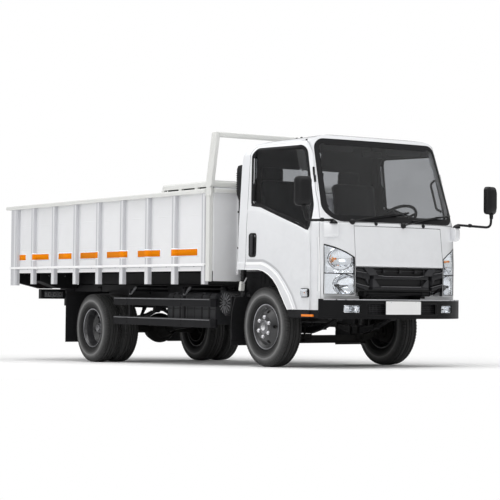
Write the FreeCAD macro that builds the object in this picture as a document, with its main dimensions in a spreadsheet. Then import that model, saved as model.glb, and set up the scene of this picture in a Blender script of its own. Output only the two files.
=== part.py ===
import FreeCAD, Part
import math, os
from FreeCAD import Vector as V, Placement, Rotation

# Light tipping truck: cab over the front axle, ladder frame, twin rear wheels,
# and a steel load body with outside stakes that tips about a pin at the rear.
# Millimetres. X forward, Y to the left, Z up, ground at Z = 0.

doc = FreeCAD.newDocument("dump_truck")
sheet = doc.addObject("Spreadsheet::Sheet", "dims")

ROWS = [
    ("axle_x", 2203.735, "front axle, from the middle of the length"),
    ("wheelbase", 3410.0, "front axle to rear axle"),
    ("rake", 1.5, "frame slopes down to the front when empty, degrees"),
    ("tyre_radius", 388.0, "tyre outside radius"),
    ("tyre_width", 205.0, "tyre section width"),
    ("rim_radius", 222.0, "rim flange radius"),
    ("rim_width", 150.0, "over the flanges"),
    ("front_track_half", 700.0, "front wheel centre plane"),
    ("rear_outer", 805.0, "outer twin wheel centre plane"),
    ("rear_inner", 575.0, "inner twin wheel centre plane"),
    ("kingpin_y", 600.0, "kingpin axis"),
    ("rail_top", 715.0, "frame rail top"),
    ("rail_height", 180.0, "frame rail depth"),
    ("rail_half", 350.0, "outer face of the frame rail"),
    ("rail_flange", 60.0, "frame rail flange width"),
    ("rail_wall", 7.0, "frame rail plate"),
    ("rail_front", 955.0, "front end of the rails"),
    ("rail_rear", 5200.0, "rear end of the rails, behind the front axle"),
    ("sub_height", 80.0, "tipping subframe depth"),
    ("hinge_x", 5280.0, "tipping hinge, behind the front axle"),
    ("hinge_z", 800.0, "tipping hinge height"),
    ("bed_front", 750.0, "front wall face, behind the front axle"),
    ("bed_rear", 5508.0, "rear face of the corner stakes"),
    ("bed_half", 905.0, "outer face of the side sheets"),
    ("bed_floor_top", 1004.0, "load floor"),
    ("bed_top", 1714.0, "underside of the top rail"),
    ("top_rail", 46.0, "top rail height"),
    ("sheet_wall", 8.0, "side sheet"),
    ("stake_depth", 45.0, "stakes stand out of the side sheet"),
    ("stake_width", 124.0, "stake width"),
    ("stake_pitch", 564.6, "stake spacing"),
    ("stake_first", 4944.0, "rear edge of the second stake"),
    ("stake_bottom", 795.0, "lower end of the stakes"),
    ("guard_top", 2320.0, "top of the guard frame behind the cab"),
    ("cab_rear", 405.0, "cab back, behind the front axle"),
    ("cab_half", 845.0, "cab half width at the belt"),
    ("cab_wall", 45.0, "cab wall and door thickness"),
    ("tilt_x", 1035.0, "cab tilt pivot, ahead of the front axle"),
    ("tilt_z", 722.0, "cab tilt pivot height"),
    ("bumper_front", 1148.0, "bumper face"),
    ("bumper_top", 666.0, "bumper top"),
    ("bumper_bottom", 484.0, "bumper bottom"),
    ("bumper_half", 836.0, "bumper half width"),
    ("gate_pin_x", 5590.0, "tailgate pin, behind the front axle"),
    ("gate_pin_z", 1737.0, "tailgate pin height"),
    ("deck_rear", 1795.0, "rear edge of the deck plate, behind the front axle"),
    ("deck_top", 1840.0, "deck plate top"),
    ("hoist_front_x", 2450.0, "hoist barrel pin, behind the front axle"),
    ("hoist_front_z", 625.0, "hoist barrel pin height"),
    ("hoist_eye_x", 4450.0, "hoist rod eye, behind the front axle"),
    ("hoist_eye_z", 868.0, "hoist rod eye height"),
    ("wheel_rim_r", 205.0, "steering wheel radius"),
    ("gap", 5.0, "gap round the doors and the front lid"),
]
for i, (alias, val, note) in enumerate(ROWS, start=1):
    sheet.set("A%d" % i, alias)
    sheet.set("B%d" % i, str(val))
    sheet.set("C%d" % i, note)
    sheet.setAlias("B%d" % i, alias)
doc.recompute()


class Q:
    """A number with the sheet expression that gives it."""
    def __init__(self, v, e=None):
        self.v = float(v)
        self.e = e if e is not None else repr(float(v))

    def _op(self, o, s, f):
        o = q(o)
        return Q(f(self.v, o.v), "(%s %s %s)" % (self.e, s, o.e))

    def __add__(self, o): return self._op(o, "+", lambda a, b: a + b)
    def __radd__(self, o): return q(o).__add__(self)
    def __sub__(self, o): return self._op(o, "-", lambda a, b: a - b)
    def __rsub__(self, o): return q(o).__sub__(self)
    def __mul__(self, o): return self._op(o, "*", lambda a, b: a * b)
    def __rmul__(self, o): return q(o).__mul__(self)
    def __truediv__(self, o): return self._op(o, "/", lambda a, b: a / b)
    def __neg__(self): return Q(-self.v, "(0 - %s)" % self.e)
    def __float__(self): return self.v


def q(x):
    return x if isinstance(x, Q) else Q(x)


class Dims:
    def __getattr__(self, name):
        return Q(float(sheet.get(name)), "dims." + name)


D = Dims()


def bind(o, prop, x):
    x = q(x)
    if "dims." in x.e:
        o.setExpression(prop, x.e)


count = [0]


def nm(base):
    count[0] += 1
    return "%s_%d" % (base, count[0])


def at(o, x, y, z, rot=None):
    x, y, z = q(x), q(y), q(z)
    o.Placement = Placement(V(x.v, y.v, z.v), rot or Rotation())
    bind(o, "Placement.Base.x", x)
    bind(o, "Placement.Base.y", y)
    bind(o, "Placement.Base.z", z)
    return o


def box(x0, x1, y0, y1, z0, z1):
    o = doc.addObject("Part::Box", nm("block"))
    for p, a, b in (("Length", x0, x1), ("Width", y0, y1), ("Height", z0, z1)):
        L = q(b) - q(a)
        setattr(o, p, L.v)
        bind(o, p, L)
    return at(o, x0, y0, z0)


def cyl(x, y, z, axis, r, h):
    """Cylinder whose middle is at x, y, z."""
    o = doc.addObject("Part::Cylinder", nm("round"))
    r, h = q(r), q(h)
    o.Radius, o.Height = r.v, h.v
    bind(o, "Radius", r)
    bind(o, "Height", h)
    x, y, z = q(x), q(y), q(z)
    if axis == "X":
        return at(o, x - h / 2, y, z, Rotation(V(0, 1, 0), 90))
    if axis == "Y":
        return at(o, x, y + h / 2, z, Rotation(V(1, 0, 0), 90))
    return at(o, x, y, z - h / 2)


def fuse(*objs):
    if len(objs) == 1:
        return objs[0]
    o = doc.addObject("Part::MultiFuse", nm("fuse"))
    o.Shapes = list(objs)
    return o


def group(*objs):
    o = doc.addObject("Part::Compound", nm("group"))
    o.Links = list(objs)
    return o


def cut(a, *b):
    o = doc.addObject("Part::Cut", nm("cut"))
    o.Base = a
    o.Tool = b[0] if len(b) == 1 else fuse(*b)
    return o


def common(a, b):
    o = doc.addObject("Part::Common", nm("common"))
    o.Base, o.Tool = a, b
    return o


def mirror(a):
    o = doc.addObject("Part::Mirroring", nm("mirror"))
    o.Source = a
    o.Base = V(0, 0, 0)
    o.Normal = V(0, 1, 0)
    return o


def feat(shape, base="solid"):
    o = doc.addObject("Part::Feature", nm(base))
    o.Shape = shape
    return o


def plane(body, role):
    for f in body.Origin.OriginFeatures:
        if f.Role == role:
            return f


def sketch(body, role, pts, off=0.0):
    """Closed outline through pts, every corner tied to the sheet."""
    s = body.newObject("Sketcher::SketchObject", nm("outline"))
    s.AttachmentSupport = [(plane(body, role), "")]
    s.MapMode = "FlatFace"
    off = q(off)
    s.AttachmentOffset = Placement(V(0, 0, off.v), Rotation())
    bind(s, "AttachmentOffset.Base.z", off)
    P = [(q(a), q(b)) for a, b in pts]
    n = len(P)
    s.addGeometry([Part.LineSegment(V(P[i][0].v, P[i][1].v, 0),
                                    V(P[(i + 1) % n][0].v, P[(i + 1) % n][1].v, 0)) for i in range(n)], False)
    cons = [Part_con("Coincident", i, 2, (i + 1) % n, 1) for i in range(n)]
    s.addConstraint(cons)
    k = n
    for i in range(n):
        for typ, c in (("DistanceX", P[i][0]), ("DistanceY", P[i][1])):
            s.addConstraint(Part_con(typ, i, 1, c.v))
            if "dims." in c.e:
                s.setExpression("Constraints[%d]" % k, c.e)
            k += 1
    return s


import Sketcher
Part_con = Sketcher.Constraint


def pad(role, pts, lo, hi, name="body", body=None):
    """Outline padded from lo to hi along the plane's own axis."""
    lo, hi = q(lo), q(hi)
    if body is None:
        body = doc.addObject("PartDesign::Body", nm(name))
    s = sketch(body, role, pts, -hi if role == "XZ_Plane" else lo)
    p = body.newObject("PartDesign::Pad", nm("pad"))
    p.Profile = s
    L = hi - lo
    p.Length = L.v
    bind(p, "Length", L)
    body.Tip = p
    return body, p


def revolve(role, pts, axis, name="body"):
    body = doc.addObject("PartDesign::Body", nm(name))
    s = sketch(body, role, pts)
    r = body.newObject("PartDesign::Revolution", nm("revolution"))
    r.Profile = s
    r.ReferenceAxis = (s, [axis])
    r.Angle = 360
    body.Tip = r
    return body, r


def repeat(body, feature, role, step, n):
    """Linear pattern of a feature along one of the body's axes."""
    pat = body.newObject("PartDesign::LinearPattern", nm("row"))
    pat.Originals = [feature]
    pat.Direction = (plane(body, role), [""])
    L = q(step) * (n - 1)
    pat.Length = L.v
    bind(pat, "Length", L)
    pat.Occurrences = n
    body.Tip = pat
    return pat


NODES = []
R = D.tyre_radius


def node(o, label, sprung=True):
    """Name a finished piece. Everything on the springs shares the frame's slope."""
    o.Label = label
    if sprung:
        a = math.radians(D.rake.v)
        o.Placement = Placement(V(D.axle_x.v - R.v * math.sin(a), 0, R.v - R.v * math.cos(a)),
                                Rotation(V(0, 1, 0), D.rake.v))
        if o.TypeId != "Part::Feature":
            o.setExpression("Placement.Base.x", "dims.axle_x - dims.tyre_radius * sin(dims.rake * 1 deg)")
            o.setExpression("Placement.Base.z", "dims.tyre_radius * (1 - cos(dims.rake * 1 deg))")
            o.setExpression("Placement.Rotation.Angle", "dims.rake * 1 deg")
    else:
        o.Placement = Placement(V(D.axle_x.v, 0, 0), Rotation())
        if o.TypeId != "Part::Feature":
            o.setExpression("Placement.Base.x", "dims.axle_x")
    NODES.append(o)
    return o


# ---------------------------------------------------------------- frame
rt, rh, ro, rf, rw = D.rail_top, D.rail_height, D.rail_half, D.rail_flange, D.rail_wall
rb = rt - rh


def rail(sgn):
    c = [(ro, rb), (ro, rt), (ro - rf, rt), (ro - rf, rt - rw), (ro - rw, rt - rw),
         (ro - rw, rb + rw), (ro - rf, rb + rw), (ro - rf, rb)]
    pts = [(y * sgn, z) for y, z in c]
    if sgn < 0:
        pts.reverse()
    b, p = pad("YZ_Plane", pts, -D.rail_rear, D.rail_front, "rail")
    return b


cross = []
for x in (880, -1560, -3060, -3900, -4700):
    cross.append(box(x - 35, x + 35, -(ro - rw), ro - rw, rb + rw, rb + 75))
cross.append(box(-1195, -1125, -(ro - rw), ro - rw, rt - 85, rt - rw))
sides = []
for s in (-1, 1):
    brackets = []
    # cab tilt brackets at the front ends of the rails, bored for the pivot tube
    y0, y1 = (290, 345) if s > 0 else (-345, -290)
    up = box(D.rail_front - 60, D.tilt_x, y0, y1, rt - 40, rt + 26)
    eye = cyl(D.tilt_x, (y0 + y1) / 2, D.tilt_z, "Y", 27, 55)
    brackets.append(cut(fuse(up, eye), cyl(D.tilt_x, (y0 + y1) / 2, D.tilt_z, "Y", 20.4, 80)))
    # bumper stays
    brackets.append(box(D.rail_front - 40, D.bumper_front - 66, s * 320 - 25, s * 320 + 25, 560, 640))
    # rear cab rest
    brackets.append(box(-395, -345, s * 320 - 30, s * 320 + 30, rt, 875))
    sides.append(fuse(rail(s), *brackets))
rest = box(-395, -345, -350, 350, 875, 905)
# rear tow plate with a vertical hole
tow = cut(box(-D.rail_rear - 70, -D.rail_rear, -60, 60, rb + 20, rb + 40),
          cyl(-D.rail_rear - 40, 0, rb + 30, "Z", 16, 60))
tail = fuse(box(-D.rail_rear, -D.rail_rear + 8, -(ro - rw), ro - rw, rb + rw, rt - rw), tow)
node(group(*sides), "frame_rails")
node(group(*cross, rest, tail), "frame_cross_members")

# ---------------------------------------------------------------- tipping subframe
st = rt + D.sub_height
sub = []
for s in (-1, 1):
    y0, y1 = (ro - 60, ro) if s > 0 else (-ro, -(ro - 60))
    sub.append(box(-D.rail_rear + 10, -860, y0, y1, rt, st))
    lug = box(-D.hinge_x - 34, -D.rail_rear + 40, y0, y1, rt + 20, D.hinge_z)
    eye = cyl(-D.hinge_x, (q(y0) + q(y1)) / 2, D.hinge_z, "Y", 34, 60)
    sub.append(cut(fuse(lug, eye), cyl(-D.hinge_x, (q(y0) + q(y1)) / 2, D.hinge_z, "Y", 20.4, 90)))
for x in (-1000, -2000, -4980):
    sub.append(box(x - 30, x + 30, -(ro - 60), ro - 60, rt + 5, st - 10))
# hoist foot: a cross tube between the rails with two ears for the barrel pin
hx, hz = -D.hoist_front_x, D.hoist_front_z
foot = box(hx + 60, hx + 130, -(ro - 60), ro - 60, rb + 85, rt + 10)
ears = [box(hx - 40, hx + 90, s * 75 - 10, s * 75 + 10, hz - 40, hz + 45) for s in (-1, 1)]
feet = [box(hx + 50, hx + 140, s * (ro.v - 66) - 5, s * (ro.v - 66) + 5, rb + 80, rt + 60) for s in (-1, 1)]
pin = cyl(hx, 0, hz, "Y", 20, 190)
sub.append(fuse(foot, *ears, *feet, pin))
node(fuse(*sub), "tipper_subframe")

# ---------------------------------------------------------------- bumper
bf, bt, bb, bh = D.bumper_front, D.bumper_top, D.bumper_bottom, D.bumper_half
outer = [(0, bf), (300, bf - 8), (440, bf - 20), (540, bf - 38), (620, bf - 62), (700, bf - 98), (760, bf - 134), (805, bf - 168), (828, bf - 188), (bh, bf - 200)]
inner = [(bh - 50, bf - 200), (762, bf - 184), (725, bf - 162), (670, bf - 132), (590, bf - 104), (510, bf - 86), (420, bf - 70), (300, bf - 58), (0, bf - 50)]
pts = [(x, y) for y, x in outer] + [(x, y) for y, x in inner[:-1]] + [(inner[-1][1], 0)]
pts += [(x, -q(y)) for y, x in reversed(inner[:-1])] + [(x, -q(y)) for y, x in reversed(outer[1:])]
bumper, p0 = pad("XY_Plane", list(reversed(pts)), bb, bt, "bumper")
slot = cut(bumper, box(bf - 200, bf - 24, -420, 420, 516, 628), box(bf - 30, bf + 10, -395, 395, 528, 618),
           box(bf - 140, bf + 10, 470, 640, 532, 612), box(bf - 140, bf + 10, -640, -470, 532, 612))
node(slot, "front_bumper")

# ---------------------------------------------------------------- side guards
gx0, gx1 = -2945, -880
rails_g = []
for s in (-1, 1):
    for z0, z1 in ((568, 652), (356, 444)):
        y1 = 862
        c = [(gx0, y1 - 34), (gx0, y1), (gx1, y1), (gx1 + 34, y1 - 40), (gx1 + 34, y1 - 64), (gx1, y1 - 34)]
        c = [(x, s * y) for x, y in c]
        if s > 0:
            c.reverse()
        b, _ = pad("XY_Plane", c, z0, z1, "guard")
        rails_g.append(b)
    for x in (-2640, -1475):
        # bent strut from the frame rail out to the guard
        y0, y1 = (828, 838) if s > 0 else (-838, -828)
        rails_g.append(box(x - 22, x + 22, *((812, 828) if s > 0 else (-828, -812)), 370, 742))
        y0, y1 = (350, 828) if s > 0 else (-828, -350)
        rails_g.append(box(x - 15, x + 15, y0, y1, 718, 742))
node(fuse(*rails_g), "side_guards")

# ---------------------------------------------------------------- tanks and boxes
tank, tp = pad("YZ_Plane", [(-760, 420), (-760, 676), (-735, 706), (-425, 706), (-400, 676), (-400, 420), (-425, 392), (-735, 392)][::-1],
               -1905, -950, "tank")
cap = cyl(-1040, -600, 722, "Z", 38, 34)
bands = [box(x - 22, x + 22, -764, -ro - 1, 700, 712) for x in (-1720, -1160)]
hang = [box(x - 22, x + 22, -400, -ro, 560, 706) for x in (-1720, -1160)]
node(fuse(tank, cap, *hang, *bands), "fuel_tank")

bat = box(-1330, -930, 420, 770, 410, 690)
batf = doc.addObject("Part::Fillet", nm("soft_edges"))
doc.recompute()
batf.Base = bat
batf.Edges = [(i + 1, 14.0, 14.0) for i in range(len(bat.Shape.Edges))]
node(fuse(batf, box(-1280, -1240, ro, 421, 560, 620), box(-1020, -980, ro, 421, 560, 620)), "battery_box")

# air filter drum with its axis across the truck, and the intake duct that rises behind the cab
drum = cyl(-800, -610, 610, "Y", 118, 250)
stay = box(-830, -770, -490, -ro, 590, 640)
neck = box(-590, -530, -700, -650, 640, 990)
neck2 = box(-760, -530, -700, -620, 640, 700)
duct = box(-590, -490, -760, -650, 980, 1990)
node(fuse(drum, stay, neck, neck2, duct), "air_intake")

muf = cyl(-2150, 560, 560, "X", 105, 700)
pipe = cyl(-1700, 560, 560, "X", 28, 240)
tailp = cyl(-2640, 560, 560, "X", 28, 300)
mst = [box(x - 15, x + 15, ro, 480, 600, 660) for x in (-1950, -2350)]
node(fuse(muf, pipe, tailp, *mst), "exhaust_silencer")

# ---------------------------------------------------------------- engine, radiator, shaft
node(fuse(box(-430, 560, -225, 225, 560, 866), box(-1100, -430, -150, 150, 440, 700)), "engine_block")
node(fuse(box(830, 880, -285, 285, 620, 900), box(840, 870, -285, 285, 900, 915)), "radiator")

lr = V(-1110, 0, 520)
le = V(-3194, 0, 305)
shaft = feat(Part.makeCylinder(38, (le - lr).Length, lr, le - lr), "shaft")
node(shaft, "propeller_shaft")

# ---------------------------------------------------------------- leaf springs
springs = []
for s in (-1, 1):
    for xc, yc, zs, ze, half, w in ((0, 320, 325, 470, 560, 30), (-D.wheelbase, 412, 372, 500, 640, 33)):
        xc = q(xc)
        top = [(-half, ze + 14), (-half * 0.6, zs + 58 + (ze - zs) * 0.22), (-90, zs + 62), (90, zs + 62), (half * 0.6, zs + 58 + (ze - zs) * 0.22), (half, ze + 14)]
        bot = [(half, ze), (half * 0.62, zs + 30 + (ze - zs) * 0.2), (110, zs), (-110, zs), (-half * 0.62, zs + 30 + (ze - zs) * 0.2), (-half, ze)]
        pts = [(xc + a, b) for a, b in top + bot]
        y0, y1 = (yc - w, yc + w) if s > 0 else (-yc - w, -yc + w)
        b, _ = pad("XZ_Plane", pts, y0, y1, "spring")
        springs.append(b)
        for e in (-1, 1):
            springs.append(cyl(xc + e * (half + 6), s * yc, ze + 8, "Y", 24, 2 * w))
            if yc < 350:
                springs.append(box(xc + e * (half + 6) - 22, xc + e * (half + 6) + 22, s * yc - 28, s * yc + 28, ze + 8, rb))
            else:
                y0, y1 = (ro, yc + 33) if s > 0 else (-yc - 33, -ro)
                springs.append(box(xc + e * (half + 6) - 26, xc + e * (half + 6) + 26, y0, y1, ze + 8, rb + 60))
node(fuse(*springs), "leaf_springs")

# ---------------------------------------------------------------- mudguards and flaps
guards = []
for s in (-1, 1):
    # curved guard strip behind the steered wheel, with its rubber flap
    rin, rout = 560, 575
    pts = []
    for i in range(9):
        a = math.radians(150 + i * 5.5)
        pts.append((rin * math.cos(a), 388 + rin * math.sin(a)))
    for i in reversed(range(9)):
        a = math.radians(150 + i * 5.5)
        pts.append((rout * math.cos(a), 388 + rout * math.sin(a)))
    y0, y1 = (470, 815) if s > 0 else (-815, -470)
    b, _ = pad("XZ_Plane", pts, y0, y1, "guard")
    guards.append(b)
    guards.append(box(-575, -563, y0, y1, 190, 330))
    y0, y1 = (ro, 500) if s > 0 else (-500, -ro)
    guards.append(box(-560, -520, y0, y1, 560, 590))
    # rear flap
    y0, y1 = (470, 905) if s > 0 else (-905, -470)
    guards.append(box(-4046, -4036, y0, y1, 120, 690))
    y0, y1 = (ro, 905) if s > 0 else (-905, -ro)
    guards.append(box(-4056, -4026, y0, y1, 690, 712))
node(fuse(*guards), "mudguards")

lamps = []
for s in (-1, 1):
    y0, y1 = (372, 700) if s > 0 else (-700, -372)
    lamps.append(box(-5205, -5130, y0, y1, 618, 738))
    y0, y1 = (ro, 380) if s > 0 else (-380, -ro)
    lamps.append(box(-5180, -5140, y0, y1, 640, 700))
node(fuse(*lamps), "tail_lamps")

# ---------------------------------------------------------------- axles
fa = []
beam_half = [(0, 246), (380, 246), (470, 262), (536, 330), (600, 330), (600, 446), (566, 446), (548, 380), (450, 322), (380, 306), (0, 306)]
pts = beam_half + [(-q(y), z) for y, z in reversed(beam_half[1:-1])]
b, _ = pad("YZ_Plane", pts, -32, 32, "beam")
b = fuse(b, cyl(0, D.kingpin_y, 388, "Z", 34, 116), cyl(0, -D.kingpin_y, 388, "Z", 34, 116))
fa.append(cut(b, cyl(0, D.kingpin_y, 388, "Z", 18.4, 200), cyl(0, -D.kingpin_y, 388, "Z", 18.4, 200)))
for s in (-1, 1):
    fa.append(box(-60, 60, s * 320 - 32, s * 320 + 32, 300, 320))
node(fuse(*fa), "front_axle", False)

wb = -D.wheelbase
ra = [cyl(wb, 0, R, "Y", 56, 880)]
sph = doc.addObject("Part::Sphere", nm("bowl"))
sph.Radius = 172
at(sph, wb, 0, R)
ra.append(sph)
ra.append(cyl(wb + 150, 0, R, "X", 70, 120))
for s in (-1, 1):
    ra.append(box(wb - 70, wb + 70, s * 412 - 33, s * 412 + 33, R + 40, R + 71))
node(fuse(*ra), "rear_axle", False)

# knuckles: fork, spindle, brake plate and steering arm
for s, side in ((-1, "right"), (1, "left")):
    ky = D.kingpin_y * s
    parts = [cyl(0, ky, 388, "Z", 18, 190),
             box(-38, 38, ky - 40, ky + 40, 452, 480), box(-38, 38, ky - 40, ky + 40, 296, 324)]
    y0, y1 = (ky + 42, ky + 56) if s > 0 else (ky - 56, ky - 42)
    parts.append(box(-45, 45, y0, y1, 296, 480))
    y0, y1 = (ky + 38, ky + 44) if s > 0 else (ky - 44, ky - 38)
    parts.append(box(-38, 38, y0, y1, 452, 480))
    parts.append(box(-38, 38, y0, y1, 296, 324))
    parts.append(cyl(0, ky + s * 110, R, "Y", 27, 120))
    parts.append(cyl(0, ky + s * 60, R, "Y", 158, 8))
    parts.append(box(-38, 38, ky - 36, ky + 36, 272, 296))
    arm, _ = pad("XY_Plane", [(-30, ky - s * 4), (-30, ky - s * 36), (-60, ky - s * 44), (-160, ky - s * 94), (-185, ky - s * 62), (-80, ky - s * 8)][::s], 272, 288, "arm")
    parts.append(arm)
    parts.append(cyl(-170, ky - s * 75, 280, "Z", 24, 16))
    node(fuse(*parts), "knuckle_" + side, False)

node(fuse(cyl(-170, 0, 240, "Y", 15, 1050), cyl(-170, 525, 241, "Z", 26, 44), cyl(-170, -525, 241, "Z", 26, 44)), "tie_rod", False)

# ---------------------------------------------------------------- wheels
tr, tw2, rr = D.tyre_radius, D.tyre_width / 2, D.rim_radius
tyre_half = [(61, rr - 11), (65, rr + 0.8), (76, rr + 2), (86, rr + 14), (97, rr + 46), (tw2, rr + 84), (tw2 - 5, tr - 42), (tw2 - 16, tr - 17), (tw2 - 28, tr - 6), (45, tr - 1), (0, tr)]


def tyre(yc):
    yc = q(yc)
    pts = [(yc + a, b) for a, b in tyre_half] + [(yc - a, b) for a, b in reversed(tyre_half[:-1])]
    inner = [(-54, rr - 11), (-54, rr + 30), (-80, rr + 70), (-84, tr - 60), (-66, tr - 26), (66, tr - 26), (84, tr - 60), (80, rr + 70), (54, rr + 30), (54, rr - 11)]
    pts = pts + [(yc + a, b) for a, b in inner]
    b, _ = revolve("YZ_Plane", pts, "H_Axis", "tyre")
    return b


def rim(yc, out, kind):
    """Wheel pressing in section, out = +1 or -1 towards the outside of the truck."""
    yc = q(yc)
    rw2 = D.rim_width / 2
    if kind == "front":
        sec = [(rw2, rr - 10), (rw2, rr), (rw2 - 9, rr), (rw2 - 13, rr - 12), (20, rr - 22), (-20, rr - 24), (-rw2 + 13, rr - 15), (-rw2 + 9, rr), (-rw2, rr),
               (-rw2, rr - 12), (-24, rr - 33), (22, rr - 33), (44, rr - 50), (72, 140), (84, 128), (84, 62), (93, 62), (93, 130), (80, 146), (52, rr - 42), (rw2 - 22, rr - 20)]
    else:
        # the disc is set right over to the inner side
        sec = [(rw2, rr - 10), (rw2, rr), (rw2 - 9, rr), (rw2 - 13, rr - 12), (20, rr - 22), (-20, rr - 22), (-rw2 + 13, rr - 15), (-rw2 + 9, rr), (-rw2, rr),
               (-rw2, rr - 12), (-52, rr - 40), (-84, 150), (-114, 140), (-114, 62), (-104, 62), (-104, 134), (-76, 142), (-40, rr - 40), (24, rr - 31), (rw2 - 16, rr - 20)]
    pts = [(yc + q(a) * out, b) for a, b in sec]
    b, rv = revolve("YZ_Plane", pts, "H_Axis", "rim")
    return b


def at_axle(o, x):
    return at(o, x, 0, R)


for s, side in ((-1, "right"), (1, "left")):
    ty = D.front_track_half * s
    rm = rim(ty, s, "front")
    at_axle(rm, 0)
    holes = [cyl(152 * math.cos(math.radians(36 * k * 2)), ty + s * 66, R + 152 * math.sin(math.radians(36 * k * 2)), "Y", 17, 60) for k in range(5)]
    hub = cut(fuse(cyl(0, ty + s * 45, R, "Y", 61, 130)), cyl(0, ty + s * 10, R, "Y", 27.4, 140))
    drumf = cut(cyl(0, ty + s * 20, R, "Y", 162, 84), cyl(0, ty + s * 10, R, "Y", 150, 90), cyl(0, ty + s * 20, R, "Y", 58, 120))
    web = cut(cyl(0, ty + s * 73, R, "Y", 132, 22), cyl(0, ty + s * 60, R, "Y", 60, 80))
    web2 = cut(cyl(0, ty + s * 60, R, "Y", 162, 6), cyl(0, ty + s * 60, R, "Y", 60, 20))
    node(fuse(cut(rm, *holes), hub, web, web2, drumf), "front_wheel_" + side, False)
    t = tyre(ty)
    node(group(at_axle(t, 0)), "front_tyre_" + side, False)

    r1 = at_axle(rim(D.rear_outer * s, s, "rear"), wb)
    r2 = at_axle(rim(D.rear_inner * s, -s, "rear"), wb)
    mid = (D.rear_outer + D.rear_inner) / 2 * s
    hub = fuse(cyl(wb, mid, R, "Y", 63, 60), cyl(wb, mid + s * 60, R, "Y", 56, 120), cyl(wb, mid + s * 124, R, "Y", 44, 20))
    plate = cut(cyl(wb, mid, R, "Y", 138, 2), cyl(wb, mid, R, "Y", 60, 10))
    drumr = cut(cyl(wb, s * 545, R, "Y", 165, 110), cyl(wb, s * 530, R, "Y", 152, 120))
    webr = cut(cyl(wb, s * 604, R, "Y", 165, 12), cyl(wb, s * 604, R, "Y", 50, 30))
    hubr = cut(cyl(wb, s * 560, R, "Y", 70, 200), cyl(wb, s * 520, R, "Y", 57, 160))
    node(fuse(r1, r2, hub, plate, drumr, webr, hubr), "rear_wheels_" + side, False)
    t1 = at_axle(tyre(D.rear_outer * s), wb)
    t2 = at_axle(tyre(D.rear_inner * s), wb)
    node(group(t1, t2), "rear_tyres_" + side, False)

# ---------------------------------------------------------------- load body
bh_, ft, btop = D.bed_half, D.bed_floor_top, D.bed_top
fr, rr_ = -D.bed_front, -D.bed_rear
sw = D.sheet_wall
floor = [box(rr_ + 8, fr - 30, -(bh_ - sw), bh_ - sw, ft - 6, ft)]
for k in range(9):
    x = -870 - k * 560
    floor.append(box(x - 30, x + 30, -(bh_ - sw), bh_ - sw, ft - 76, ft - 6))
for s in (-1, 1):
    y0, y1 = (ro - 60, ro) if s > 0 else (-ro, -(ro - 60))
    floor.append(box(-5232, -820, y0, y1, st + 10, ft - 76))
    floor.append(box(-5430, -5232, y0, y1, D.hinge_z + 46, ft - 76))
    # hinge lugs each side of the subframe lugs
    y0, y1 = (ro + 6, ro + 30) if s > 0 else (-ro - 30, -ro - 6)
    floor.append(box(-D.hinge_x - 45, -D.hinge_x + 45, y0, y1, D.hinge_z - 40, ft - 76))
    floor.append(cyl(-D.hinge_x, s * (ro - 20), D.hinge_z, "Y", 20, 110))
    # hoist eye lugs
    floor.append(box(-D.hoist_eye_x - 45, -D.hoist_eye_x + 45, s * 70 - 8, s * 70 + 8, D.hoist_eye_z - 25, ft - 6))
floor.append(box(-D.hoist_eye_x - 240, -D.hoist_eye_x - 200, -ro, ro, ft - 76, ft - 6))
# rear bolster, deep between the rails and rising to its ends
bol = [(-900, 812), (-900, 928), (900, 928), (900, 812), (600, 744), (420, 744), (420, 870), (-420, 870), (-420, 744), (-600, 744)]
b, _ = pad("YZ_Plane", bol[::-1], -5450, -5400, "bolster")
floor.append(b)
node(fuse(*floor), "bed_floor")

for s, side in ((-1, "right"), (1, "left")):
    y = (lambda a: q(a) * s)

    def ybox(x0, x1, ya, yb, z0, z1):
        a, b = (q(ya), q(yb)) if s > 0 else (-q(yb), -q(ya))
        return box(x0, x1, a, b, z0, z1)
    parts = [ybox(rr_, fr - 26, bh_ - sw, bh_, 930, btop)]
    # top rail, rub rail, and the flange along the floor
    parts.append(cut(ybox(rr_ - 118, fr - 103, bh_ - 30, bh_ + 58, btop, btop + D.top_rail),
                     cyl(-D.gate_pin_x, y(bh_ + 14), D.gate_pin_z, "Y", 12.4, 120)))
    parts.append(ybox(rr_ - 10, fr - 103, bh_, bh_ + 60, 993, 1005))
    # stakes: the wide corner stake, then an even row, then the one at the guard post
    parts.append(ybox(rr_, rr_ + 190, bh_, bh_ + D.stake_depth, 779, btop))
    yy = [(-D.stake_first, D.stake_bottom), (-D.stake_first + D.stake_width, D.stake_bottom),
          (-D.stake_first + D.stake_width, btop), (-D.stake_first, btop)]
    lo, hi = (bh_, bh_ + D.stake_depth) if s > 0 else (-(bh_ + D.stake_depth), -bh_)
    b, p = pad("XZ_Plane", yy, lo, hi, "stakes")
    repeat(b, p, "X_Axis", D.stake_pitch, 7)
    parts.append(b)
    parts.append(ybox(-945, -855, bh_, bh_ + D.stake_depth, D.stake_bottom, btop))
    node(fuse(*parts), "bed_side_" + side)

wall = [box(fr - 26, fr - 18, -(bh_ - 0.0), bh_, 828, btop)]
for yv in (-600, -200, 200, 600):
    wall.append(box(fr - 18, fr + 14, yv - 30, yv + 30, 900, btop))
wall.append(box(fr - 30, fr + 14, -bh_, bh_, btop, btop + D.top_rail))
node(fuse(*wall), "bed_front_wall")

# guard frame: two posts that lean over the cab, joined by a bar
gp = []
for s in (-1, 1):
    pts = [(-853, 825), (-753 - 26, 825), (-753 - 26, 930), (-753, 930), (-753, 1830), (-664, 2260), (-664, 2320), (-759, 2320), (-853, 1850)]
    pts = [(-853, 825), (-783, 825), (-783, 1770), (-753, 1790), (-753, 1830), (-664, 2270), (-664, 2320), (-752, 2320), (-853, 1850)]
    y0, y1 = (bh_ + 0.0, bh_ + 45) if s > 0 else (-bh_ - 45, -bh_)
    b, _ = pad("XZ_Plane", pts, y0, y1, "post")
    gp.append(b)
gp.append(box(-752, -664, -bh_, bh_, 2272, 2320))
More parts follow.
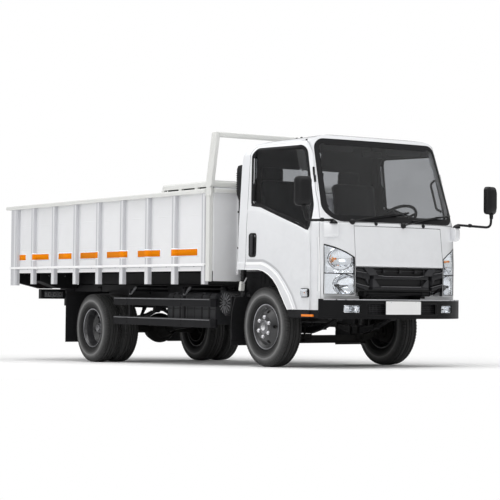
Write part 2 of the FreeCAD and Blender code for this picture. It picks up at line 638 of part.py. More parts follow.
# deck plate over the front of the load space, rounded behind, on small feet along the rails
dt, dr = D.deck_top, D.deck_rear
rim_ = [(-dr + 60, -940), (-780, -940), (-780, 940), (-dr + 60, 940), (-dr + 16, 924), (-dr, 880), (-dr, -880), (-dr + 16, -924)]
b, _ = pad("XY_Plane", rim_, dt - 62, dt, "deck")
gp.append(b)
for s in (-1, 1):
    for k in range(4):
        x = -940 - 205 * k
        y0, y1 = (900, 936) if s > 0 else (-936, -900)
        gp.append(box(x - 60, x + 60, y0, y1, btop + D.top_rail, dt - 60))
node(fuse(*gp), "guard_frame")

# tailgate on two pins carried by the rear ends of the top rails
gx, gz = -D.gate_pin_x, D.gate_pin_z
tg = [box(-5522, -5514, -888, 888, 952, 1700)]
for z in (952, 1180, 1420, 1660):
    tg.append(box(-5560, -5522, -888, 888, z, z + 40))
for yv in (-868, -434, 0, 434, 868):
    tg.append(box(-5556, -5522, yv - 20, yv + 20, 952, 1700))
for s in (-1, 1):
    y0, y1 = (846, 868) if s > 0 else (-868, -846)
    tg.append(box(gx - 20, -5514, y0, y1, 1640, gz + 18))
    tg.append(cyl(gx, s * 884, gz, "Y", 12, 70))
node(fuse(*tg), "tailgate")

# ---------------------------------------------------------------- hoist
F = V(-D.hoist_front_x.v, 0, D.hoist_front_z.v)
E = V(-D.hoist_eye_x.v, 0, D.hoist_eye_z.v)
L = (E - F).Length
dirn = (E - F).normalize()


def along(a, b, r, off=V(0, 0, 0)):
    return Part.makeCylinder(r, b - a, F + dirn * a + off, dirn)


head = Part.makeCylinder(42, 110, F + V(0, -55, 0), V(0, 1, 0)).cut(Part.makeCylinder(20.4, 200, F + V(0, -100, 0), V(0, 1, 0)))
barrel = along(46, L - 190, 62).fuse(along(30, 60, 34)).fuse(head).cut(Part.makeCylinder(20.4, 200, F + V(0, -100, 0), V(0, 1, 0)))
barrel = barrel.cut(along(90, L, 40.5))
node(feat(barrel.removeSplitter(), "barrel"), "hoist_barrel")
eye = Part.makeCylinder(38, 90, E + V(0, -45, 0), V(0, 1, 0)).cut(Part.makeCylinder(20.4, 200, E + V(0, -100, 0), V(0, 1, 0)))
rod = along(120, L - 30, 40).fuse(eye).cut(Part.makeCylinder(20.4, 200, E + V(0, -100, 0), V(0, 1, 0)))
node(feat(rod.removeSplitter(), "rod"), "hoist_rod")

# ---------------------------------------------------------------- cab shell
ZS = [430.0, 1000.0, 1360.0, 2120.0, 2360.0]
FRONT = {
    1000.0: [(0, 1115), (250, 1110), (450, 1099), (520, 1092), (620, 1062), (700, 1017), (760, 962), (800, 905), (830, 820)],
    1360.0: [(0, 1085), (250, 1078), (450, 1062), (520, 1050), (620, 1026), (700, 990), (760, 945), (798, 885), (825, 800)],
    2120.0: [(0, 752), (250, 748), (450, 738), (520, 733), (620, 720), (690, 702), (740, 665), (771, 600), (789, 500)],
}
FRONT[430.0] = [(y, x - 6) for y, x in FRONT[1000.0]]
FRONT[2360.0] = [(a[0] + (a[0] - b[0]) * 0.316, a[1] + (a[1] - b[1]) * 0.316) for a, b in zip(FRONT[2120.0], FRONT[1360.0])]
FRONT[2360.0][0] = (0, FRONT[2360.0][0][1])
SIDE = {430.0: (845, 845, 690), 1000.0: (845, 845, 690), 1360.0: (838, 838, 670), 2120.0: (797, 797, 400), 2360.0: (784, 784, 315)}


def section(z, off, rear_off=None, side_off=None):
    """Plan outline of the cab at height z, moved inwards by off."""
    pts = FRONT[z]
    half = SIDE[z][1] - (off if side_off is None else side_off)
    xs = SIDE[z][2]
    out = []
    n = len(pts)
    for i, (y, x) in enumerate(pts):
        a = pts[max(i - 1, 0)]
        b = pts[i + 1] if i + 1 < n else (SIDE[z][1], xs)
        ty, tx = b[0] - a[0], b[1] - a[1]
        if i == 0:
            ty, tx = 1.0, 0.0
        ln = math.hypot(ty, tx)
        ny, nx = -tx / ln, ty / ln
        out.append((y - ny * off, x - nx * off))
    xr = -D.cab_rear.v + (off if rear_off is None else rear_off)
    P = [V(xs, half, z)] + [V(x, y, z) for y, x in reversed(out)]
    P += [V(x, -y, z) for y, x in out[1:]] + [V(xs, -half, z)]
    c = Part.BSplineCurve()
    c.interpolate(Points=P, InitialTangent=V(1, 0, 0), FinalTangent=V(-1, 0, 0))
    edges = [Part.LineSegment(V(xr, half, z), V(xs, half, z)).toShape(), c.toShape(),
             Part.LineSegment(V(xs, -half, z), V(xr, -half, z)).toShape(),
             Part.LineSegment(V(xr, -half, z), V(xr, half, z)).toShape()]
    return Part.Wire(edges)


def tower(off, rear_off=None, side_off=None):
    return Part.makeLoft([section(z, off, rear_off, side_off) for z in ZS], True, True)


def prism(pts, axis, lo, hi):
    """Straight-sided prism. pts are (y, z) for axis X, (x, z) for axis Y, (x, y) for axis Z."""
    P = []
    for a, b in pts:
        if axis == "X":
            P.append(V(lo, a, b))
        elif axis == "Y":
            P.append(V(a, lo, b))
        else:
            P.append(V(a, b, lo))
    P.append(P[0])
    f = Part.Face(Part.makePolygon(P))
    d = {"X": V(hi - lo, 0, 0), "Y": V(0, hi - lo, 0), "Z": V(0, 0, hi - lo)}[axis]
    return f.extrude(d)


def rounded(pts, radii, n=7):
    """Corners of a polygon turned into short arcs (as fine polylines)."""
    out = []
    m = len(pts)
    for i in range(m):
        p0, p1, p2 = pts[i - 1], pts[i], pts[(i + 1) % m]
        r = radii[i] if isinstance(radii, (list, tuple)) else radii
        if r <= 0:
            out.append(p1)
            continue
        a = (p0[0] - p1[0], p0[1] - p1[1])
        b = (p2[0] - p1[0], p2[1] - p1[1])
        la, lb = math.hypot(*a), math.hypot(*b)
        a = (a[0] / la, a[1] / la)
        b = (b[0] / lb, b[1] / lb)
        ang = math.acos(max(-1, min(1, a[0] * b[0] + a[1] * b[1])))
        t = min(r / math.tan(ang / 2), la * 0.49, lb * 0.49)
        rad = t * math.tan(ang / 2)
        bis = (a[0] + b[0], a[1] + b[1])
        lbz = math.hypot(*bis)
        c = (p1[0] + bis[0] / lbz * rad / math.sin(ang / 2), p1[1] + bis[1] / lbz * rad / math.sin(ang / 2))
        s0 = (p1[0] + a[0] * t, p1[1] + a[1] * t)
        s1 = (p1[0] + b[0] * t, p1[1] + b[1] * t)
        a0 = math.atan2(s0[1] - c[1], s0[0] - c[0])
        a1 = math.atan2(s1[1] - c[1], s1[0] - c[0])
        d = (a1 - a0 + math.pi) % (2 * math.pi) - math.pi
        for k in range(n + 1):
            tt = a0 + d * k / n
            out.append((c[0] + rad * math.cos(tt), c[1] + rad * math.sin(tt)))
    return out


ARCH = [(-405, 939), (-22, 936), (60, 922), (140, 893), (227, 844), (300, 778), (366, 693), (425, 618), (475, 559)]
ROOF_F = [(-405, 1930), (-393, 2040), (-360, 2120), (-300, 2172), (-200, 2202), (0, 2222), (300, 2234), (550, 2226), (700, 2199), (800, 2152), (1000, 2000)]
ROOF_X = [(0, 2236), (300, 2229), (500, 2216), (620, 2199), (700, 2174), (755, 2138), (793, 2080), (830, 1960)]


def curve_face_x(d):
    """Front-view outline of the cab, roof crown included, moved in by d."""
    P = [V(-1, y, z - d) for y, z in ROOF_X]
    P = [V(-1, -p.y, p.z) for p in reversed(P[1:])] + P
    c = Part.BSplineCurve()
    c.interpolate(P)
    a, b = P[0], P[-1]
    lo_l, lo_r = V(-1, -1000, a.z), V(-1, 1000, b.z)
    w = Part.Wire([c.toShape(), Part.makeLine(b, lo_r), Part.makeLine(lo_r, V(-1, 1000, 300)),
                   Part.makeLine(V(-1, 1000, 300), V(-1, -1000, 300)), Part.makeLine(V(-1, -1000, 300), lo_l), Part.makeLine(lo_l, a)])
    f = Part.Face(w)
    f.translate(V(-999, 0, 0))
    return f.extrude(V(2600, 0, 0))


def curve_face_y(d, under):
    P = [V(x + (d if x < -250 else 0), -1000, z - d) for x, z in ROOF_F]
    c = Part.BSplineCurve()
    c.interpolate(P)
    a, b = P[0], P[-1]
    pts = [b, V(1300, -1000, b.z)] + [V(x, -1000, z) for x, z in under] + [a]
    es = [c.toShape()] + [Part.makeLine(pts[i], pts[i + 1]) for i in range(len(pts) - 1)]
    return Part.Face(Part.Wire(es)).extrude(V(0, 2000, 0))


t = D.cab_wall.v
under_o = [(1300, 700), (945, 700), (945, 488), (478, 488)] + list(reversed(ARCH))
OUT = tower(0).common(curve_face_x(0)).common(curve_face_y(0, under_o))
TUN = 365.0
tunnel = Part.makeBox(1700, 2 * TUN, 937 - 300, V(-450, -TUN, 300))
OUT = OUT.cut(tunnel)
arch_in = [(x + (28 if i > 3 else 0), z + 40) for i, (x, z) in enumerate(ARCH)]
arch_in = [(-405 + t, 979)] + [p for p in arch_in if p[0] > -350] + [(503, 535)]
under_i = [(1300, 1330), (928, 1330), (928, 535)] + list(reversed(arch_in))
IN = tower(t).common(curve_face_x(38)).common(curve_face_y(38, under_i))
IN = IN.cut(Part.makeBox(1700, 2 * TUN + 80, 977 - 300, V(-450, -TUN - 40, 300)))
BAY = tower(t).common(Part.makeBox(400, 1480, 700, V(955, -740, 640)))
WIND = tower(t).common(curve_face_x(38)).common(curve_face_y(38, under_i)).common(Part.makeBox(400, 1700, 900, V(700, -850, 1330)))
SHELL = OUT.cut(IN).cut(BAY)

# doors
DOOR = [(925, 562), (912, 1000), (893, 1400), (845, 1560), (800, 1672), (745, 1880), (712, 2010), (640, 2150), (-262, 2150), (-262, 938), (-22, 936),
        (60, 922), (140, 893), (227, 844), (300, 778), (366, 693), (425, 618), (473, 562)]
door_r = [0, 0, 60, 0, 0, 0, 60, 85, 85, 0, 0, 0, 0, 0, 0, 0, 0, 0]


def grow(pts, d):
    """Polygon moved outwards by d."""
    m = len(pts)
    area = sum(pts[i][0] * pts[(i + 1) % m][1] - pts[(i + 1) % m][0] * pts[i][1] for i in range(m)) / 2
    s = 1 if area > 0 else -1
    out = []
    for i in range(m):
        p0, p1, p2 = pts[i - 1], pts[i], pts[(i + 1) % m]
        e0 = (p1[0] - p0[0], p1[1] - p0[1])
        e1 = (p2[0] - p1[0], p2[1] - p1[1])
        l0, l1 = math.hypot(*e0), math.hypot(*e1)
        n0 = (e0[1] / l0 * s, -e0[0] / l0 * s)
        n1 = (e1[1] / l1 * s, -e1[0] / l1 * s)
        k = 1 + n0[0] * n1[0] + n0[1] * n1[1]
        out.append((p1[0] + (n0[0] + n1[0]) / k * d, p1[1] + (n0[1] + n1[1]) / k * d))
    return out


door_poly = rounded(DOOR, door_r)
hole_poly = [(x, z if z > 2160 or x > 500 else z) for x, z in grow(door_poly, D.gap.v)]
WIN = [(-214, 2106), (627, 2082), (790, 1520), (778, 1316), (-34, 1567), (-180, 1582)]
win_poly = rounded(WIN, [70, 90, 200, 25, 160, 30])
IN_SIDE = tower(t)
IN_SIDE5 = tower(t + D.gap.v)
G20, G26 = tower(18), tower(24)

for s, side in ((-1, "right"), (1, "left")):
    lo, hi = (-1000, -500) if s < 0 else (500, 1000)
    dp = prism(door_poly, "Y", lo, hi)
    dsolid = OUT.common(dp).cut(IN_SIDE)
    wp = prism(win_poly, "Y", lo, hi)
    door = dsolid.cut(wp)
    node(feat(door, "door"), "door_" + side)
    glass = G20.common(wp).cut(G26).common(Part.makeBox(1400, 500, 1200, V(-400, lo, 1200)))
    node(feat(glass, "glass"), "door_glass_" + side)

holes = []
for lo in (-1000, 500):
    hp = prism(hole_poly, "Y", lo, lo + 500)
    SHELL = SHELL.cut(hp.cut(IN_SIDE5))
for y0 in (-802, 779):
    SHELL = SHELL.cut(Part.makeBox(40, 23, 50, V(795, y0, 558)))

# windscreen opening and glass
WS = [(-765, 1386), (765, 1386), (708, 2160), (-708, 2160)]
ws_poly = rounded(WS, [150, 150, 95, 95], 9)
SHELL = SHELL.cut(prism(ws_poly, "X", 450, 1200))
wsg = OUT.common(prism(grow(ws_poly, -3), "X", 450, 1200)).cut(tower(6))

# back window
RW = rounded([(-560, 1490), (560, 1490), (560, 1960), (-560, 1960)], 60)
SHELL = SHELL.cut(prism(RW, "X", -500, -300))
rwg = prism(RW, "X", -388, -382)

# front lid, grille and head lamps
LID = [(-508, 1337), (508, 1337), (516, 969), (-516, 969)]
lid_skin = OUT.cut(tower(26))
lid = lid_skin.common(prism(LID, "X", 960, 1250))
SHELL = SHELL.cut(prism(grow(LID, D.gap.v), "X", 958, 1250))
node(feat(lid, "lid"), "front_lid")

GR = [(-517, 736), (517, 736), (517, 961), (-517, 961)]
gr = OUT.fuse(tower(0).common(Part.makeBox(300, 700, 200, V(960, -350, 737)))).cut(tower(40)).common(prism(GR, "X", 960, 1250))
slots = [Part.makeBox(300, 560, 34, V(960, -280, 890)), Part.makeBox(300, 520, 60, V(960, -260, 790))]
for sl in slots:
    gr = gr.cut(sl)
node(feat(gr, "grille"), "grille")
SHELL = SHELL.cut(prism(grow(GR, 2), "X", 957, 1250)).cut(Part.makeBox(345, 1036, 140, V(957, -518, 600)))

HL = [(523, 706), (523, 1052), (600, 1100), (690, 1142), (774, 1172), (774, 706)]
lamps = []
for s in (-1, 1):
    hp = prism([(s * a, b) for a, b in HL], "X", 850, 1250)
    lamps.append(OUT.cut(tower(44)).common(hp).common(Part.makeBox(400, 2000, 700, V(942, -1000, 640))))
    SHELL = SHELL.cut(prism(grow([(s * a, b) for a, b in HL], 1.0), "X", 940, 1250))
node(feat(Part.makeCompound([l for x in lamps for l in x.Solids]), "lamps"), "headlamps")


def big(shape, least=20000.0):
    sol = [x for x in shape.Solids if x.Volume > least]
    return sol[0] if len(sol) == 1 else Part.makeCompound(sol)


BIG = 3000.0
roof_cut = Part.makeBox(BIG, BIG, 400, V(-1500, -1500, 2155)).fuse(Part.makeBox(560 + 215, BIG, 700, V(-215, -1500, 1500)))
roof = SHELL.common(roof_cut)
low = SHELL.cut(roof_cut)
back_cut = Part.makeBox(1500 - 215, BIG, BIG, V(-1500, -1500, 985))
back = low.common(back_cut)
low = low.cut(back_cut)
front_cut = Part.makeBox(900, BIG, BIG, V(560, -1500, 600)).fuse(Part.makeBox(500, BIG, BIG, V(926, -1500, 500)))
front = low.common(front_cut)
flr = low.cut(front_cut)
arms = []
for s in (-1, 1):
    arms.append(Part.makeBox(D.tilt_x.v - 934 + 14, 20, 50, V(934, (368 if s > 0 else -388), D.tilt_z.v - 25)))
tube = Part.makeCylinder(20, 776, V(D.tilt_x.v, -388, D.tilt_z.v), V(0, 1, 0))
front = front.fuse([tube] + arms)
node(feat(big(roof), "roof"), "cab_roof")
node(feat(big(back), "back"), "cab_rear_wall")
node(feat(big(front), "front"), "cab_front")
node(feat(big(flr), "floor"), "cab_floor")
node(feat(Part.makeCompound([wsg, rwg]), "glass"), "cab_glass")

# ---------------------------------------------------------------- inside the cab
# seats: a base, a cushion, a back and a head rest
for label, y0, y1 in (("driver_seat", 170, 690), ("passenger_seat", -700, 60)):
    ym = (y0 + y1) / 2
    parts = [box(-180, 330, y0 + 40, y1 - 40, 978, 1130), box(-200, 380, y0, y1, 1130, 1270),
             at(doc.addObject("Part::Box", nm("back")), -205, y0, 1240, Rotation(V(0, 1, 0), -8))]
    parts[2].Length, parts[2].Width, parts[2].Height = 110, y1 - y0, 590
    parts.append(box(-350, -268, ym - 130, ym + 130, 1790, 1960) if label == "driver_seat" else box(-350, -268, y0 + 60, y0 + 320, 1790, 1960))
    node(fuse(*parts), label)

dash = common(box(640, 924, -735, 735, 1120, 1322), feat(tower(53), "inside"))
clus = box(600, 760, 220, 590, 1240, 1380)
c0 = V(530, 395, 1440)
nrm = V(-0.643, 0, 0.766)
col = Part.makeCylinder(34, 260, c0 - nrm * 300, nrm)
cobj = feat(col, "column")
node(fuse(dash, clus, cobj), "dashboard")
rimw = Part.makeTorus(D.wheel_rim_r.v, 15, c0, nrm)
hubw = Part.makeCylinder(62, 34, c0 - nrm * 32, nrm)
sp = []
for k in range(3):
    a = math.radians(90 + 120 * k)
    u = V(0, 1, 0) * math.cos(a) + nrm.cross(V(0, 1, 0)) * math.sin(a)
    sp.append(Part.makeCylinder(13, D.wheel_rim_r.v - 20, c0 - nrm * 14 + u * 18, u))
wheel = rimw.fuse([hubw] + sp)
node(feat(wheel, "steering"), "steering_wheel")

# ---------------------------------------------------------------- mirrors
ms = []
for s in (-1, 1):
    a0, a1, a2 = V(1036, s * 700, 1376), V(1112, s * 1098, 1371), V(1104, s * 1112, 1500)
    arm = Part.makeCylinder(13, (a1 - a0).Length, a0, a1 - a0).fuse([Part.makeSphere(13, a1), Part.makeCylinder(13, (a2 - a1).Length, a1, a2 - a1)])
    pod = Part.makeBox(108, 110, 135, V(965, (685 if s > 0 else -795), 1226)).cut(tower(0))
    h = Part.makeBox(70, 160, 270, V(-35, -80, -135))
    h = h.makeFillet(22, h.Edges)
    h.rotate(V(0, 0, 0), V(0, 0, 1), s * 14)
    h.translate(V(1098, s * 1114, 1636))
    one = arm.fuse([h])
    pods = [x for x in pod.Solids if x.Volume > 20000]
    one = one.cut(OUT)
    keep = sorted(one.Solids, key=lambda x: -x.Volume)[0]
    ms.append((keep, pods))
sol = []
for keep, pods in ms:
    m = keep
    for p_ in pods:
        m = m.fuse(p_)
    sol += m.Solids
node(feat(Part.makeCompound(sol), "mirrors"), "mirrors")

# ---------------------------------------------------------------- checks and export
doc.recompute()
bad = []
for o in doc.Objects:
    if "Invalid" in o.State or "Error" in o.State:
        bad.append((o.Name, o.Label, list(o.State)))
if bad:
    raise RuntimeError("failed objects: %s" % bad[:10])
os.makedirs("parts", exist_ok=True)
for old in os.listdir("parts"):
    if old.endswith(".step") and old[:-5] not in [o.Label for o in NODES]:
        os.remove(os.path.join("parts", old))
bb = FreeCAD.BoundBox()
for o in NODES:
    shp = o.Shape
    if shp.isNull() or not shp.isValid() or not shp.Solids:
        raise RuntimeError("bad shape in " + o.Label)
    bb.add(shp.BoundBox)
    shp.exportStep("parts/%s.step" % o.Label)
    b = shp.BoundBox
    print("%-20s solids %2d vol %8.4f m3  x %7.0f %7.0f  y %6.0f %6.0f  z %6.0f %6.0f" % (
        o.Label, len(shp.Solids), sum(x.Volume for x in shp.Solids) / 1e9, b.XMin, b.XMax, b.YMin, b.YMax, b.ZMin, b.ZMax))
print("nodes", len(NODES), "box", bb)
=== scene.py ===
import bpy, bmesh, math
from mathutils import Matrix, Vector, Quaternion
from mathutils.bvhtree import BVHTree


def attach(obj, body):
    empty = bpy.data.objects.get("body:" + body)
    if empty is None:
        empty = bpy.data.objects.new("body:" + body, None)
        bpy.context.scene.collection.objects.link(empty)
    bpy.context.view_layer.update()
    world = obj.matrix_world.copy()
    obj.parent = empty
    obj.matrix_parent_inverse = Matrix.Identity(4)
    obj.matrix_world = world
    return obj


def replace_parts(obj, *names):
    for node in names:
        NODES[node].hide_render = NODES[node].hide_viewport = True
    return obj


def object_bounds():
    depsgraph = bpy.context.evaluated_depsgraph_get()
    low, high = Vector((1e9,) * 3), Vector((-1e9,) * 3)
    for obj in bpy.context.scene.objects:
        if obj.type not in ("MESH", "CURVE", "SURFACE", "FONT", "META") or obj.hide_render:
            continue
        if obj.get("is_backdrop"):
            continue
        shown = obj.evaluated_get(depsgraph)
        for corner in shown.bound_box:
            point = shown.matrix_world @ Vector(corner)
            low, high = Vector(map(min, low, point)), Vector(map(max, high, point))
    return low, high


# Light tipping truck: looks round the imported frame. Built in chassis coordinates
# (metres, front axle at x = 0, X forward, Y left) and carried to the row frame.
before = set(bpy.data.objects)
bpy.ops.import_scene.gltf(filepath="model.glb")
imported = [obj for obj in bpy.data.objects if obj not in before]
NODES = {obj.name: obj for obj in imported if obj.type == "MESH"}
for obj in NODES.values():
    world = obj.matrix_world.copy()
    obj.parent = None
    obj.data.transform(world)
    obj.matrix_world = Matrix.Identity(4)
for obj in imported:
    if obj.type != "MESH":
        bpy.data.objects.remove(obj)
LO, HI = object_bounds()

AX, RAD, RAKE = 2.203735, 0.388, math.radians(1.5)
WB = 3.410
MS = Matrix.Translation((AX, 0, RAD)) @ Matrix.Rotation(RAKE, 4, "Y") @ Matrix.Translation((0, 0, -RAD))
MU = Matrix.Translation((AX, 0, 0))
MSI = MS.inverted()

# ------------------------------------------------------------------ materials
MATS = {}


def _new(name):
    m = bpy.data.materials.new(name)
    m.use_nodes = True
    nt = m.node_tree
    b = nt.nodes["Principled BSDF"]
    MATS[name] = m
    return m, nt, b


def _noise(nt, scale, detail=3.0, rough=0.55, vec=None, dist=0.0):
    n = nt.nodes.new("ShaderNodeTexNoise")
    n.inputs["Scale"].default_value = scale
    n.inputs["Detail"].default_value = detail
    n.inputs["Roughness"].default_value = rough
    n.inputs["Distortion"].default_value = dist
    if vec is not None:
        nt.links.new(vec, n.inputs["Vector"])
    return n


def _coord(nt, scale=(1, 1, 1)):
    g = nt.nodes.new("ShaderNodeTexCoord")
    mp = nt.nodes.new("ShaderNodeMapping")
    mp.inputs["Scale"].default_value = scale
    nt.links.new(g.outputs["Object"], mp.inputs["Vector"])
    return mp.outputs["Vector"]


def _ramp(nt, src, stops):
    r = nt.nodes.new("ShaderNodeValToRGB")
    e = r.color_ramp.elements
    e[0].position, e[0].color = stops[0][0], stops[0][1]
    e[1].position, e[1].color = stops[-1][0], stops[-1][1]
    for p, c in stops[1:-1]:
        k = e.new(p)
        k.color = c
    nt.links.new(src, r.inputs["Fac"])
    return r


def _g(v):
    return (v, v, v, 1.0)


def _c(rgb, k=1.0):
    return (rgb[0] * k, rgb[1] * k, rgb[2] * k, 1.0)


def _bump(nt, b, src, strength, dist):
    k = nt.nodes.new("ShaderNodeBump")
    k.inputs["Strength"].default_value = strength
    k.inputs["Distance"].default_value = dist
    nt.links.new(src, k.inputs["Height"])
    nt.links.new(k.outputs["Normal"], b.inputs["Normal"])
    return k


def paint(name, rgb, rough=0.25, coat=0.6, dirt=0.06, spots=2.2, peel=0.05, dirt_and_shade_rgb=(0.46, 0.44, 0.40), low=None):
    """Sprayed paint: cloudy tone, a little road film in blotches, orange peel; with low given it also blends darker
    towards the bottom, which on the cab white is painted shade.
    """
    m, nt, b = _new(name)
    vec = _coord(nt)
    n1 = _noise(nt, spots, 5.0, 0.6, vec)
    r1 = _ramp(nt, n1.outputs["Fac"], [(0.30, _c(rgb, 0.965)), (0.55, _c(rgb)), (0.8, _c(rgb, 1.012))])
    n2 = _noise(nt, 9.0, 6.0, 0.65, vec, 0.6)
    r2 = _ramp(nt, n2.outputs["Fac"], [(0.45, _g(0)), (0.85, _g(1))])
    mx = nt.nodes.new("ShaderNodeMix")
    mx.data_type = "RGBA"
    mul = nt.nodes.new("ShaderNodeMath")
    mul.operation = "MULTIPLY"
    mul.inputs[1].default_value = dirt
    nt.links.new(r2.outputs["Color"], mul.inputs[0])
    fac = mul.outputs[0]
    # darker towards the bottom; on the cab white this blend is painted shade
    if low is not None:
        sep = nt.nodes.new("ShaderNodeSeparateXYZ")
        nt.links.new(vec, sep.inputs[0])
        mr = nt.nodes.new("ShaderNodeMapRange")
        mr.inputs["From Min"].default_value = low[1]
        mr.inputs["From Max"].default_value = low[0]
        mr.inputs["To Min"].default_value = 0.0
        mr.inputs["To Max"].default_value = low[2]
        nt.links.new(sep.outputs["Z"], mr.inputs["Value"])
        ml2 = nt.nodes.new("ShaderNodeMath")
        ml2.operation = "MULTIPLY"
        nt.links.new(mr.outputs["Result"], ml2.inputs[0])
        nt.links.new(n2.outputs["Fac"], ml2.inputs[1])
        ad = nt.nodes.new("ShaderNodeMath")
        ad.operation = "ADD"
        ad.use_clamp = True
        nt.links.new(fac, ad.inputs[0])
        nt.links.new(ml2.outputs[0], ad.inputs[1])
        fac = ad.outputs[0]
    nt.links.new(fac, mx.inputs["Factor"])
    nt.links.new(r1.outputs["Color"], mx.inputs["A"])
    mx.inputs["B"].default_value = _c(dirt_and_shade_rgb)
    nt.links.new(mx.outputs["Result"], b.inputs["Base Color"])
    rr = nt.nodes.new("ShaderNodeMapRange")
    rr.inputs["To Min"].default_value = rough * 0.85
    rr.inputs["To Max"].default_value = min(1.0, rough * 1.35)
    nt.links.new(n2.outputs["Fac"], rr.inputs["Value"])
    nt.links.new(rr.outputs["Result"], b.inputs["Roughness"])
    b.inputs["Coat Weight"].default_value = coat
    b.inputs["Coat Roughness"].default_value = 0.06
    n3 = _noise(nt, 420.0, 2.0, 0.5, vec)
    _bump(nt, b, n3.outputs["Fac"], peel, 0.0004)
    return m


def plastic(name, rgb, rough=0.5, grain=600.0, depth=0.25, spec=0.25, vary=0.12):
    m, nt, b = _new(name)
    vec = _coord(nt)
    n1 = _noise(nt, 6.0, 5.0, 0.6, vec)
    r1 = _ramp(nt, n1.outputs["Fac"], [(0.25, _c(rgb, 1 - vary)), (0.75, _c(rgb, 1 + vary))])
    nt.links.new(r1.outputs["Color"], b.inputs["Base Color"])
    rr = nt.nodes.new("ShaderNodeMapRange")
    rr.inputs["To Min"].default_value = rough * 0.8
    rr.inputs["To Max"].default_value = min(1, rough * 1.2)
    nt.links.new(n1.outputs["Fac"], rr.inputs["Value"])
    nt.links.new(rr.outputs["Result"], b.inputs["Roughness"])
    b.inputs["Specular IOR Level"].default_value = spec
    v = nt.nodes.new("ShaderNodeTexVoronoi")
    v.inputs["Scale"].default_value = grain
    nt.links.new(vec, v.inputs["Vector"])
    _bump(nt, b, v.outputs["Distance"], depth, 0.0003)
    return m


def metal(name, rgb, rough=0.3, metallic=1.0, scale=40.0, bump=0.1, dist=0.0004, vary=0.15, coat=0.0):
    m, nt, b = _new(name)
    vec = _coord(nt)
    n1 = _noise(nt, scale, 6.0, 0.6, vec)
    r1 = _ramp(nt, n1.outputs["Fac"], [(0.25, _c(rgb, 1 - vary)), (0.75, _c(rgb, 1 + vary))])
    nt.links.new(r1.outputs["Color"], b.inputs["Base Color"])
    b.inputs["Metallic"].default_value = metallic
    b.inputs["Coat Weight"].default_value = coat
    rr = nt.nodes.new("ShaderNodeMapRange")
    rr.inputs["To Min"].default_value = rough * 0.75
    rr.inputs["To Max"].default_value = min(1, rough * 1.3)
    nt.links.new(n1.outputs["Fac"], rr.inputs["Value"])
    nt.links.new(rr.outputs["Result"], b.inputs["Roughness"])
    n2 = _noise(nt, scale * 9, 3.0, 0.6, vec)
    _bump(nt, b, n2.outputs["Fac"], bump, dist)
    return m


def black_paint(name, rgb, rough=0.42, dust=0.10, dust_rgb=(0.20, 0.185, 0.165), bump=0.25):
    """Chassis black with thin road dust on its upper faces and grainy edges."""
    m, nt, b = _new(name)
    vec = _coord(nt)
    n1 = _noise(nt, 14.0, 6.0, 0.65, vec, 0.4)
    r0 = _ramp(nt, n1.outputs["Fac"], [(0.3, _c(rgb, 0.75)), (0.7, _c(rgb, 1.25))])
    geo = nt.nodes.new("ShaderNodeNewGeometry")
    sep = nt.nodes.new("ShaderNodeSeparateXYZ")
    nt.links.new(geo.outputs["Normal"], sep.inputs[0])
    mr = nt.nodes.new("ShaderNodeMapRange")
    mr.inputs["From Min"].default_value = -0.2
    mr.inputs["From Max"].default_value = 1.0
    mr.inputs["To Min"].default_value = 0.15
    mr.inputs["To Max"].default_value = 1.0
    nt.links.new(sep.outputs["Z"], mr.inputs["Value"])
    r1 = _ramp(nt, n1.outputs["Fac"], [(0.35, _g(0)), (0.8, _g(1))])
    mm = nt.nodes.new("ShaderNodeMath")
    mm.operation = "MULTIPLY"
    nt.links.new(mr.outputs["Result"], mm.inputs[0])
    nt.links.new(r1.outputs["Color"], mm.inputs[1])
    m2 = nt.nodes.new("ShaderNodeMath")
    m2.operation = "MULTIPLY"
    m2.inputs[1].default_value = dust * 3
    m2.use_clamp = True
    nt.links.new(mm.outputs[0], m2.inputs[0])
    mx = nt.nodes.new("ShaderNodeMix")
    mx.data_type = "RGBA"
    nt.links.new(m2.outputs[0], mx.inputs["Factor"])
    nt.links.new(r0.outputs["Color"], mx.inputs["A"])
    mx.inputs["B"].default_value = _c(dust_rgb)
    nt.links.new(mx.outputs["Result"], b.inputs["Base Color"])
    rr = nt.nodes.new("ShaderNodeMapRange")
    rr.inputs["To Min"].default_value = rough * 0.8
    rr.inputs["To Max"].default_value = min(1, rough * 1.5)
    nt.links.new(n1.outputs["Fac"], rr.inputs["Value"])
    nt.links.new(rr.outputs["Result"], b.inputs["Roughness"])
    b.inputs["Specular IOR Level"].default_value = 0.25
    n2 = _noise(nt, 260.0, 3.0, 0.6, vec)
    _bump(nt, b, n2.outputs["Fac"], bump, 0.0006)
    return m


def glass(name, rgb, rough=0.0, ior=1.45):
    m, nt, b = _new(name)
    vec = _coord(nt)
    n1 = _noise(nt, 3.0, 3.0, 0.5, vec)
    r1 = _ramp(nt, n1.outputs["Fac"], [(0.3, _c(rgb, 0.97)), (0.7, _c(rgb, 1.03))])
    nt.links.new(r1.outputs["Color"], b.inputs["Base Color"])
    b.inputs["Transmission Weight"].default_value = 1.0
    b.inputs["Roughness"].default_value = rough
    b.inputs["IOR"].default_value = ior
    return m


def rubber(name, rgb, rough=0.62, dust=0.05):
    m, nt, b = _new(name)
    vec = _coord(nt)
    n1 = _noise(nt, 22.0, 6.0, 0.7, vec)
    r1 = _ramp(nt, n1.outputs["Fac"], [(0.3, _c(rgb, 0.8)), (0.6, _c(rgb, 1.1)), (0.9, (rgb[0] + dust, rgb[1] + dust * 0.95, rgb[2] + dust * 0.88, 1))])
    nt.links.new(r1.outputs["Color"], b.inputs["Base Color"])
    rr = nt.nodes.new("ShaderNodeMapRange")
    rr.inputs["To Min"].default_value = rough * 0.8
    rr.inputs["To Max"].default_value = min(1, rough * 1.25)
    nt.links.new(n1.outputs["Fac"], rr.inputs["Value"])
    nt.links.new(rr.outputs["Result"], b.inputs["Roughness"])
    b.inputs["Specular IOR Level"].default_value = 0.2
    n2 = _noise(nt, 700.0, 3.0, 0.6, vec)
    _bump(nt, b, n2.outputs["Fac"], 0.25, 0.0004)
    return m


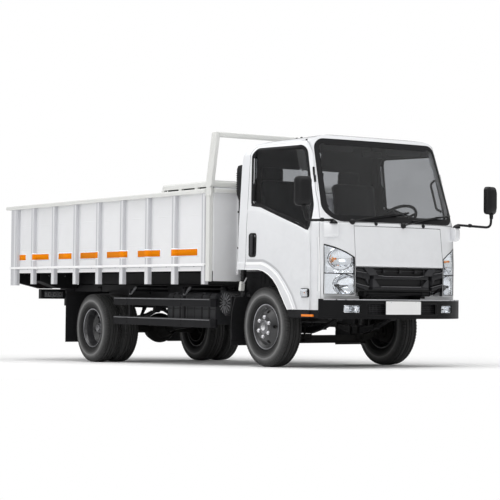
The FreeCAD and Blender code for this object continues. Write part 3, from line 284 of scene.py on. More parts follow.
def tyre_look(name):
    """Tyre rubber with a painted highlight: the side wall is lighter in a soft ring, standing in for sheen on its
    bulge; darker at the bead and the tread.
    """
    m, nt, b = _new(name)
    vec = _coord(nt)
    sp = nt.nodes.new("ShaderNodeSeparateXYZ")
    nt.links.new(vec, sp.inputs[0])

    def mt(op, a, c=None):
        k = nt.nodes.new("ShaderNodeMath")
        k.operation = op
        for i, v in enumerate((a, c)):
            if v is None:
                continue
            if isinstance(v, (int, float)):
                k.inputs[i].default_value = v
            else:
                nt.links.new(v, k.inputs[i])
        return k.outputs[0]
    dz = mt("SUBTRACT", sp.outputs["Z"], RAD)
    rr_ = []
    for cx in (AX, AX - WB):
        dx = mt("SUBTRACT", sp.outputs["X"], cx)
        rr_.append(mt("SQRT", mt("ADD", mt("MULTIPLY", dx, dx), mt("MULTIPLY", dz, dz))))
    r = mt("MINIMUM", rr_[0], rr_[1])
    n1 = _noise(nt, 22.0, 6.0, 0.7, vec)
    wob = mt("MULTIPLY", mt("SUBTRACT", n1.outputs["Fac"], 0.5), 0.016)
    t = nt.nodes.new("ShaderNodeMapRange")
    t.inputs["From Min"].default_value = 0.20
    t.inputs["From Max"].default_value = 0.40
    nt.links.new(mt("ADD", r, wob), t.inputs["Value"])
    # painted highlight: the radial ramp lightens a soft ring on the side wall
    cr = _ramp(nt, t.outputs["Result"], [(0.0, _g(0.006)), (0.22, _g(0.010)), (0.36, _g(0.030)), (0.47, _g(0.085)), (0.54, _g(0.20)), (0.59, _g(0.125)), (0.68, _g(0.070)), (0.80, _g(0.034)), (1.0, _g(0.030))])
    cr.color_ramp.interpolation = "EASE"
    nt.links.new(cr.outputs["Color"], b.inputs["Base Color"])
    rr = nt.nodes.new("ShaderNodeMapRange")
    rr.inputs["To Min"].default_value = 0.5
    rr.inputs["To Max"].default_value = 0.8
    nt.links.new(n1.outputs["Fac"], rr.inputs["Value"])
    nt.links.new(rr.outputs["Result"], b.inputs["Roughness"])
    b.inputs["Specular IOR Level"].default_value = 0.2
    n2 = _noise(nt, 700.0, 3.0, 0.6, vec)
    _bump(nt, b, n2.outputs["Fac"], 0.25, 0.0004)
    return m


def cloth(name, rgb, scale=900.0):
    m, nt, b = _new(name)
    vec = _coord(nt)
    n1 = _noise(nt, 12.0, 4.0, 0.6, vec)
    r1 = _ramp(nt, n1.outputs["Fac"], [(0.3, _c(rgb, 0.8)), (0.7, _c(rgb, 1.2))])
    nt.links.new(r1.outputs["Color"], b.inputs["Base Color"])
    b.inputs["Roughness"].default_value = 0.9
    b.inputs["Sheen Weight"].default_value = 0.3
    ck = nt.nodes.new("ShaderNodeTexChecker")
    ck.inputs["Scale"].default_value = scale
    nt.links.new(vec, ck.inputs["Vector"])
    _bump(nt, b, ck.outputs["Fac"], 0.07, 0.0003)
    return m


# cab white: the low blend darkens it towards the bottom, painted shade, in a grey blend colour
CAB = paint("cab_white", (0.80, 0.81, 0.83), rough=0.22, coat=0.8, dirt=0.02, peel=0.03, dirt_and_shade_rgb=(0.50, 0.505, 0.52), low=(0.55, 1.50, 0.62))
# lit and shaded copies of the cab white, used for painted highlight and painted shade lines
CAB_HIGHLIGHT = paint("cab_white_painted_highlight", (0.96, 0.965, 0.97), rough=0.30, coat=0.5, dirt=0.01, peel=0.02)
CAB_SHADE = paint("cab_white_painted_shade", (0.50, 0.505, 0.525), rough=0.30, coat=0.4, dirt=0.03, peel=0.02)
BED = paint("bed_paint", (0.77, 0.775, 0.79), rough=0.40, coat=0.15, dirt=0.05, peel=0.10, low=(0.95, 1.25, 0.06))
# lighter and darker copies of the bed paint: painted half shade, painted shade (also a painted highlight on the black
# bumper) and painted highlight
BED_HALF_SHADE = paint("bed_painted_half_shade", (0.72, 0.725, 0.74), rough=0.45, coat=0.1, dirt=0.05, peel=0.10)
GREY_SHADE_AND_HIGHLIGHT = paint("grey_painted_shade_and_highlight", (0.53, 0.535, 0.56), rough=0.45, coat=0.1, dirt=0.05, peel=0.10)
BED_HIGHLIGHT = paint("bed_painted_highlight", (0.90, 0.90, 0.91), rough=0.40, coat=0.15, dirt=0.02, peel=0.05)
CREAM = paint("guard_paint", (0.70, 0.705, 0.685), rough=0.32, coat=0.3, dirt=0.04, peel=0.08)
FRAME = black_paint("frame_black", (0.0065, 0.0065, 0.008), rough=0.42, dust=0.03)
CAST = black_paint("cast_black", (0.011, 0.0105, 0.010), rough=0.6, dust=0.06, bump=0.6)
GUARDM = black_paint("guard_black", (0.0065, 0.0065, 0.008), rough=0.38, dust=0.02, bump=0.1)
BUMP = plastic("bumper_black", (0.004, 0.004, 0.0048), rough=0.34, grain=900.0, depth=0.04, spec=0.18)
TRIM = plastic("trim_black", (0.0085, 0.0085, 0.0095), rough=0.45, grain=700.0, depth=0.2)
GRILLE = plastic("grille_black", (0.014, 0.014, 0.016), rough=0.40, grain=800.0, depth=0.12)
DASH = plastic("dash_plastic", (0.014, 0.014, 0.016), rough=0.6, grain=450.0, depth=0.35)
LINER = plastic("liner_grey", (0.050, 0.050, 0.053), rough=0.75, grain=300.0, depth=0.3)
UNDER = plastic("underseal", (0.008, 0.008, 0.009), rough=0.8, grain=240.0, depth=0.5)
SEAL = rubber("seal_rubber", (0.006, 0.006, 0.007), rough=0.5, dust=0.0)
TYRE = tyre_look("tyre_rubber")
FLAP = rubber("flap_rubber", (0.009, 0.009, 0.010), rough=0.6, dust=0.02)
RIM = metal("rim_black", (0.022, 0.022, 0.024), rough=0.36, metallic=0.0, scale=25.0, bump=0.06, coat=0.3)
HUBM = metal("hub_grey", (0.20, 0.20, 0.21), rough=0.28, metallic=0.8, scale=60.0, bump=0.1)
NUT = metal("nut_steel", (0.78, 0.78, 0.80), rough=0.22, metallic=1.0, scale=60.0, bump=0.05)
CHROME = metal("chrome", (0.86, 0.87, 0.89), rough=0.06, metallic=1.0, scale=10.0, bump=0.01, vary=0.03)
SILVER = metal("reflector", (0.80, 0.82, 0.85), rough=0.14, metallic=1.0, scale=10.0, bump=0.02, vary=0.03)
ALU = metal("cast_alloy", (0.42, 0.42, 0.43), rough=0.45, metallic=0.9, scale=30.0, bump=0.3)
GLASS = glass("screen_glass", (0.64, 0.65, 0.665), ior=1.30)
DGLASS = glass("door_glass", (0.58, 0.59, 0.605), ior=1.24)
LENS = glass("lamp_lens", (0.96, 0.97, 0.98), ior=1.35)
AMBER = glass("amber_lens", (1.0, 0.33, 0.02), rough=0.1)
REDL = glass("red_lens", (0.75, 0.02, 0.02), rough=0.08)
MIRRORG = metal("mirror_glass", (0.55, 0.57, 0.60), rough=0.02, metallic=1.0, scale=4.0, bump=0.0, vary=0.02)
CLOTH = cloth("seat_cloth", (0.020, 0.020, 0.023))
ORANGE = paint("strip_orange", (0.80, 0.225, 0.001), rough=0.60, coat=0.0, dirt=0.0, peel=0.2)
ORANGE.node_tree.nodes["Principled BSDF"].inputs["Specular IOR Level"].default_value = 0.06
# pale edge of the orange strips: painted highlight
STRIPE_HIGHLIGHT = paint("strip_painted_highlight_edge", (0.90, 0.95, 1.0), rough=0.5, coat=0.0, dirt=0.0, peel=0.1)
PLATEW = paint("plate_white", (0.80, 0.80, 0.80), rough=0.3, coat=0.3, dirt=0.02)
AMBERP = paint("amber_marker", (0.85, 0.22, 0.01), rough=0.2, coat=0.6, dirt=0.01)
REDP = plastic("lamp_red_cell", (0.42, 0.010, 0.010), rough=0.22, grain=160.0, depth=0.3)
BEDIN = paint("bed_floor_paint", (0.52, 0.53, 0.55), rough=0.42, coat=0.1, dirt=0.22, spots=5.0, peel=0.3)
# light and dark greys; on the guards, struts and bumper they are painted highlights
GUARD_GREY_AND_HIGHLIGHT = black_paint("guard_grey_and_painted_highlight", (0.17, 0.172, 0.18), rough=0.34, dust=0.04, bump=0.1)
GUARD_DARKGREY_AND_HIGHLIGHT = black_paint("guard_dark_grey_and_painted_highlight", (0.075, 0.076, 0.080), rough=0.34, dust=0.04, bump=0.1)
RED = paint("lamp_red", (0.45, 0.012, 0.010), rough=0.25, coat=0.5, dirt=0.02)
TANKM = black_paint("tank_grey", (0.030, 0.031, 0.034), rough=0.42, dust=0.03, bump=0.1)
HOSE = rubber("hose_rubber", (0.012, 0.012, 0.012), rough=0.55, dust=0.01)
WHITEP = plastic("milky_plastic", (0.62, 0.62, 0.60), rough=0.4, grain=200.0, depth=0.1)
DARKCH = metal("dark_chrome", (0.16, 0.16, 0.17), rough=0.18, metallic=1.0, scale=30.0, bump=0.02)
GUARDM.node_tree.nodes["Principled BSDF"].inputs["Specular IOR Level"].default_value = 0.12
MESHM = metal("mesh_dark", (0.06, 0.06, 0.065), rough=0.4, metallic=0.7, scale=90.0, bump=0.2)

# ------------------------------------------------------------------ mesh building


class MB:
    """Collects points and faces of one piece, in chassis metres."""

    def __init__(self):
        self.v, self.f, self.m = [], [], []

    def add(self, verts, faces, mi=0):
        k = len(self.v)
        self.v += [Vector(p) for p in verts]
        for f in faces:
            self.f.append([i + k for i in f])
            self.m.append(mi)

    def box(self, x0, x1, y0, y1, z0, z1, mi=0):
        if x0 > x1: x0, x1 = x1, x0
        if y0 > y1: y0, y1 = y1, y0
        if z0 > z1: z0, z1 = z1, z0
        v = [(x0, y0, z0), (x1, y0, z0), (x1, y1, z0), (x0, y1, z0), (x0, y0, z1), (x1, y0, z1), (x1, y1, z1), (x0, y1, z1)]
        self.add(v, [(3, 2, 1, 0), (4, 5, 6, 7), (0, 1, 5, 4), (1, 2, 6, 5), (2, 3, 7, 6), (3, 0, 4, 7)], mi)

    def prism(self, pts, axis, lo, hi, mi=0):
        """Outline pushed along an axis; pts (y, z) for X, (x, z) for Y, (x, y) for Z."""
        n = len(pts)
        area = sum(pts[i][0] * pts[(i + 1) % n][1] - pts[(i + 1) % n][0] * pts[i][1] for i in range(n))
        mk = {"X": lambda a, b, t: (t, a, b), "Y": lambda a, b, t: (a, t, b), "Z": lambda a, b, t: (a, b, t)}[axis]
        v = [mk(a, b, lo) for a, b in pts] + [mk(a, b, hi) for a, b in pts]
        fs = [[i, (i + 1) % n, (i + 1) % n + n, i + n] for i in range(n)]
        ends = [list(range(n))[::-1], list(range(n, 2 * n))]
        flip = (area < 0) != (axis == "Y")
        fs = fs + ends
        if flip:
            fs = [f[::-1] for f in fs]
        self.add(v, fs, mi)

    def loft(self, rings, mi=0, closed_ring=True, caps=True, closed_path=False):
        n = len(rings[0])
        v = [p for r in rings for p in r]
        fs = []
        m = len(rings)
        for j in range(m if closed_path else m - 1):
            a, b = j * n, ((j + 1) % m) * n
            for i in range(n if closed_ring else n - 1):
                k = (i + 1) % n
                fs.append([a + i, a + k, b + k, b + i])
        if caps and closed_ring and not closed_path:
            fs.append(list(range(n))[::-1])
            fs.append([(m - 1) * n + i for i in range(n)])
        self.add(v, fs, mi)

    def lathe(self, prof, c=(0, 0, 0), axis="Y", n=48, mi=0, closed=False, a0=0.0, a1=2 * math.pi, sgn=1.0):
        """prof: (along, radius). axis points along sgn * axis."""
        full = abs(a1 - a0 - 2 * math.pi) < 1e-6
        rings = []
        m = n if full else n + 1
        for k in range(m):
            t = a0 + (a1 - a0) * k / n
            cs, sn = math.cos(t), math.sin(t)
            r = []
            for a, rad in prof:
                a = a * sgn
                if axis == "Y":
                    r.append(Vector((c[0] + rad * cs, c[1] + a, c[2] + rad * sn)))
                elif axis == "X":
                    r.append(Vector((c[0] + a, c[1] + rad * cs, c[2] + rad * sn)))
                else:
                    r.append(Vector((c[0] + rad * cs, c[1] + rad * sn, c[2] + a)))
            rings.append(r)
        self.loft(rings, mi, closed_ring=closed, caps=False, closed_path=full)

    def cyl(self, c, axis, r, h, n=24, mi=0, r2=None, ch=0.0):
        r2 = r if r2 is None else r2
        if ch > 0:
            prof = [(-h / 2, 0), (-h / 2, r - ch), (-h / 2 + ch, r), (h / 2 - ch, r2), (h / 2, r2 - ch), (h / 2, 0)]
        else:
            prof = [(-h / 2, 0), (-h / 2, r), (h / 2, r2), (h / 2, 0)]
        self.lathe(prof, c, axis, n, mi)

    def tube(self, path, r, n=10, mi=0, caps=True, closed=False, flat=1.0):
        P = [Vector(p) for p in path]
        if len(P) < 2:
            return
        m = len(P)
        T = []
        for i in range(m):
            a = P[i - 1] if (i > 0 or closed) else P[i]
            b = P[(i + 1) % m] if (i < m - 1 or closed) else P[i]
            T.append((b - a).normalized())
        up = Vector((0, 0, 1)) if abs(T[0].z) < 0.9 else Vector((0, 1, 0))
        N = (up - T[0] * up.dot(T[0])).normalized()
        rings = []
        for i in range(m):
            if i:
                q = T[i - 1].rotation_difference(T[i])
                N = (q @ N)
                N = (N - T[i] * N.dot(T[i])).normalized()
            B = T[i].cross(N)
            rr = r[i] if isinstance(r, (list, tuple)) else r
            rings.append([P[i] + N * math.cos(2 * math.pi * k / n) * rr * flat + B * math.sin(2 * math.pi * k / n) * rr for k in range(n)])
        self.loft(rings, mi, True, caps, closed)

    def strip(self, path, normals, prof, mi=0, closed=False):
        """A section swept along a path that lies on a surface. prof: (sideways, outwards) closed loop."""
        m = len(path)
        rings = []
        for i in range(m):
            a = Vector(path[i - 1]) if (i > 0 or closed) else Vector(path[i])
            b = Vector(path[(i + 1) % m]) if (i < m - 1 or closed) else Vector(path[i])
            t = (b - a).normalized()
            nn = Vector(normals[i])
            nn = (nn - t * nn.dot(t)).normalized()
            s = t.cross(nn)
            rings.append([Vector(path[i]) + s * p[0] + nn * p[1] for p in prof])
        self.loft(rings, mi, True, True, closed)

    def hexnut(self, c, axis, af, h, sgn=1, mi=0, stud=0.0):
        r = af / math.sqrt(3)
        for (hh, rr, nn, off) in ((h, r, 6, 0.0),) + (((stud, af * 0.27, 10, h / 2),) if stud else ()):
            ring = []
            for k in range(nn):
                t = 2 * math.pi * k / nn + 0.3
                ring.append((rr * math.cos(t), rr * math.sin(t)))
            rings = []
            for s_, sc in ((0, 1.0), (hh * 0.82, 1.0), (hh, 0.86)):
                d = (off + s_) * sgn
                if axis == "Y":
                    rings.append([Vector((c[0] + a * sc, c[1] + d, c[2] + b * sc)) for a, b in ring])
                elif axis == "X":
                    rings.append([Vector((c[0] + d, c[1] + a * sc, c[2] + b * sc)) for a, b in ring])
                else:
                    rings.append([Vector((c[0] + a * sc, c[1] + b * sc, c[2] + d)) for a, b in ring])
            self.loft(rings, mi)

    def obj(self, name, body, mats, M=MS, bevel=0.0, seg=2, angle=35.0, sub=0, fix=True):
        me = bpy.data.meshes.new(name)
        pts = [M @ p for p in self.v]
        me.from_pydata([tuple(p) for p in pts], [], [f for f in self.f])
        mats = mats if isinstance(mats, (list, tuple)) else [mats]
        for k in mats:
            me.materials.append(k)
        me.polygons.foreach_set("material_index", self.m)
        if fix:
            bm = bmesh.new()
            bm.from_mesh(me)
            bmesh.ops.remove_doubles(bm, verts=bm.verts, dist=1e-6)
            bmesh.ops.dissolve_degenerate(bm, dist=1e-7, edges=bm.edges)
            bmesh.ops.recalc_face_normals(bm, faces=bm.faces)
            bm.to_mesh(me)
            bm.free()
        me.validate()
        me.update()
        me.shade_smooth()
        me.set_sharp_from_angle(angle=math.radians(angle))
        o = bpy.data.objects.new(name, me)
        bpy.context.scene.collection.objects.link(o)
        if bevel > 0:
            b = o.modifiers.new("bevel", "BEVEL")
            b.width = bevel
            b.segments = seg
            b.limit_method = "ANGLE"
            b.angle_limit = math.radians(32)
            b.harden_normals = True
        if sub:
            s = o.modifiers.new("sub", "SUBSURF")
            s.levels = s.render_levels = sub
        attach(o, body)
        return o


def smooth_path(pts, closed=False, n=8):
    """Catmull-Rom through the points."""
    P = [Vector(p) for p in pts]
    out = []
    m = len(P)
    for i in range(m if closed else m - 1):
        p0 = P[(i - 1) % m] if (closed or i > 0) else P[i] * 2 - P[i + 1]
        p1, p2 = P[i], P[(i + 1) % m]
        p3 = P[(i + 2) % m] if (closed or i < m - 2) else P[i + 1] * 2 - P[i]
        for k in range(n):
            t = k / n
            out.append(0.5 * ((2 * p1) + (p2 - p0) * t + (2 * p0 - 5 * p1 + 4 * p2 - p3) * t * t + (3 * p1 - p0 - 3 * p2 + p3) * t ** 3))
    if not closed:
        out.append(P[-1])
    return out


def bent(pts, r, n=6):
    """Polyline in space with rounded corners of radius r."""
    P = [Vector(p) for p in pts]
    out = [P[0]]
    for i in range(1, len(P) - 1):
        a, b = (P[i - 1] - P[i]), (P[i + 1] - P[i])
        la, lb = a.length, b.length
        a.normalize(); b.normalize()
        ang = a.angle(b)
        if ang > math.pi - 0.02:
            out.append(P[i]); continue
        t = min(r / math.tan(ang / 2), la * 0.48, lb * 0.48)
        for k in range(n + 1):
            u = k / n
            p0, p2 = P[i] + a * t, P[i] + b * t
            out.append(p0 * (1 - u) ** 2 + P[i] * 2 * u * (1 - u) + p2 * u * u)
    out.append(P[-1])
    return out


def rounded(pts, radii, n=7):
    out = []
    m = len(pts)
    for i in range(m):
        p0, p1, p2 = pts[i - 1], pts[i], pts[(i + 1) % m]
        r = radii[i] if isinstance(radii, (list, tuple)) else radii
        if r <= 0:
            out.append(p1); continue
        a = (p0[0] - p1[0], p0[1] - p1[1]); b = (p2[0] - p1[0], p2[1] - p1[1])
        la, lb = math.hypot(*a), math.hypot(*b)
        a = (a[0] / la, a[1] / la); b = (b[0] / lb, b[1] / lb)
        ang = math.acos(max(-1, min(1, a[0] * b[0] + a[1] * b[1])))
        t = min(r / math.tan(ang / 2), la * 0.49, lb * 0.49)
        rad = t * math.tan(ang / 2)
        bis = (a[0] + b[0], a[1] + b[1])
        l = math.hypot(*bis)
        c = (p1[0] + bis[0] / l * rad / math.sin(ang / 2), p1[1] + bis[1] / l * rad / math.sin(ang / 2))
        s0 = (p1[0] + a[0] * t, p1[1] + a[1] * t); s1 = (p1[0] + b[0] * t, p1[1] + b[1] * t)
        a0 = math.atan2(s0[1] - c[1], s0[0] - c[0]); a1 = math.atan2(s1[1] - c[1], s1[0] - c[0])
        d = (a1 - a0 + math.pi) % (2 * math.pi) - math.pi
        for k in range(n + 1):
            tt = a0 + d * k / n
            out.append((c[0] + rad * math.cos(tt), c[1] + rad * math.sin(tt)))
    return out


def grow(pts, d):
    m = len(pts)
    area = sum(pts[i][0] * pts[(i + 1) % m][1] - pts[(i + 1) % m][0] * pts[i][1] for i in range(m)) / 2
    s = 1 if area > 0 else -1
    out = []
    for i in range(m):
        p0, p1, p2 = pts[i - 1], pts[i], pts[(i + 1) % m]
        e0 = (p1[0] - p0[0], p1[1] - p0[1]); e1 = (p2[0] - p1[0], p2[1] - p1[1])
        l0, l1 = math.hypot(*e0) or 1e-9, math.hypot(*e1) or 1e-9
        n0 = (e0[1] / l0 * s, -e0[0] / l0 * s); n1 = (e1[1] / l1 * s, -e1[0] / l1 * s)
        k = max(0.25, 1 + n0[0] * n1[0] + n0[1] * n1[1])
        out.append((p1[0] + (n0[0] + n1[0]) / k * d, p1[1] + (n0[1] + n1[1]) / k * d))
    return out


def resample(pts, step, closed=True):
    out = []
    m = len(pts)
    for i in range(m if closed else m - 1):
        a, b = pts[i], pts[(i + 1) % m]
        L = math.hypot(b[0] - a[0], b[1] - a[1])
        k = max(1, int(math.ceil(L / step)))
        for j in range(k):
            out.append((a[0] + (b[0] - a[0]) * j / k, a[1] + (b[1] - a[1]) * j / k))
    if not closed:
        out.append(pts[-1])
    return out


def nodes_bvh(*names):
    V, F = [], []
    for n in names:
        me = NODES[n].data
        k = len(V)
        V += [MSI @ v.co for v in me.vertices]
        F += [[i + k for i in p.vertices] for p in me.polygons]
    return BVHTree.FromPolygons(V, F)


SKIN = nodes_bvh("cab_roof", "cab_rear_wall", "cab_front", "cab_floor", "door_right", "door_left", "front_lid", "cab_glass", "grille", "headlamps")
PAN = nodes_bvh("cab_roof", "cab_rear_wall", "cab_front", "cab_floor", "door_right", "door_left", "front_lid")


def on_front(y, z, tree=SKIN, x0=1.5):
    h = tree.ray_cast(Vector((x0, y, z)), Vector((-1, 0, 0)))
    return (h[0], h[1]) if h[0] is not None else (None, None)


def on_side(x, z, s, tree=PAN):
    h = tree.ray_cast(Vector((x, s * 1.5, z)), Vector((0, -s, 0)))
    return (h[0], h[1]) if h[0] is not None else (None, None)


def cad_look(node, mat, angle=30.0, weighted=True):
    o = NODES[node]
    o.data.materials.clear()
    o.data.materials.append(mat)
    o.data.shade_smooth()
    o.data.set_sharp_from_angle(angle=math.radians(angle))
    return o

# ------------------------------------------------------------------ wheels


def tyre_mesh(mb, cy, cx=0.0, s=1, n=76):
    """Radial tyre: four ribs, zigzag grooves, cross-cut shoulders, stepped side walls."""
    c = (cx, cy, RAD)
    sub = 4
    N = n * sub
    half = [  # (across, radius, kind) from the bead to the middle; kind: 0 plain, 1 shoulder block, 2 zigzag groove edge
        (0.0600, 0.2130, 0), (0.0640, 0.2225, 0), (0.0700, 0.2262, 0), (0.0790, 0.2300, 0), (0.0850, 0.2385, 0),
        (0.0890, 0.2470, 0), (0.0905, 0.2485, 0), (0.0925, 0.2500, 0), (0.0965, 0.2680, 0), (0.0998, 0.2850, 0), (0.1016, 0.3010, 0),
        (0.1019, 0.3060, 0), (0.1007, 0.3075, 0), (0.1007, 0.3100, 0), (0.1014, 0.3120, 0), (0.1000, 0.3250, 0), (0.0968, 0.3400, 0), (0.0945, 0.3480, 3),
        (0.0925, 0.3560, 1), (0.0890, 0.3680, 1), (0.0845, 0.3765, 1), (0.0785, 0.3822, 1), (0.0660, 0.3846, 1), (0.0585, 0.3852, 2),
        (0.0570, 0.3750, 2), (0.0500, 0.3750, 2), (0.0485, 0.3858, 2), (0.0300, 0.3868, 4), (0.0170, 0.3872, 2), (0.0155, 0.3765, 2), (0.0065, 0.3765, 2), (0.0050, 0.3874, 2)]
    # mirrored: the middle groove is replaced by a central rib
    prof = half[:29]
    prof += [(0.0155, 0.3765, 2), (0.0085, 0.3765, 2), (0.0070, 0.3874, 2)]
    full = prof + [(-a, r, k) for a, r, k in reversed(prof)]
    inner = [(-0.0545, 0.2130, 0), (-0.0545, 0.2360, 0), (-0.0800, 0.2900, 0), (-0.0820, 0.3300, 0), (-0.0640, 0.3600, 0), (0.0640, 0.3600, 0), (0.0820, 0.3300, 0), (0.0800, 0.2900, 0), (0.0545, 0.2360, 0), (0.0545, 0.2130, 0)]
    ring0 = full + inner
    rings = []
    for k in range(N):
        t = 2 * math.pi * k / N
        ph = k % sub
        zz = 0.0016 * (1 if (k // 2) % 2 == 0 else -1)
        r_ = []
        for a, r, kd in ring0:
            rr, aa = r, a
            if kd == 1 and ph >= 3:
                rr = r - 0.0065
                aa = a * 0.985
            elif kd == 3 and ph >= 3:
                rr, aa = r, a * 0.99
            elif kd == 2:
                aa = a + zz
            elif kd == 4 and ph == 3:
                rr = r - 0.0012
            r_.append(Vector((c[0] + rr * math.cos(t), c[1] + aa, c[2] + rr * math.sin(t))))
        rings.append(r_)
    mb.loft(rings, 0, closed_ring=True, caps=False, closed_path=True)


def boolean(o, cutters, op="DIFFERENCE"):
    for cu in cutters:
        md = o.modifiers.new("b", "BOOLEAN")
        md.operation = op
        md.solver = "EXACT"
        md.object = cu
    dg = bpy.context.evaluated_depsgraph_get()
    me = bpy.data.meshes.new_from_object(o.evaluated_get(dg), depsgraph=dg)
    o.modifiers.clear()
    old = o.data
    nm = old.name
    o.data = me
    bpy.data.meshes.remove(old)
    me.name = nm
    for cu in cutters:
        m2 = cu.data
        bpy.data.objects.remove(cu)
        bpy.data.meshes.remove(m2)
    me.shade_smooth()
    me.set_sharp_from_angle(angle=math.radians(32))


def raw(mb, mats=(), M=MS):
    me = bpy.data.meshes.new("cutter")
    me.from_pydata([tuple(M @ p) for p in mb.v], [], mb.f)
    bm = bmesh.new(); bm.from_mesh(me)
    bmesh.ops.remove_doubles(bm, verts=bm.verts, dist=1e-6)
    bmesh.ops.recalc_face_normals(bm, faces=bm.faces)
    bm.to_mesh(me); bm.free()
    for k in mats:
        me.materials.append(k)
    o = bpy.data.objects.new("cutter", me)
    bpy.context.scene.collection.objects.link(o)
    return o


RIMBASE = [(0.0750, 0.2120), (0.0755, 0.2185), (0.0738, 0.2222), (0.0705, 0.2228), (0.0672, 0.2212), (0.0650, 0.2150), (0.0620, 0.2098), (0.0560, 0.2075), (0.0200, 0.2005), (-0.0200, 0.1985), (-0.0600, 0.2065),
           (-0.0650, 0.2150), (-0.0672, 0.2212), (-0.0705, 0.2228), (-0.0738, 0.2222), (-0.0755, 0.2185), (-0.0750, 0.2120), (-0.0620, 0.2010)]


def front_wheel(s, side):
    ty = 0.700 * s
    c = (0, ty, RAD)
    mb = MB()
    sec = RIMBASE + [(-0.0240, 0.1900), (0.0200, 0.1900), (0.0420, 0.1760), (0.0580, 0.1560), (0.0700, 0.1400), (0.0790, 0.1300), (0.0830, 0.1180), (0.0835, 0.0600),
                     (0.0925, 0.0600), (0.0930, 0.1060), (0.0925, 0.1200), (0.0905, 0.1275), (0.0860, 0.1345), (0.0780, 0.1440), (0.0660, 0.1590), (0.0560, 0.1720), (0.0500, 0.1790), (0.0490, 0.1835), (0.0515, 0.1880), (0.0600, 0.1960), (0.0700, 0.2040)]
    mb.lathe(sec, c, "Y", 96, 0, closed=True, sgn=s)
    o = mb.obj("front_wheel_%s_disc" % side, "front_wheel_" + side, [RIM], M=MU)
    cut = MB()
    for k in range(5):
        a = math.radians(72 * k)
        cut.cyl((0.152 * math.cos(a), ty + s * 0.066, RAD + 0.152 * math.sin(a)), "Y", 0.0185, 0.09, 20)
    boolean(o, [raw(cut, M=MU)])
    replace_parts(o, "front_wheel_" + side)
    # painted highlight: a brighter ring round the rim edge
    m2 = MB()
    m2.lathe([(0.0745, 0.2105), (0.0762, 0.2135), (0.0767, 0.2190), (0.0745, 0.2205), (0.0735, 0.2160), (0.0735, 0.2110)], c, "Y", 96, 0, closed=True, sgn=s)
    # hub: flange, neck, cap
    m2.lathe([(0.0920, 0.0200), (0.0920, 0.1180), (0.0945, 0.1200), (0.0965, 0.1185), (0.0970, 0.1130), (0.0965, 0.0800), (0.0980, 0.0700)], c, "Y", 48, 3, sgn=s)
    m2.lathe([(0.0980, 0.0700), (0.1010, 0.0655), (0.1040, 0.0600), (0.1050, 0.0500), (0.1055, 0.0430),
              (0.1080, 0.0400), (0.1080, 0.0000)], c, "Y", 48, 1, sgn=s)
    m2.lathe([(0.1075, 0.0000), (0.1075, 0.0340), (0.1090, 0.0360), (0.1095, 0.0330), (0.1097, 0.0000)], c, "Y", 32, 2, sgn=s)
    for k in range(6):
        a = math.radians(60 * k + 22)
        p = (0.0950 * math.cos(a), ty + s * 0.0960, RAD + 0.0950 * math.sin(a))
        m2.cyl((p[0], p[1] + s * 0.0015, p[2]), "Y", 0.0195, 0.004, 16, 2)
        m2.hexnut((p[0], p[1] + s * 0.003, p[2]), "Y", 0.032, 0.0120, s, 2, stud=0.0)
        m2.cyl((p[0], p[1] + s * 0.013, p[2]), "Y", 0.0095, 0.010, 10, 2)
    for k in range(12):
        a = math.radians(30 * k + 7)
        m2.hexnut((0.0555 * math.cos(a), ty + s * 0.1025, RAD + 0.0555 * math.sin(a)), "Y", 0.010, 0.004, s, 1)
    m2.obj("front_wheel_%s_hub" % side, "front_wheel_" + side, [RIM_HIGHLIGHT, HUBM, NUT, RIM], M=MU)
    # drum behind the disc, valve stem
    m3 = MB()
    m3.lathe([(-0.0220, 0.1500), (-0.0220, 0.1620), (0.0620, 0.1620), (0.0640, 0.1580), (0.0640, 0.0580), (0.0560, 0.0580), (0.0560, 0.1500)], c, "Y", 48, 0, closed=True, sgn=s)
    m3.tube([(0.0, ty + s * 0.050, RAD + 0.186), (0.0, ty + s * 0.072, RAD + 0.176)], 0.0045, 8, 1)
    m3.obj("front_wheel_%s_drum" % side, "front_wheel_" + side, [CAST, NUT], M=MU)
    t = MB()
    tyre_mesh(t, ty, 0.0)
    o = t.obj("front_tyre_%s_tread" % side, "front_wheel_" + side, [TYRE], M=MU, angle=28)
    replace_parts(o, "front_tyre_" + side)


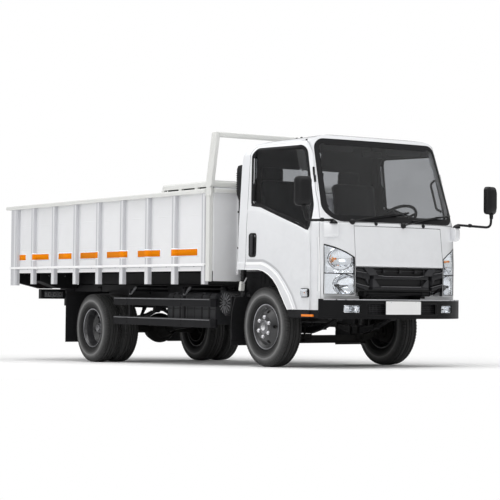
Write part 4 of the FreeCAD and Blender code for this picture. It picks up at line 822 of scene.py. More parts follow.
def rear_wheels(s, side):
    wbx = -WB
    body = "rear_wheels_" + side
    mb = MB()
    yo, yi = 0.805 * s, 0.575 * s
    sec = RIMBASE + [(-0.0500, 0.1830), (-0.0800, 0.1540), (-0.1060, 0.1420), (-0.1140, 0.1360), (-0.1140, 0.0600), (-0.1050, 0.0600), (-0.1050, 0.1250), (-0.1010, 0.1330), (-0.0780, 0.1430), (-0.0560, 0.1580), (-0.0400, 0.1820), (-0.0240, 0.1900), (0.0240, 0.1910), (0.0600, 0.2010)]
    mb.lathe(sec, (wbx, yo, RAD), "Y", 96, 0, closed=True, sgn=s)
    mb.lathe(sec, (wbx, yi, RAD), "Y", 72, 0, closed=True, sgn=-s)
    o = mb.obj("rear_wheels_%s_discs" % side, body, [RIM], M=MU)
    cut = MB()
    for k in range(6):
        a = math.radians(60 * k + 10)
        cut.cyl((wbx + 0.1545 * math.cos(a), s * 0.725, RAD + 0.1545 * math.sin(a)), "Y", 0.0165, 0.075, 18)
        cut.cyl((wbx + 0.1545 * math.cos(a), s * 0.655, RAD + 0.1545 * math.sin(a)), "Y", 0.0165, 0.063, 18)
    boolean(o, [raw(cut, M=MU)])
    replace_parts(o, "rear_wheels_" + side)
    m2 = MB()
    co = (wbx, yo, RAD)
    # painted highlight: a brighter ring round the outer rim edge
    m2.lathe([(0.0745, 0.2105), (0.0762, 0.2135), (0.0767, 0.2190), (0.0745, 0.2205), (0.0735, 0.2160), (0.0735, 0.2110)], co, "Y", 96, 0, closed=True, sgn=s)
    mid = 0.690
    cm = (wbx, mid * s, RAD)
    m2.lathe([(0.0100, 0.0300), (0.0100, 0.0780), (0.0200, 0.0780), (0.0260, 0.0720), (0.0400, 0.0660), (0.0950, 0.0600), (0.1080, 0.0560), (0.1120, 0.0500), (0.1120, 0.0470), (0.1220, 0.0450), (0.1300, 0.0400), (0.1330, 0.0300), (0.1330, 0.0000)], cm, "Y", 48, 1, sgn=s)
    for k in range(6):
        a = math.radians(60 * k + 40)
        p = (wbx + 0.0980 * math.cos(a), (mid + 0.0100) * s, RAD + 0.0980 * math.sin(a))
        m2.cyl((p[0], p[1] + s * 0.002, p[2]), "Y", 0.0190, 0.004, 14, 2)
        m2.hexnut((p[0], p[1] + s * 0.004, p[2]), "Y", 0.031, 0.018, s, 2)
        m2.cyl((p[0], p[1] + s * 0.027, p[2]), "Y", 0.0090, 0.012, 10, 2)
    for k in range(8):
        a = math.radians(45 * k + 12)
        m2.hexnut((wbx + 0.0500 * math.cos(a), (mid + 0.1110) * s, RAD + 0.0500 * math.sin(a)), "Y", 0.014, 0.006, s, 1)
    m2.obj("rear_wheels_%s_hub" % side, body, [RIM_HIGHLIGHT, HUBM, NUT], M=MU)
    m3 = MB()
    m3.lathe([(-0.055, 0.152), (-0.055, 0.165), (0.050, 0.165), (0.061, 0.160), (0.061, 0.060), (0.052, 0.060), (0.052, 0.152)], (wbx, 0.545 * s, RAD), "Y", 48, 0, closed=True, sgn=s)
    m3.lathe([(0.0, 0.058), (0.0, 0.072), (0.120, 0.072), (0.140, 0.066), (0.140, 0.058)], (wbx, 0.560 * s, RAD), "Y", 32, 0, closed=True, sgn=s)
    m3.obj("rear_wheels_%s_drum" % side, body, [CAST, NUT], M=MU)
    t = MB()
    tyre_mesh(t, yo, wbx)
    tyre_mesh(t, yi, wbx)
    o = t.obj("rear_tyres_%s_tread" % side, body, [TYRE], M=MU, angle=28)
    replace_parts(o, "rear_tyres_" + side)


# brighter rim metal for the painted highlight ring
RIM_HIGHLIGHT = metal("rim_painted_highlight", (0.30, 0.30, 0.32), rough=0.3, metallic=0.85, scale=50.0, bump=0.05)
for s_, side_ in ((-1, "right"), (1, "left")):
    front_wheel(s_, side_)
    rear_wheels(s_, side_)
# ------------------------------------------------------------------ cab shell materials


def mask_mix(name, outer, inner, build):
    """Two finished looks on one node, chosen by a mask made from place and normal on the part itself."""
    m = outer.copy()
    m.name = name
    MATS[name] = m
    nt = m.node_tree
    b_out = nt.nodes["Principled BSDF"]
    out = [n for n in nt.nodes if n.type == "OUTPUT_MATERIAL"][0]
    # second look, copied node by node
    src = inner.node_tree
    mp = {}
    for n in src.nodes:
        if n.type == "OUTPUT_MATERIAL":
            continue
        k = nt.nodes.new(n.bl_idname)
        mp[n.name] = k
        for at_ in ("operation", "data_type", "noise_dimensions", "feature", "blend_type", "interpolation_type", "use_clamp"):
            if hasattr(n, at_):
                try:
                    setattr(k, at_, getattr(n, at_))
                except (AttributeError, TypeError):
                    pass
        if n.type == "VALTORGB":
            e0 = n.color_ramp.elements
            e1 = k.color_ramp.elements
            while len(e1) < len(e0):
                e1.new(0.5)
            for i in range(len(e0)):
                e1[i].position = e0[i].position
                e1[i].color = e0[i].color
        for i, s in enumerate(n.inputs):
            if hasattr(s, "default_value"):
                try:
                    k.inputs[i].default_value = s.default_value
                except (AttributeError, TypeError):
                    pass
    for l in src.links:
        if l.to_node.name in mp and l.from_node.name in mp:
            fi = [i for i, s in enumerate(l.from_node.outputs) if s == l.from_socket][0]
            ti = [i for i, s in enumerate(l.to_node.inputs) if s == l.to_socket][0]
            nt.links.new(mp[l.from_node.name].outputs[fi], mp[l.to_node.name].inputs[ti])
    mix = nt.nodes.new("ShaderNodeMixShader")
    nt.links.new(build(nt), mix.inputs["Fac"])
    nt.links.new(b_out.outputs[0], mix.inputs[1])
    nt.links.new(mp["Principled BSDF"].outputs[0], mix.inputs[2])
    nt.links.new(mix.outputs[0], out.inputs["Surface"])
    return m


def _math(nt, op, a, b=None, clamp=False):
    k = nt.nodes.new("ShaderNodeMath")
    k.operation = op
    k.use_clamp = clamp
    for i, v in enumerate((a, b)):
        if v is None:
            continue
        if isinstance(v, (int, float)):
            k.inputs[i].default_value = v
        else:
            nt.links.new(v, k.inputs[i])
    return k.outputs[0]


def inside_mask(nt, centre=(AX + 0.15, 0.0, 1.35), thr=-0.30):
    """1 on faces that look towards the middle of the cab."""
    tc = nt.nodes.new("ShaderNodeTexCoord")
    sub = nt.nodes.new("ShaderNodeVectorMath")
    sub.operation = "SUBTRACT"
    nt.links.new(tc.outputs["Object"], sub.inputs[0])
    sub.inputs[1].default_value = centre
    nz = nt.nodes.new("ShaderNodeVectorMath")
    nz.operation = "NORMALIZE"
    nt.links.new(sub.outputs[0], nz.inputs[0])
    dp = nt.nodes.new("ShaderNodeVectorMath")
    dp.operation = "DOT_PRODUCT"
    nt.links.new(tc.outputs["Normal"], dp.inputs[0])
    nt.links.new(nz.outputs[0], dp.inputs[1])
    return _math(nt, "LESS_THAN", dp.outputs["Value"], thr)


def floor_mask(nt):
    """1 everywhere but on the outer side skin above the sill line."""
    tc = nt.nodes.new("ShaderNodeTexCoord")
    sp = nt.nodes.new("ShaderNodeSeparateXYZ")
    nt.links.new(tc.outputs["Object"], sp.inputs[0])
    sn = nt.nodes.new("ShaderNodeSeparateXYZ")
    nt.links.new(tc.outputs["Normal"], sn.inputs[0])
    ay = _math(nt, "ABSOLUTE", sp.outputs["Y"])
    an = _math(nt, "MULTIPLY", sn.outputs["Y"], _math(nt, "SIGN", sp.outputs["Y"]))
    a = _math(nt, "GREATER_THAN", ay, 0.825)
    b = _math(nt, "GREATER_THAN", an, 0.4)
    c = _math(nt, "GREATER_THAN", sp.outputs["Z"], 0.63)
    w = _math(nt, "MULTIPLY", _math(nt, "MULTIPLY", a, b), c)
    return _math(nt, "SUBTRACT", 1.0, w)


SHELLM = mask_mix("cab_shell", CAB, LINER, inside_mask)
FLOORM = mask_mix("cab_floor_look", CAB, UNDER, floor_mask)
for n_ in ("cab_roof", "cab_rear_wall", "cab_front", "door_right", "door_left", "front_lid"):
    cad_look(n_, SHELLM)
cad_look("cab_floor", FLOORM)
cad_look("cab_glass", GLASS)
cad_look("door_glass_right", DGLASS)
cad_look("door_glass_left", DGLASS)
for n_ in ("frame_rails", "frame_cross_members", "tipper_subframe", "leaf_springs", "front_axle", "rear_axle", "knuckle_right", "knuckle_left", "tie_rod", "propeller_shaft"):
    if n_ in NODES:
        cad_look(n_, FRAME)
for n_ in ("front_axle", "rear_axle", "knuckle_right", "knuckle_left", "engine_block", "exhaust_silencer"):
    cad_look(n_, CAST)
cad_look("front_bumper", BUMP)
cad_look("side_guards", GUARDM)
cad_look("fuel_tank", TANKM)
cad_look("battery_box", TRIM)
cad_look("air_intake", TRIM)
cad_look("mudguards", FLAP)
cad_look("radiator", MESHM)
cad_look("tail_lamps", RED)
cad_look("dashboard", DASH)
cad_look("bed_floor", FRAME)
for n_ in ("bed_side_right", "bed_side_left", "bed_front_wall", "tailgate"):
    cad_look(n_, BED)
cad_look("guard_frame", CREAM)
cad_look("hoist_barrel", FRAME)
cad_look("hoist_rod", CHROME)
cad_look("mirrors", TRIM)
cad_look("headlamps", LENS)
cad_look("grille", GRILLE)
cad_look("driver_seat", CLOTH)
cad_look("passenger_seat", CLOTH)
cad_look("steering_wheel", DASH)

# ------------------------------------------------------------------ cab outlines (front view y, z; side view x, z)
WS = [(-0.765, 1.386), (0.765, 1.386), (0.708, 2.160), (-0.708, 2.160)]
WIN = [(-0.214, 2.106), (0.627, 2.082), (0.790, 1.520), (0.778, 1.316), (-0.034, 1.567), (-0.180, 1.582)]
ARCHL = [(-0.405, 0.939), (-0.022, 0.936), (0.060, 0.922), (0.140, 0.893), (0.227, 0.844), (0.300, 0.778), (0.366, 0.693), (0.425, 0.618), (0.475, 0.559)]


def front_strip(mb, pts, prof, mi=0, closed=False, tree=SKIN, lift=0.0, step=0.03):
    P, N = [], []
    for y, z in resample(pts, step, closed):
        p, n = on_front(y, z, tree)
        if p is None:
            continue
        if n.x < 0:
            n = -n
        P.append(p + n * lift)
        N.append(n)
    if len(P) > 1:
        mb.strip(P, N, prof, mi, closed)


def side_strip(mb, pts, s, prof, mi=0, closed=False, tree=PAN, lift=0.0, step=0.03):
    P, N = [], []
    last = None
    for x, z in resample(pts, step, closed):
        p, n = on_side(x, z, s, tree)
        if p is None or abs(p.y) < 0.60:
            if last is None:
                continue
            p, n = Vector((x, last[0].y, z)), last[1]
        if n.y * s < 0:
            n = -n
        if abs(n.y) < 0.5:
            n = Vector((0, s, 0))
        last = (p, n)
        P.append(p + n * lift)
        N.append(n)
    if len(P) > 1:
        mb.strip(P, N, prof, mi, closed)


def flat_prof(w, h, r=0.3):
    """Low rounded band w wide and h high, for a seal or moulding."""
    return [(-w / 2, -h), (-w / 2, h * 0.35), (-w / 2 + w * 0.12, h * 0.8), (-w / 4, h), (w / 4, h), (w / 2 - w * 0.12, h * 0.8), (w / 2, h * 0.35), (w / 2, -h)]


WALL = nodes_bvh("door_right", "door_left", "door_glass_right", "door_glass_left", "cab_front", "cab_rear_wall", "cab_roof", "cab_floor")

# windscreen: black printed border and rubber, on the line of the opening
ws = rounded(WS, [0.150, 0.150, 0.095, 0.095], 9)
mb = MB()
front_strip(mb, grow(ws, -0.016), flat_prof(0.040, 0.0016), 0, True)
front_strip(mb, grow(ws, 0.003), [(-0.006, -0.003), (-0.006, 0.0015), (-0.002, 0.0035), (0.003, 0.0035), (0.006, 0.001), (0.006, -0.003)], 0, True)
# sun band at the top edge and the wider band at the lower corners
front_strip(mb, [(y, 2.118) for y in [k * 0.05 - 0.62 for k in range(25)]], flat_prof(0.022, 0.0012), 0, False)
front_strip(mb, [(y, 1.424) for y in [k * 0.05 - 0.66 for k in range(27)]], flat_prof(0.030, 0.0012), 0, False)
mb.obj("windscreen_seal", "cab", [SEAL], angle=50)

# cowl lines over the lid
mb = MB()
front_strip(mb, [(k * 0.04 - 0.74, 1.3725) for k in range(38)], [(-0.0022, -0.002), (-0.0022, 0.0006), (0.0022, 0.0006), (0.0022, -0.002)], 0, False, PAN)
mb.obj("cowl_line", "cab", [SEAL])

# ------------------------------------------------------------------ wipers
mb = MB()
for (py, pz), tip, blade in (((-0.525, 1.376), (-0.060, 1.455), 0.52), ((0.035, 1.356), (0.500, 1.450), 0.55)):
    p0, n0 = on_front(py, pz)
    p1, n1 = on_front(tip[0], tip[1])
    a = p0 + n0 * 0.012
    b = p1 + n1 * 0.022
    mb.lathe([(-0.010, 0.0), (-0.010, 0.027), (0.010, 0.026), (0.020, 0.020), (0.026, 0.010), (0.028, 0.0)], tuple(p0 + n0 * 0.004), "X", 20, 0)
    mid = (a + b) / 2 + n0 * 0.018
    mb.tube(smooth_path([a, a.lerp(mid, 0.3) + n0 * 0.006, mid, b], False, 6), [0.0095] * 7 + [0.0065] * 12, 8, 0, flat=0.6)
    # blade follows the glass
    P, N = [], []
    y0, y1 = tip[0] - blade * 0.62, tip[0] + blade * 0.38
    z0, z1 = tip[1] - 0.052, tip[1] + 0.022
    for k in range(17):
        t = k / 16
        p, n = on_front(y0 + (y1 - y0) * t, z0 + (z1 - z0) * t)
        P.append(p); N.append(n)
    mb.strip(P, N, [(-0.0035, 0.000), (-0.0035, 0.006), (-0.009, 0.009), (-0.009, 0.015), (-0.004, 0.019), (0.004, 0.019), (0.009, 0.015), (0.009, 0.009), (0.0035, 0.006), (0.0035, 0.000)], 0)
    # bridge from arm to blade
    q = P[10] + N[10] * 0.018
    mb.tube([b, q], 0.007, 8, 0)
    mb.box(q.x - 0.008, q.x + 0.008, q.y - 0.03, q.y + 0.03, q.z - 0.008, q.z + 0.008)
for (py, pz) in ((-0.275, 1.365), (0.285, 1.359)):
    p, n = on_front(py, pz)
    mb.lathe([(-0.006, 0.0), (-0.006, 0.019), (0.006, 0.018), (0.013, 0.012), (0.016, 0.0)], tuple(p), "X", 16, 0)
mb.obj("wipers", "cab", [TRIM], bevel=0.0012)

# corner seam drawn as a painted shade line beside a painted highlight line, small grab moulding on the pillars and
# studs along the roof edge
for s, side in ((-1, "right"), (1, "left")):
    mb = MB()
    front_strip(mb, [(s * 0.8035, z) for z in [0.735 + 0.045 * k for k in range(12)]], [(-0.0022, -0.002), (-0.0022, 0.0007), (0.0022, 0.0007), (0.0022, -0.002)], 0, False, PAN)
    front_strip(mb, [(s * 0.7965, z) for z in [0.735 + 0.045 * k for k in range(12)]], [(-0.0030, -0.002), (-0.0030, 0.0007), (0.0030, 0.0007), (0.0030, -0.002)], 1, False, PAN)
    mb.obj("corner_seam_" + side, "door_" + side, [CAB_SHADE, CAB_HIGHLIGHT])
    mb = MB()
    front_strip(mb, [(s * 0.750, 1.890), (s * 0.756, 1.820), (s * 0.762, 1.748)], [(-0.013, -0.006), (-0.013, 0.003), (-0.007, 0.007), (0.007, 0.007), (0.013, 0.003), (0.013, -0.006)], 0, False, PAN, 0.0, 0.02)
    mb.obj("pillar_moulding_" + side, "door_" + side, [TRIM], bevel=0.001, seg=1, angle=50)
    mb = MB()
    for x, z in ((0.150, 2.212), (0.310, 2.204), (0.600, 2.155)):
        p, n = on_side(x, z, s, PAN)
        if p is not None and abs(p.y) > 0.5:
            mb.lathe([(-0.010, 0.0), (-0.010, 0.009), (0.006, 0.009), (0.010, 0.006), (0.011, 0.0)], tuple(p), "Y", 12, 0, sgn=s)
    mb.obj("roof_studs_" + side, "cab", [TRIM], bevel=0.001, seg=1, angle=50)
# ------------------------------------------------------------------ helpers for the front


def sx(y, z, tree=SKIN):
    p, n = on_front(y, z, tree)
    return (p.x if p is not None else 1.0), n


def band(mb, ys, zlo, zhi, lift, thick, mi=0, tree=SKIN, round_=0.0):
    """Plate that follows the front skin, between two heights at each station."""
    rings = []
    for y, a, b in zip(ys, zlo, zhi):
        xa, xb = sx(y, a, tree)[0], sx(y, b, tree)[0]
        r = min(round_, (b - a) * 0.45)
        if r > 0:
            ring = [(xa + lift - r, y, a), (xa + lift - r * 0.3, y, a + r * 0.3), (xa + lift, y, a + r), (xb + lift, y, b - r), (xb + lift - r * 0.3, y, b - r * 0.3), (xb + lift - r, y, b),
                    (xb + lift - thick, y, b), (xa + lift - thick, y, a)]
        else:
            ring = [(xa + lift, y, a), (xb + lift, y, b), (xb + lift - thick, y, b), (xa + lift - thick, y, a)]
        rings.append([Vector(p) for p in ring])
    mb.loft(rings, mi)


def stations(y0, y1, step=0.03, extra=()):
    n = max(1, int(math.ceil(abs(y1 - y0) / step)))
    ys = [y0 + (y1 - y0) * k / n for k in range(n + 1)]
    lo, hi = min(y0, y1), max(y0, y1)
    ys += [e for e in extra if lo < e < hi]
    return sorted(set(round(y, 5) for y in ys))


def interp(pts, y):
    pts = sorted(pts)
    if y <= pts[0][0]:
        return pts[0][1]
    for (a, za), (b, zb) in zip(pts, pts[1:]):
        if y <= b:
            t = (y - a) / (b - a) if b > a else 0
            return za + (zb - za) * t
    return pts[-1][1]


def shape(mb, lo_pts, hi_pts, lift, thick, mi=0, step=0.03, round_=0.002, tree=SKIN, sym=True, x_taper=None):
    """A band given by two polylines over y; mirrored to the other side when sym."""
    for sg in ((1, -1) if sym else (1,)):
        lo = sorted((sg * y, z) for y, z in lo_pts)
        hi = sorted((sg * y, z) for y, z in hi_pts)
        y0, y1 = max(lo[0][0], hi[0][0]), min(lo[-1][0], hi[-1][0])
        ys = stations(y0, y1, step, [p[0] for p in lo + hi])
        band(mb, ys, [interp(lo, y) for y in ys], [interp(hi, y) for y in ys], lift, thick, mi, tree, round_)


def poly_shape(mb, poly, lift, thick, mi=0, round_=0.002, sym=True):
    """Convex plate on the front skin."""
    for sg in ((1, -1) if sym else (1,)):
        P = [(sg * y, z) for y, z in poly]
        ys_ = [p[0] for p in P]
        ys = stations(min(ys_), max(ys_), 0.03, ys_)
        lo, hi = [], []
        for y in ys:
            zs = []
            m = len(P)
            for i in range(m):
                (a, za), (b, zb) = P[i], P[(i + 1) % m]
                if abs(a - b) < 1e-9:
                    if abs(a - y) < 1e-9:
                        zs += [za, zb]
                elif min(a, b) - 1e-9 <= y <= max(a, b) + 1e-9:
                    zs.append(za + (zb - za) * (y - a) / (b - a))
            lo.append(min(zs)); hi.append(max(zs))
        band(mb, ys, lo, [max(h, l + 0.0006) for l, h in zip(lo, hi)], lift, thick, mi, SKIN, round_)


# ------------------------------------------------------------------ grille
EDGEG = plastic("grille_edge", (0.10, 0.10, 0.105), rough=0.32, grain=500.0, depth=0.05)
WINGG = plastic("grille_wing", (0.030, 0.030, 0.033), rough=0.45, grain=700.0, depth=0.12)
mb = MB()
# backing with upright ribs
shape(mb, [(-0.512, 0.740), (0.512, 0.740)], [(-0.512, 0.958), (0.512, 0.958)], -0.034, 0.004, 0, 0.05, 0.0, sym=False)
for k in range(-21, 22):
    y = k * 0.0158
    if abs(y) < 0.315:
        x, _ = sx(y, 0.92)
        mb.box(x - 0.033, x - 0.017, y - 0.0030, y + 0.0030, 0.884, 0.952, 3)
    if abs(y) < 0.30:
        x, _ = sx(y, 0.82)
        mb.box(x - 0.033, x - 0.021, y - 0.0030, y + 0.0030, 0.787, 0.850, 3)
for z in (0.905, 0.930):
    for y0 in (-0.30, -0.10, 0.10):
        x, _ = sx(y0 + 0.10, z)
        mb.box(x - 0.032, x - 0.020, y0, y0 + 0.2, z - 0.0022, z + 0.0022, 3)
for z in (0.806, 0.828):
    for y0 in (-0.29, -0.096, 0.097):
        x, _ = sx(y0 + 0.10, z)
        mb.box(x - 0.032, x - 0.024, y0, y0 + 0.193, z - 0.0022, z + 0.0022, 3)
for y in (-0.186, 0.0, 0.186):
    x, _ = sx(y, 0.925)
    mb.box(x - 0.030, x - 0.014, y - 0.019, y + 0.019, 0.908, 0.943, 0)
    mb.box(x - 0.020, x - 0.0135, y - 0.009, y + 0.009, 0.916, 0.934, 4)
# top frame, main bar, lower bar
shape(mb, [(-0.515, 0.951), (0.515, 0.951)], [(-0.515, 0.962), (0.515, 0.962)], -0.001, 0.030, 0, 0.04, 0.002, sym=False)
shape(mb, [(-0.44, 0.862), (-0.40, 0.849), (-0.31, 0.849), (-0.30, 0.853), (0.30, 0.853), (0.31, 0.849), (0.40, 0.849), (0.44, 0.862)],
      [(-0.44, 0.904), (-0.37, 0.893), (-0.285, 0.893), (-0.262, 0.886), (-0.19, 0.878), (0.19, 0.878), (0.262, 0.886), (0.285, 0.893), (0.37, 0.893), (0.44, 0.904)], 0.006, 0.036, 1, 0.03, 0.006, sym=False)
shape(mb, [(-0.36, 0.757), (0.36, 0.757)], [(-0.36, 0.778), (-0.26, 0.786), (-0.225, 0.784), (0.225, 0.784), (0.26, 0.786), (0.36, 0.778)], 0.006, 0.036, 1, 0.03, 0.005, sym=False)
# pale rim lines under the openings
shape(mb, [(-0.276, 0.8895), (-0.262, 0.883), (-0.19, 0.875), (0.19, 0.875), (0.262, 0.883), (0.276, 0.8895)], [(-0.276, 0.8955), (-0.262, 0.891), (-0.19, 0.883), (0.19, 0.883), (0.262, 0.891), (0.276, 0.8955)], 0.0085, 0.012, 2, 0.03, 0.003, sym=False)
shape(mb, [(-0.236, 0.779), (0.236, 0.779)], [(-0.246, 0.790), (-0.226, 0.787), (0.226, 0.787), (0.246, 0.790)], 0.0085, 0.012, 2, 0.03, 0.003, sym=False)
# slanted plates
poly_shape(mb, [(-0.424, 0.953), (-0.327, 0.953), (-0.268, 0.886), (-0.371, 0.886)], 0.0035, 0.028, 4, 0.003)
poly_shape(mb, [(-0.408, 0.853), (-0.313, 0.853), (-0.226, 0.760), (-0.356, 0.757)], 0.0045, 0.030, 4, 0.003)
# outer wings, upper and lower, each with a pale upper edge
poly_shape(mb, [(-0.515, 0.926), (-0.400, 0.909), (-0.360, 0.884), (-0.385, 0.846), (-0.505, 0.872)], 0.002, 0.026, 1, 0.003)
poly_shape(mb, [(-0.515, 0.9285), (-0.400, 0.9115), (-0.398, 0.905), (-0.515, 0.9205)], 0.0050, 0.012, 2, 0.002)
poly_shape(mb, [(-0.512, 0.812), (-0.362, 0.782), (-0.350, 0.757), (-0.385, 0.750), (-0.505, 0.783)], 0.002, 0.026, 1, 0.003)
poly_shape(mb, [(-0.512, 0.8145), (-0.370, 0.7855), (-0.368, 0.7790), (-0.512, 0.8070)], 0.0050, 0.012, 2, 0.002)
poly_shape(mb, [(-0.515, 0.950), (-0.440, 0.950), (-0.405, 0.918), (-0.515, 0.934)], -0.012, 0.016, 4, 0.002)
poly_shape(mb, [(-0.513, 0.866), (-0.412, 0.845), (-0.372, 0.792), (-0.513, 0.820)], -0.016, 0.014, 0, 0.002)
# lower corner pieces
poly_shape(mb, [(-0.515, 0.800), (-0.470, 0.742), (-0.466, 0.700), (-0.517, 0.700)], -0.004, 0.020, 4, 0.003)
# sides of the opening, so nothing shows round the edge
for sg in (-1, 1):
    x, _ = sx(sg * 0.512, 0.85)
    mb.box(x - 0.055, x - 0.001, sg * 0.5165, sg * 0.509, 0.738, 0.959, 0)
o = mb.obj("grille_bars", "cab", [TRIM, GRILLE, EDGEG, MESHM, WINGG], bevel=0.0012, seg=1)
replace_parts(o, "grille")

# ------------------------------------------------------------------ head lamps
HLT = [(0.523, 1.052), (0.600, 1.100), (0.690, 1.142), (0.774, 1.172)]


def lamp_top(y):
    return interp(HLT, abs(y))


for s, side in ((-1, "right"), (1, "left")):
    Y0, Y1, Z0 = 0.5255, 0.7715, 0.7085
    nu, nv = 34, 60

    def surf(u, v, d, bowl=False):
        y = Y0 + (Y1 - Y0) * u
        zt = lamp_top(y) - 0.0025
        z = Z0 + (zt - Z0) * v
        p, n = on_front(s * y, z)
        if n.x < 0:
            n = -n
        q = p - n * d
        if bowl:
            dd = 0.0
            for cy, cz, R_, dep in ((0.642, 1.032, 0.098, 0.050), (0.610, 0.797, 0.092, 0.056)):
                r = math.hypot(y - cy, (z - cz) * (1.0 if cz > 0.9 else 1.0))
                if r < R_:
                    dd = max(dd, dep * (1 - (r / R_) ** 2) + 0.003)
                elif r < R_ + 0.006:
                    dd = -0.006
            if 0.912 < z < 0.974:
                c = ((y - 0.53) / 0.047) % 1.0
                dd = 0.010 if 0.12 < c < 0.88 and 0.918 < z < 0.968 else 0.0
            q = q + Vector((-dd, 0, 0))
            lim = 0.946 if y > 0.735 else 0.958
            q.x = max(q.x, min(lim, p.x - 0.002))
        return q

    # reflector bowl
    mb = MB()
    rows = [[surf(i / nu, j / nv, 0.022, True) for i in range(nu + 1)] for j in range(nv + 1)]
    mb.loft(rows, 0, closed_ring=False, caps=False)
    ring = [(i / nu, 0.0) for i in range(nu)] + [(1.0, j / nv) for j in range(nv)] + [(1 - i / nu, 1.0) for i in range(nu)] + [(0.0, 1 - j / nv) for j in range(nv)]
    mb.loft([[surf(u, v, 0.0035) for u, v in ring], [surf(u, v, 0.022, True) for u, v in ring]], 1, closed_ring=True, caps=False)
    o = mb.obj("headlamp_bowl_" + side, "cab", [SILVER, CHROME], angle=40)
    sd = o.modifiers.new("skin", "SOLIDIFY")
    sd.thickness = 0.0012
    sd.offset = 0
    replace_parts(o, "headlamps")
    # clear lens
    mb = MB()
    n2u, n2v = 14, 18
    f = [[surf(i / n2u, j / n2v, 0.0006) for i in range(n2u + 1)] for j in range(n2v + 1)]
    b = [[surf(i / n2u, j / n2v, 0.0030) for i in range(n2u + 1)] for j in range(n2v + 1)]
    mb.loft(f, 0, closed_ring=False, caps=False)
    mb.loft([r[::-1] for r in b], 0, closed_ring=False, caps=False)
    ring = [(i / n2u, 0.0) for i in range(n2u)] + [(1.0, j / n2v) for j in range(n2v)] + [(1 - i / n2u, 1.0) for i in range(n2u)] + [(0.0, 1 - j / n2v) for j in range(n2v)]
    mb.loft([[surf(u, v, 0.0006) for u, v in ring], [surf(u, v, 0.0030) for u, v in ring]], 0, closed_ring=True, caps=False)
    mb.obj("headlamp_lens_" + side, "cab", [LENS], angle=40)
    # bezel, bulbs, shields, split bar
    mb = MB()
    out = [(s * 0.5265, 0.7095)] + [(s * y, z - 0.003) for y, z in [(0.5265, 1.0535), (0.600, 1.0990), (0.690, 1.1405), (0.7705, 1.1695)]] + [(s * 0.7705, 0.7095)]
    front_strip(mb, out, [(-0.0022, -0.012), (-0.0022, 0.0008), (0.0022, 0.0008), (0.0022, -0.012)], 0, True)
    top = [(s * y, z - 0.0045) for y, z in [(0.526, 1.0535), (0.600, 1.0990), (0.690, 1.1405), (0.7705, 1.1695)]]
    front_strip(mb, top, [(-0.0045, -0.010), (-0.0045, 0.0012), (0.0045, 0.0012), (0.0045, -0.010)], 0)
    front_strip(mb, [(s * 0.528, 0.99), (s * 0.528, 1.052)], [(-0.0040, -0.010), (-0.0040, 0.0012), (0.0040, 0.0012), (0.0040, -0.010)], 0)
    front_strip(mb, [(s * 0.527, 0.8975), (s * 0.60, 0.8985), (s * 0.68, 0.9005), (s * 0.771, 0.9030)], [(-0.0046, -0.020), (-0.0046, 0.0006), (0.0046, 0.0006), (0.0046, -0.020)], 0)
    for cy, cz, col, r in ((0.672, 1.034, 2, 0.0105), (0.648, 0.790, 0, 0.0135)):
        p, n = on_front(s * cy, cz)
        c = Vector((max(p.x - 0.050, 0.968), s * cy, cz))
        mb.lathe([(-0.030, 0.009), (-0.004, 0.009), (0.0, r), (0.010, r * 0.95), (0.016, r * 0.6), (0.019, 0.0)], tuple(c), "X", 16, col)
        mb.lathe([(-0.034, 0.016), (-0.026, 0.016), (-0.024, 0.008)], tuple(c), "X", 16, 1)
        if col == 0:
            mb.tube([tuple(c + Vector((0.002, 0, 0))), (c.x + 0.030, s * 0.560, cz - 0.002)], 0.0032, 6, 0)
            mb.tube([tuple(c + Vector((-0.012, 0, -0.004))), (c.x + 0.010, s * 0.590, cz - 0.050)], 0.0028, 6, 0)
        else:
            mb.tube([tuple(c + Vector((-0.020, 0, 0))), (c.x + 0.016, s * 0.585, cz + 0.003)], 0.0030, 6, 1)
    # ring edges of the two bowls
    for cy, cz, R_ in ((0.642, 1.032, 0.100), (0.610, 0.797, 0.094)):
        P, N = [], []
        for k in range(40):
            t = 2 * math.pi * k / 40
            y, z = cy + R_ * math.cos(t), cz + R_ * math.sin(t)
            if Y0 + 0.004 < y < Y1 - 0.004 and (0.911 < z if cz > 0.9 else 0.713 < z < 0.888) and z < lamp_top(y) - 0.012:
                p, n = on_front(s * y, z)
                P.append(Vector((max(p.x - 0.020, 0.947), p.y, p.z)))
            elif len(P) > 2:
                mb.tube(P, 0.0024, 6, 3); P = []
            else:
                P = []
        if len(P) > 2:
            mb.tube(P, 0.0024, 6, 3)
    mb.obj("headlamp_trim_" + side, "cab", [SEAL, CHROME, AMBER, DARKCH], angle=40)
# ------------------------------------------------------------------ carried-over pieces with rounded edges


def cad_copy(node, body, mats, bevel=0.003, seg=2, planar=0.6, angle=32.0, weld=2e-5):
    """The node's own mesh, welded, flat faces joined and edges rounded."""
    src = NODES[node].data
    bm = bmesh.new()
    bm.from_mesh(src)
    bmesh.ops.remove_doubles(bm, verts=bm.verts, dist=weld)
    bmesh.ops.dissolve_limit(bm, angle_limit=math.radians(planar), verts=bm.verts, edges=bm.edges, use_dissolve_boundaries=False)
    bmesh.ops.recalc_face_normals(bm, faces=bm.faces)
    me = bpy.data.meshes.new(node + "_finished")
    bm.to_mesh(me)
    bm.free()
    me.validate()
    for k in (mats if isinstance(mats, (list, tuple)) else [mats]):
        me.materials.append(k)
    me.shade_smooth()
    me.set_sharp_from_angle(angle=math.radians(angle))
    o = bpy.data.objects.new(node + "_finished", me)
    bpy.context.scene.collection.objects.link(o)
    if bevel:
        b = o.modifiers.new("bevel", "BEVEL")
        b.width = bevel
        b.segments = seg
        b.limit_method = "ANGLE"
        b.angle_limit = math.radians(40)
        b.use_clamp_overlap = True
        b.harden_normals = True
    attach(o, body)
    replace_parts(o, node)
    return o


cad_copy("front_bumper", "chassis", BUMP, 0.011, 4)
BF = 1.148
BLINE = [(0.0, 0.0), (0.300, -0.008), (0.440, -0.020), (0.540, -0.038), (0.620, -0.062), (0.700, -0.098), (0.760, -0.134), (0.805, -0.168), (0.828, -0.188), (0.836, -0.200)]


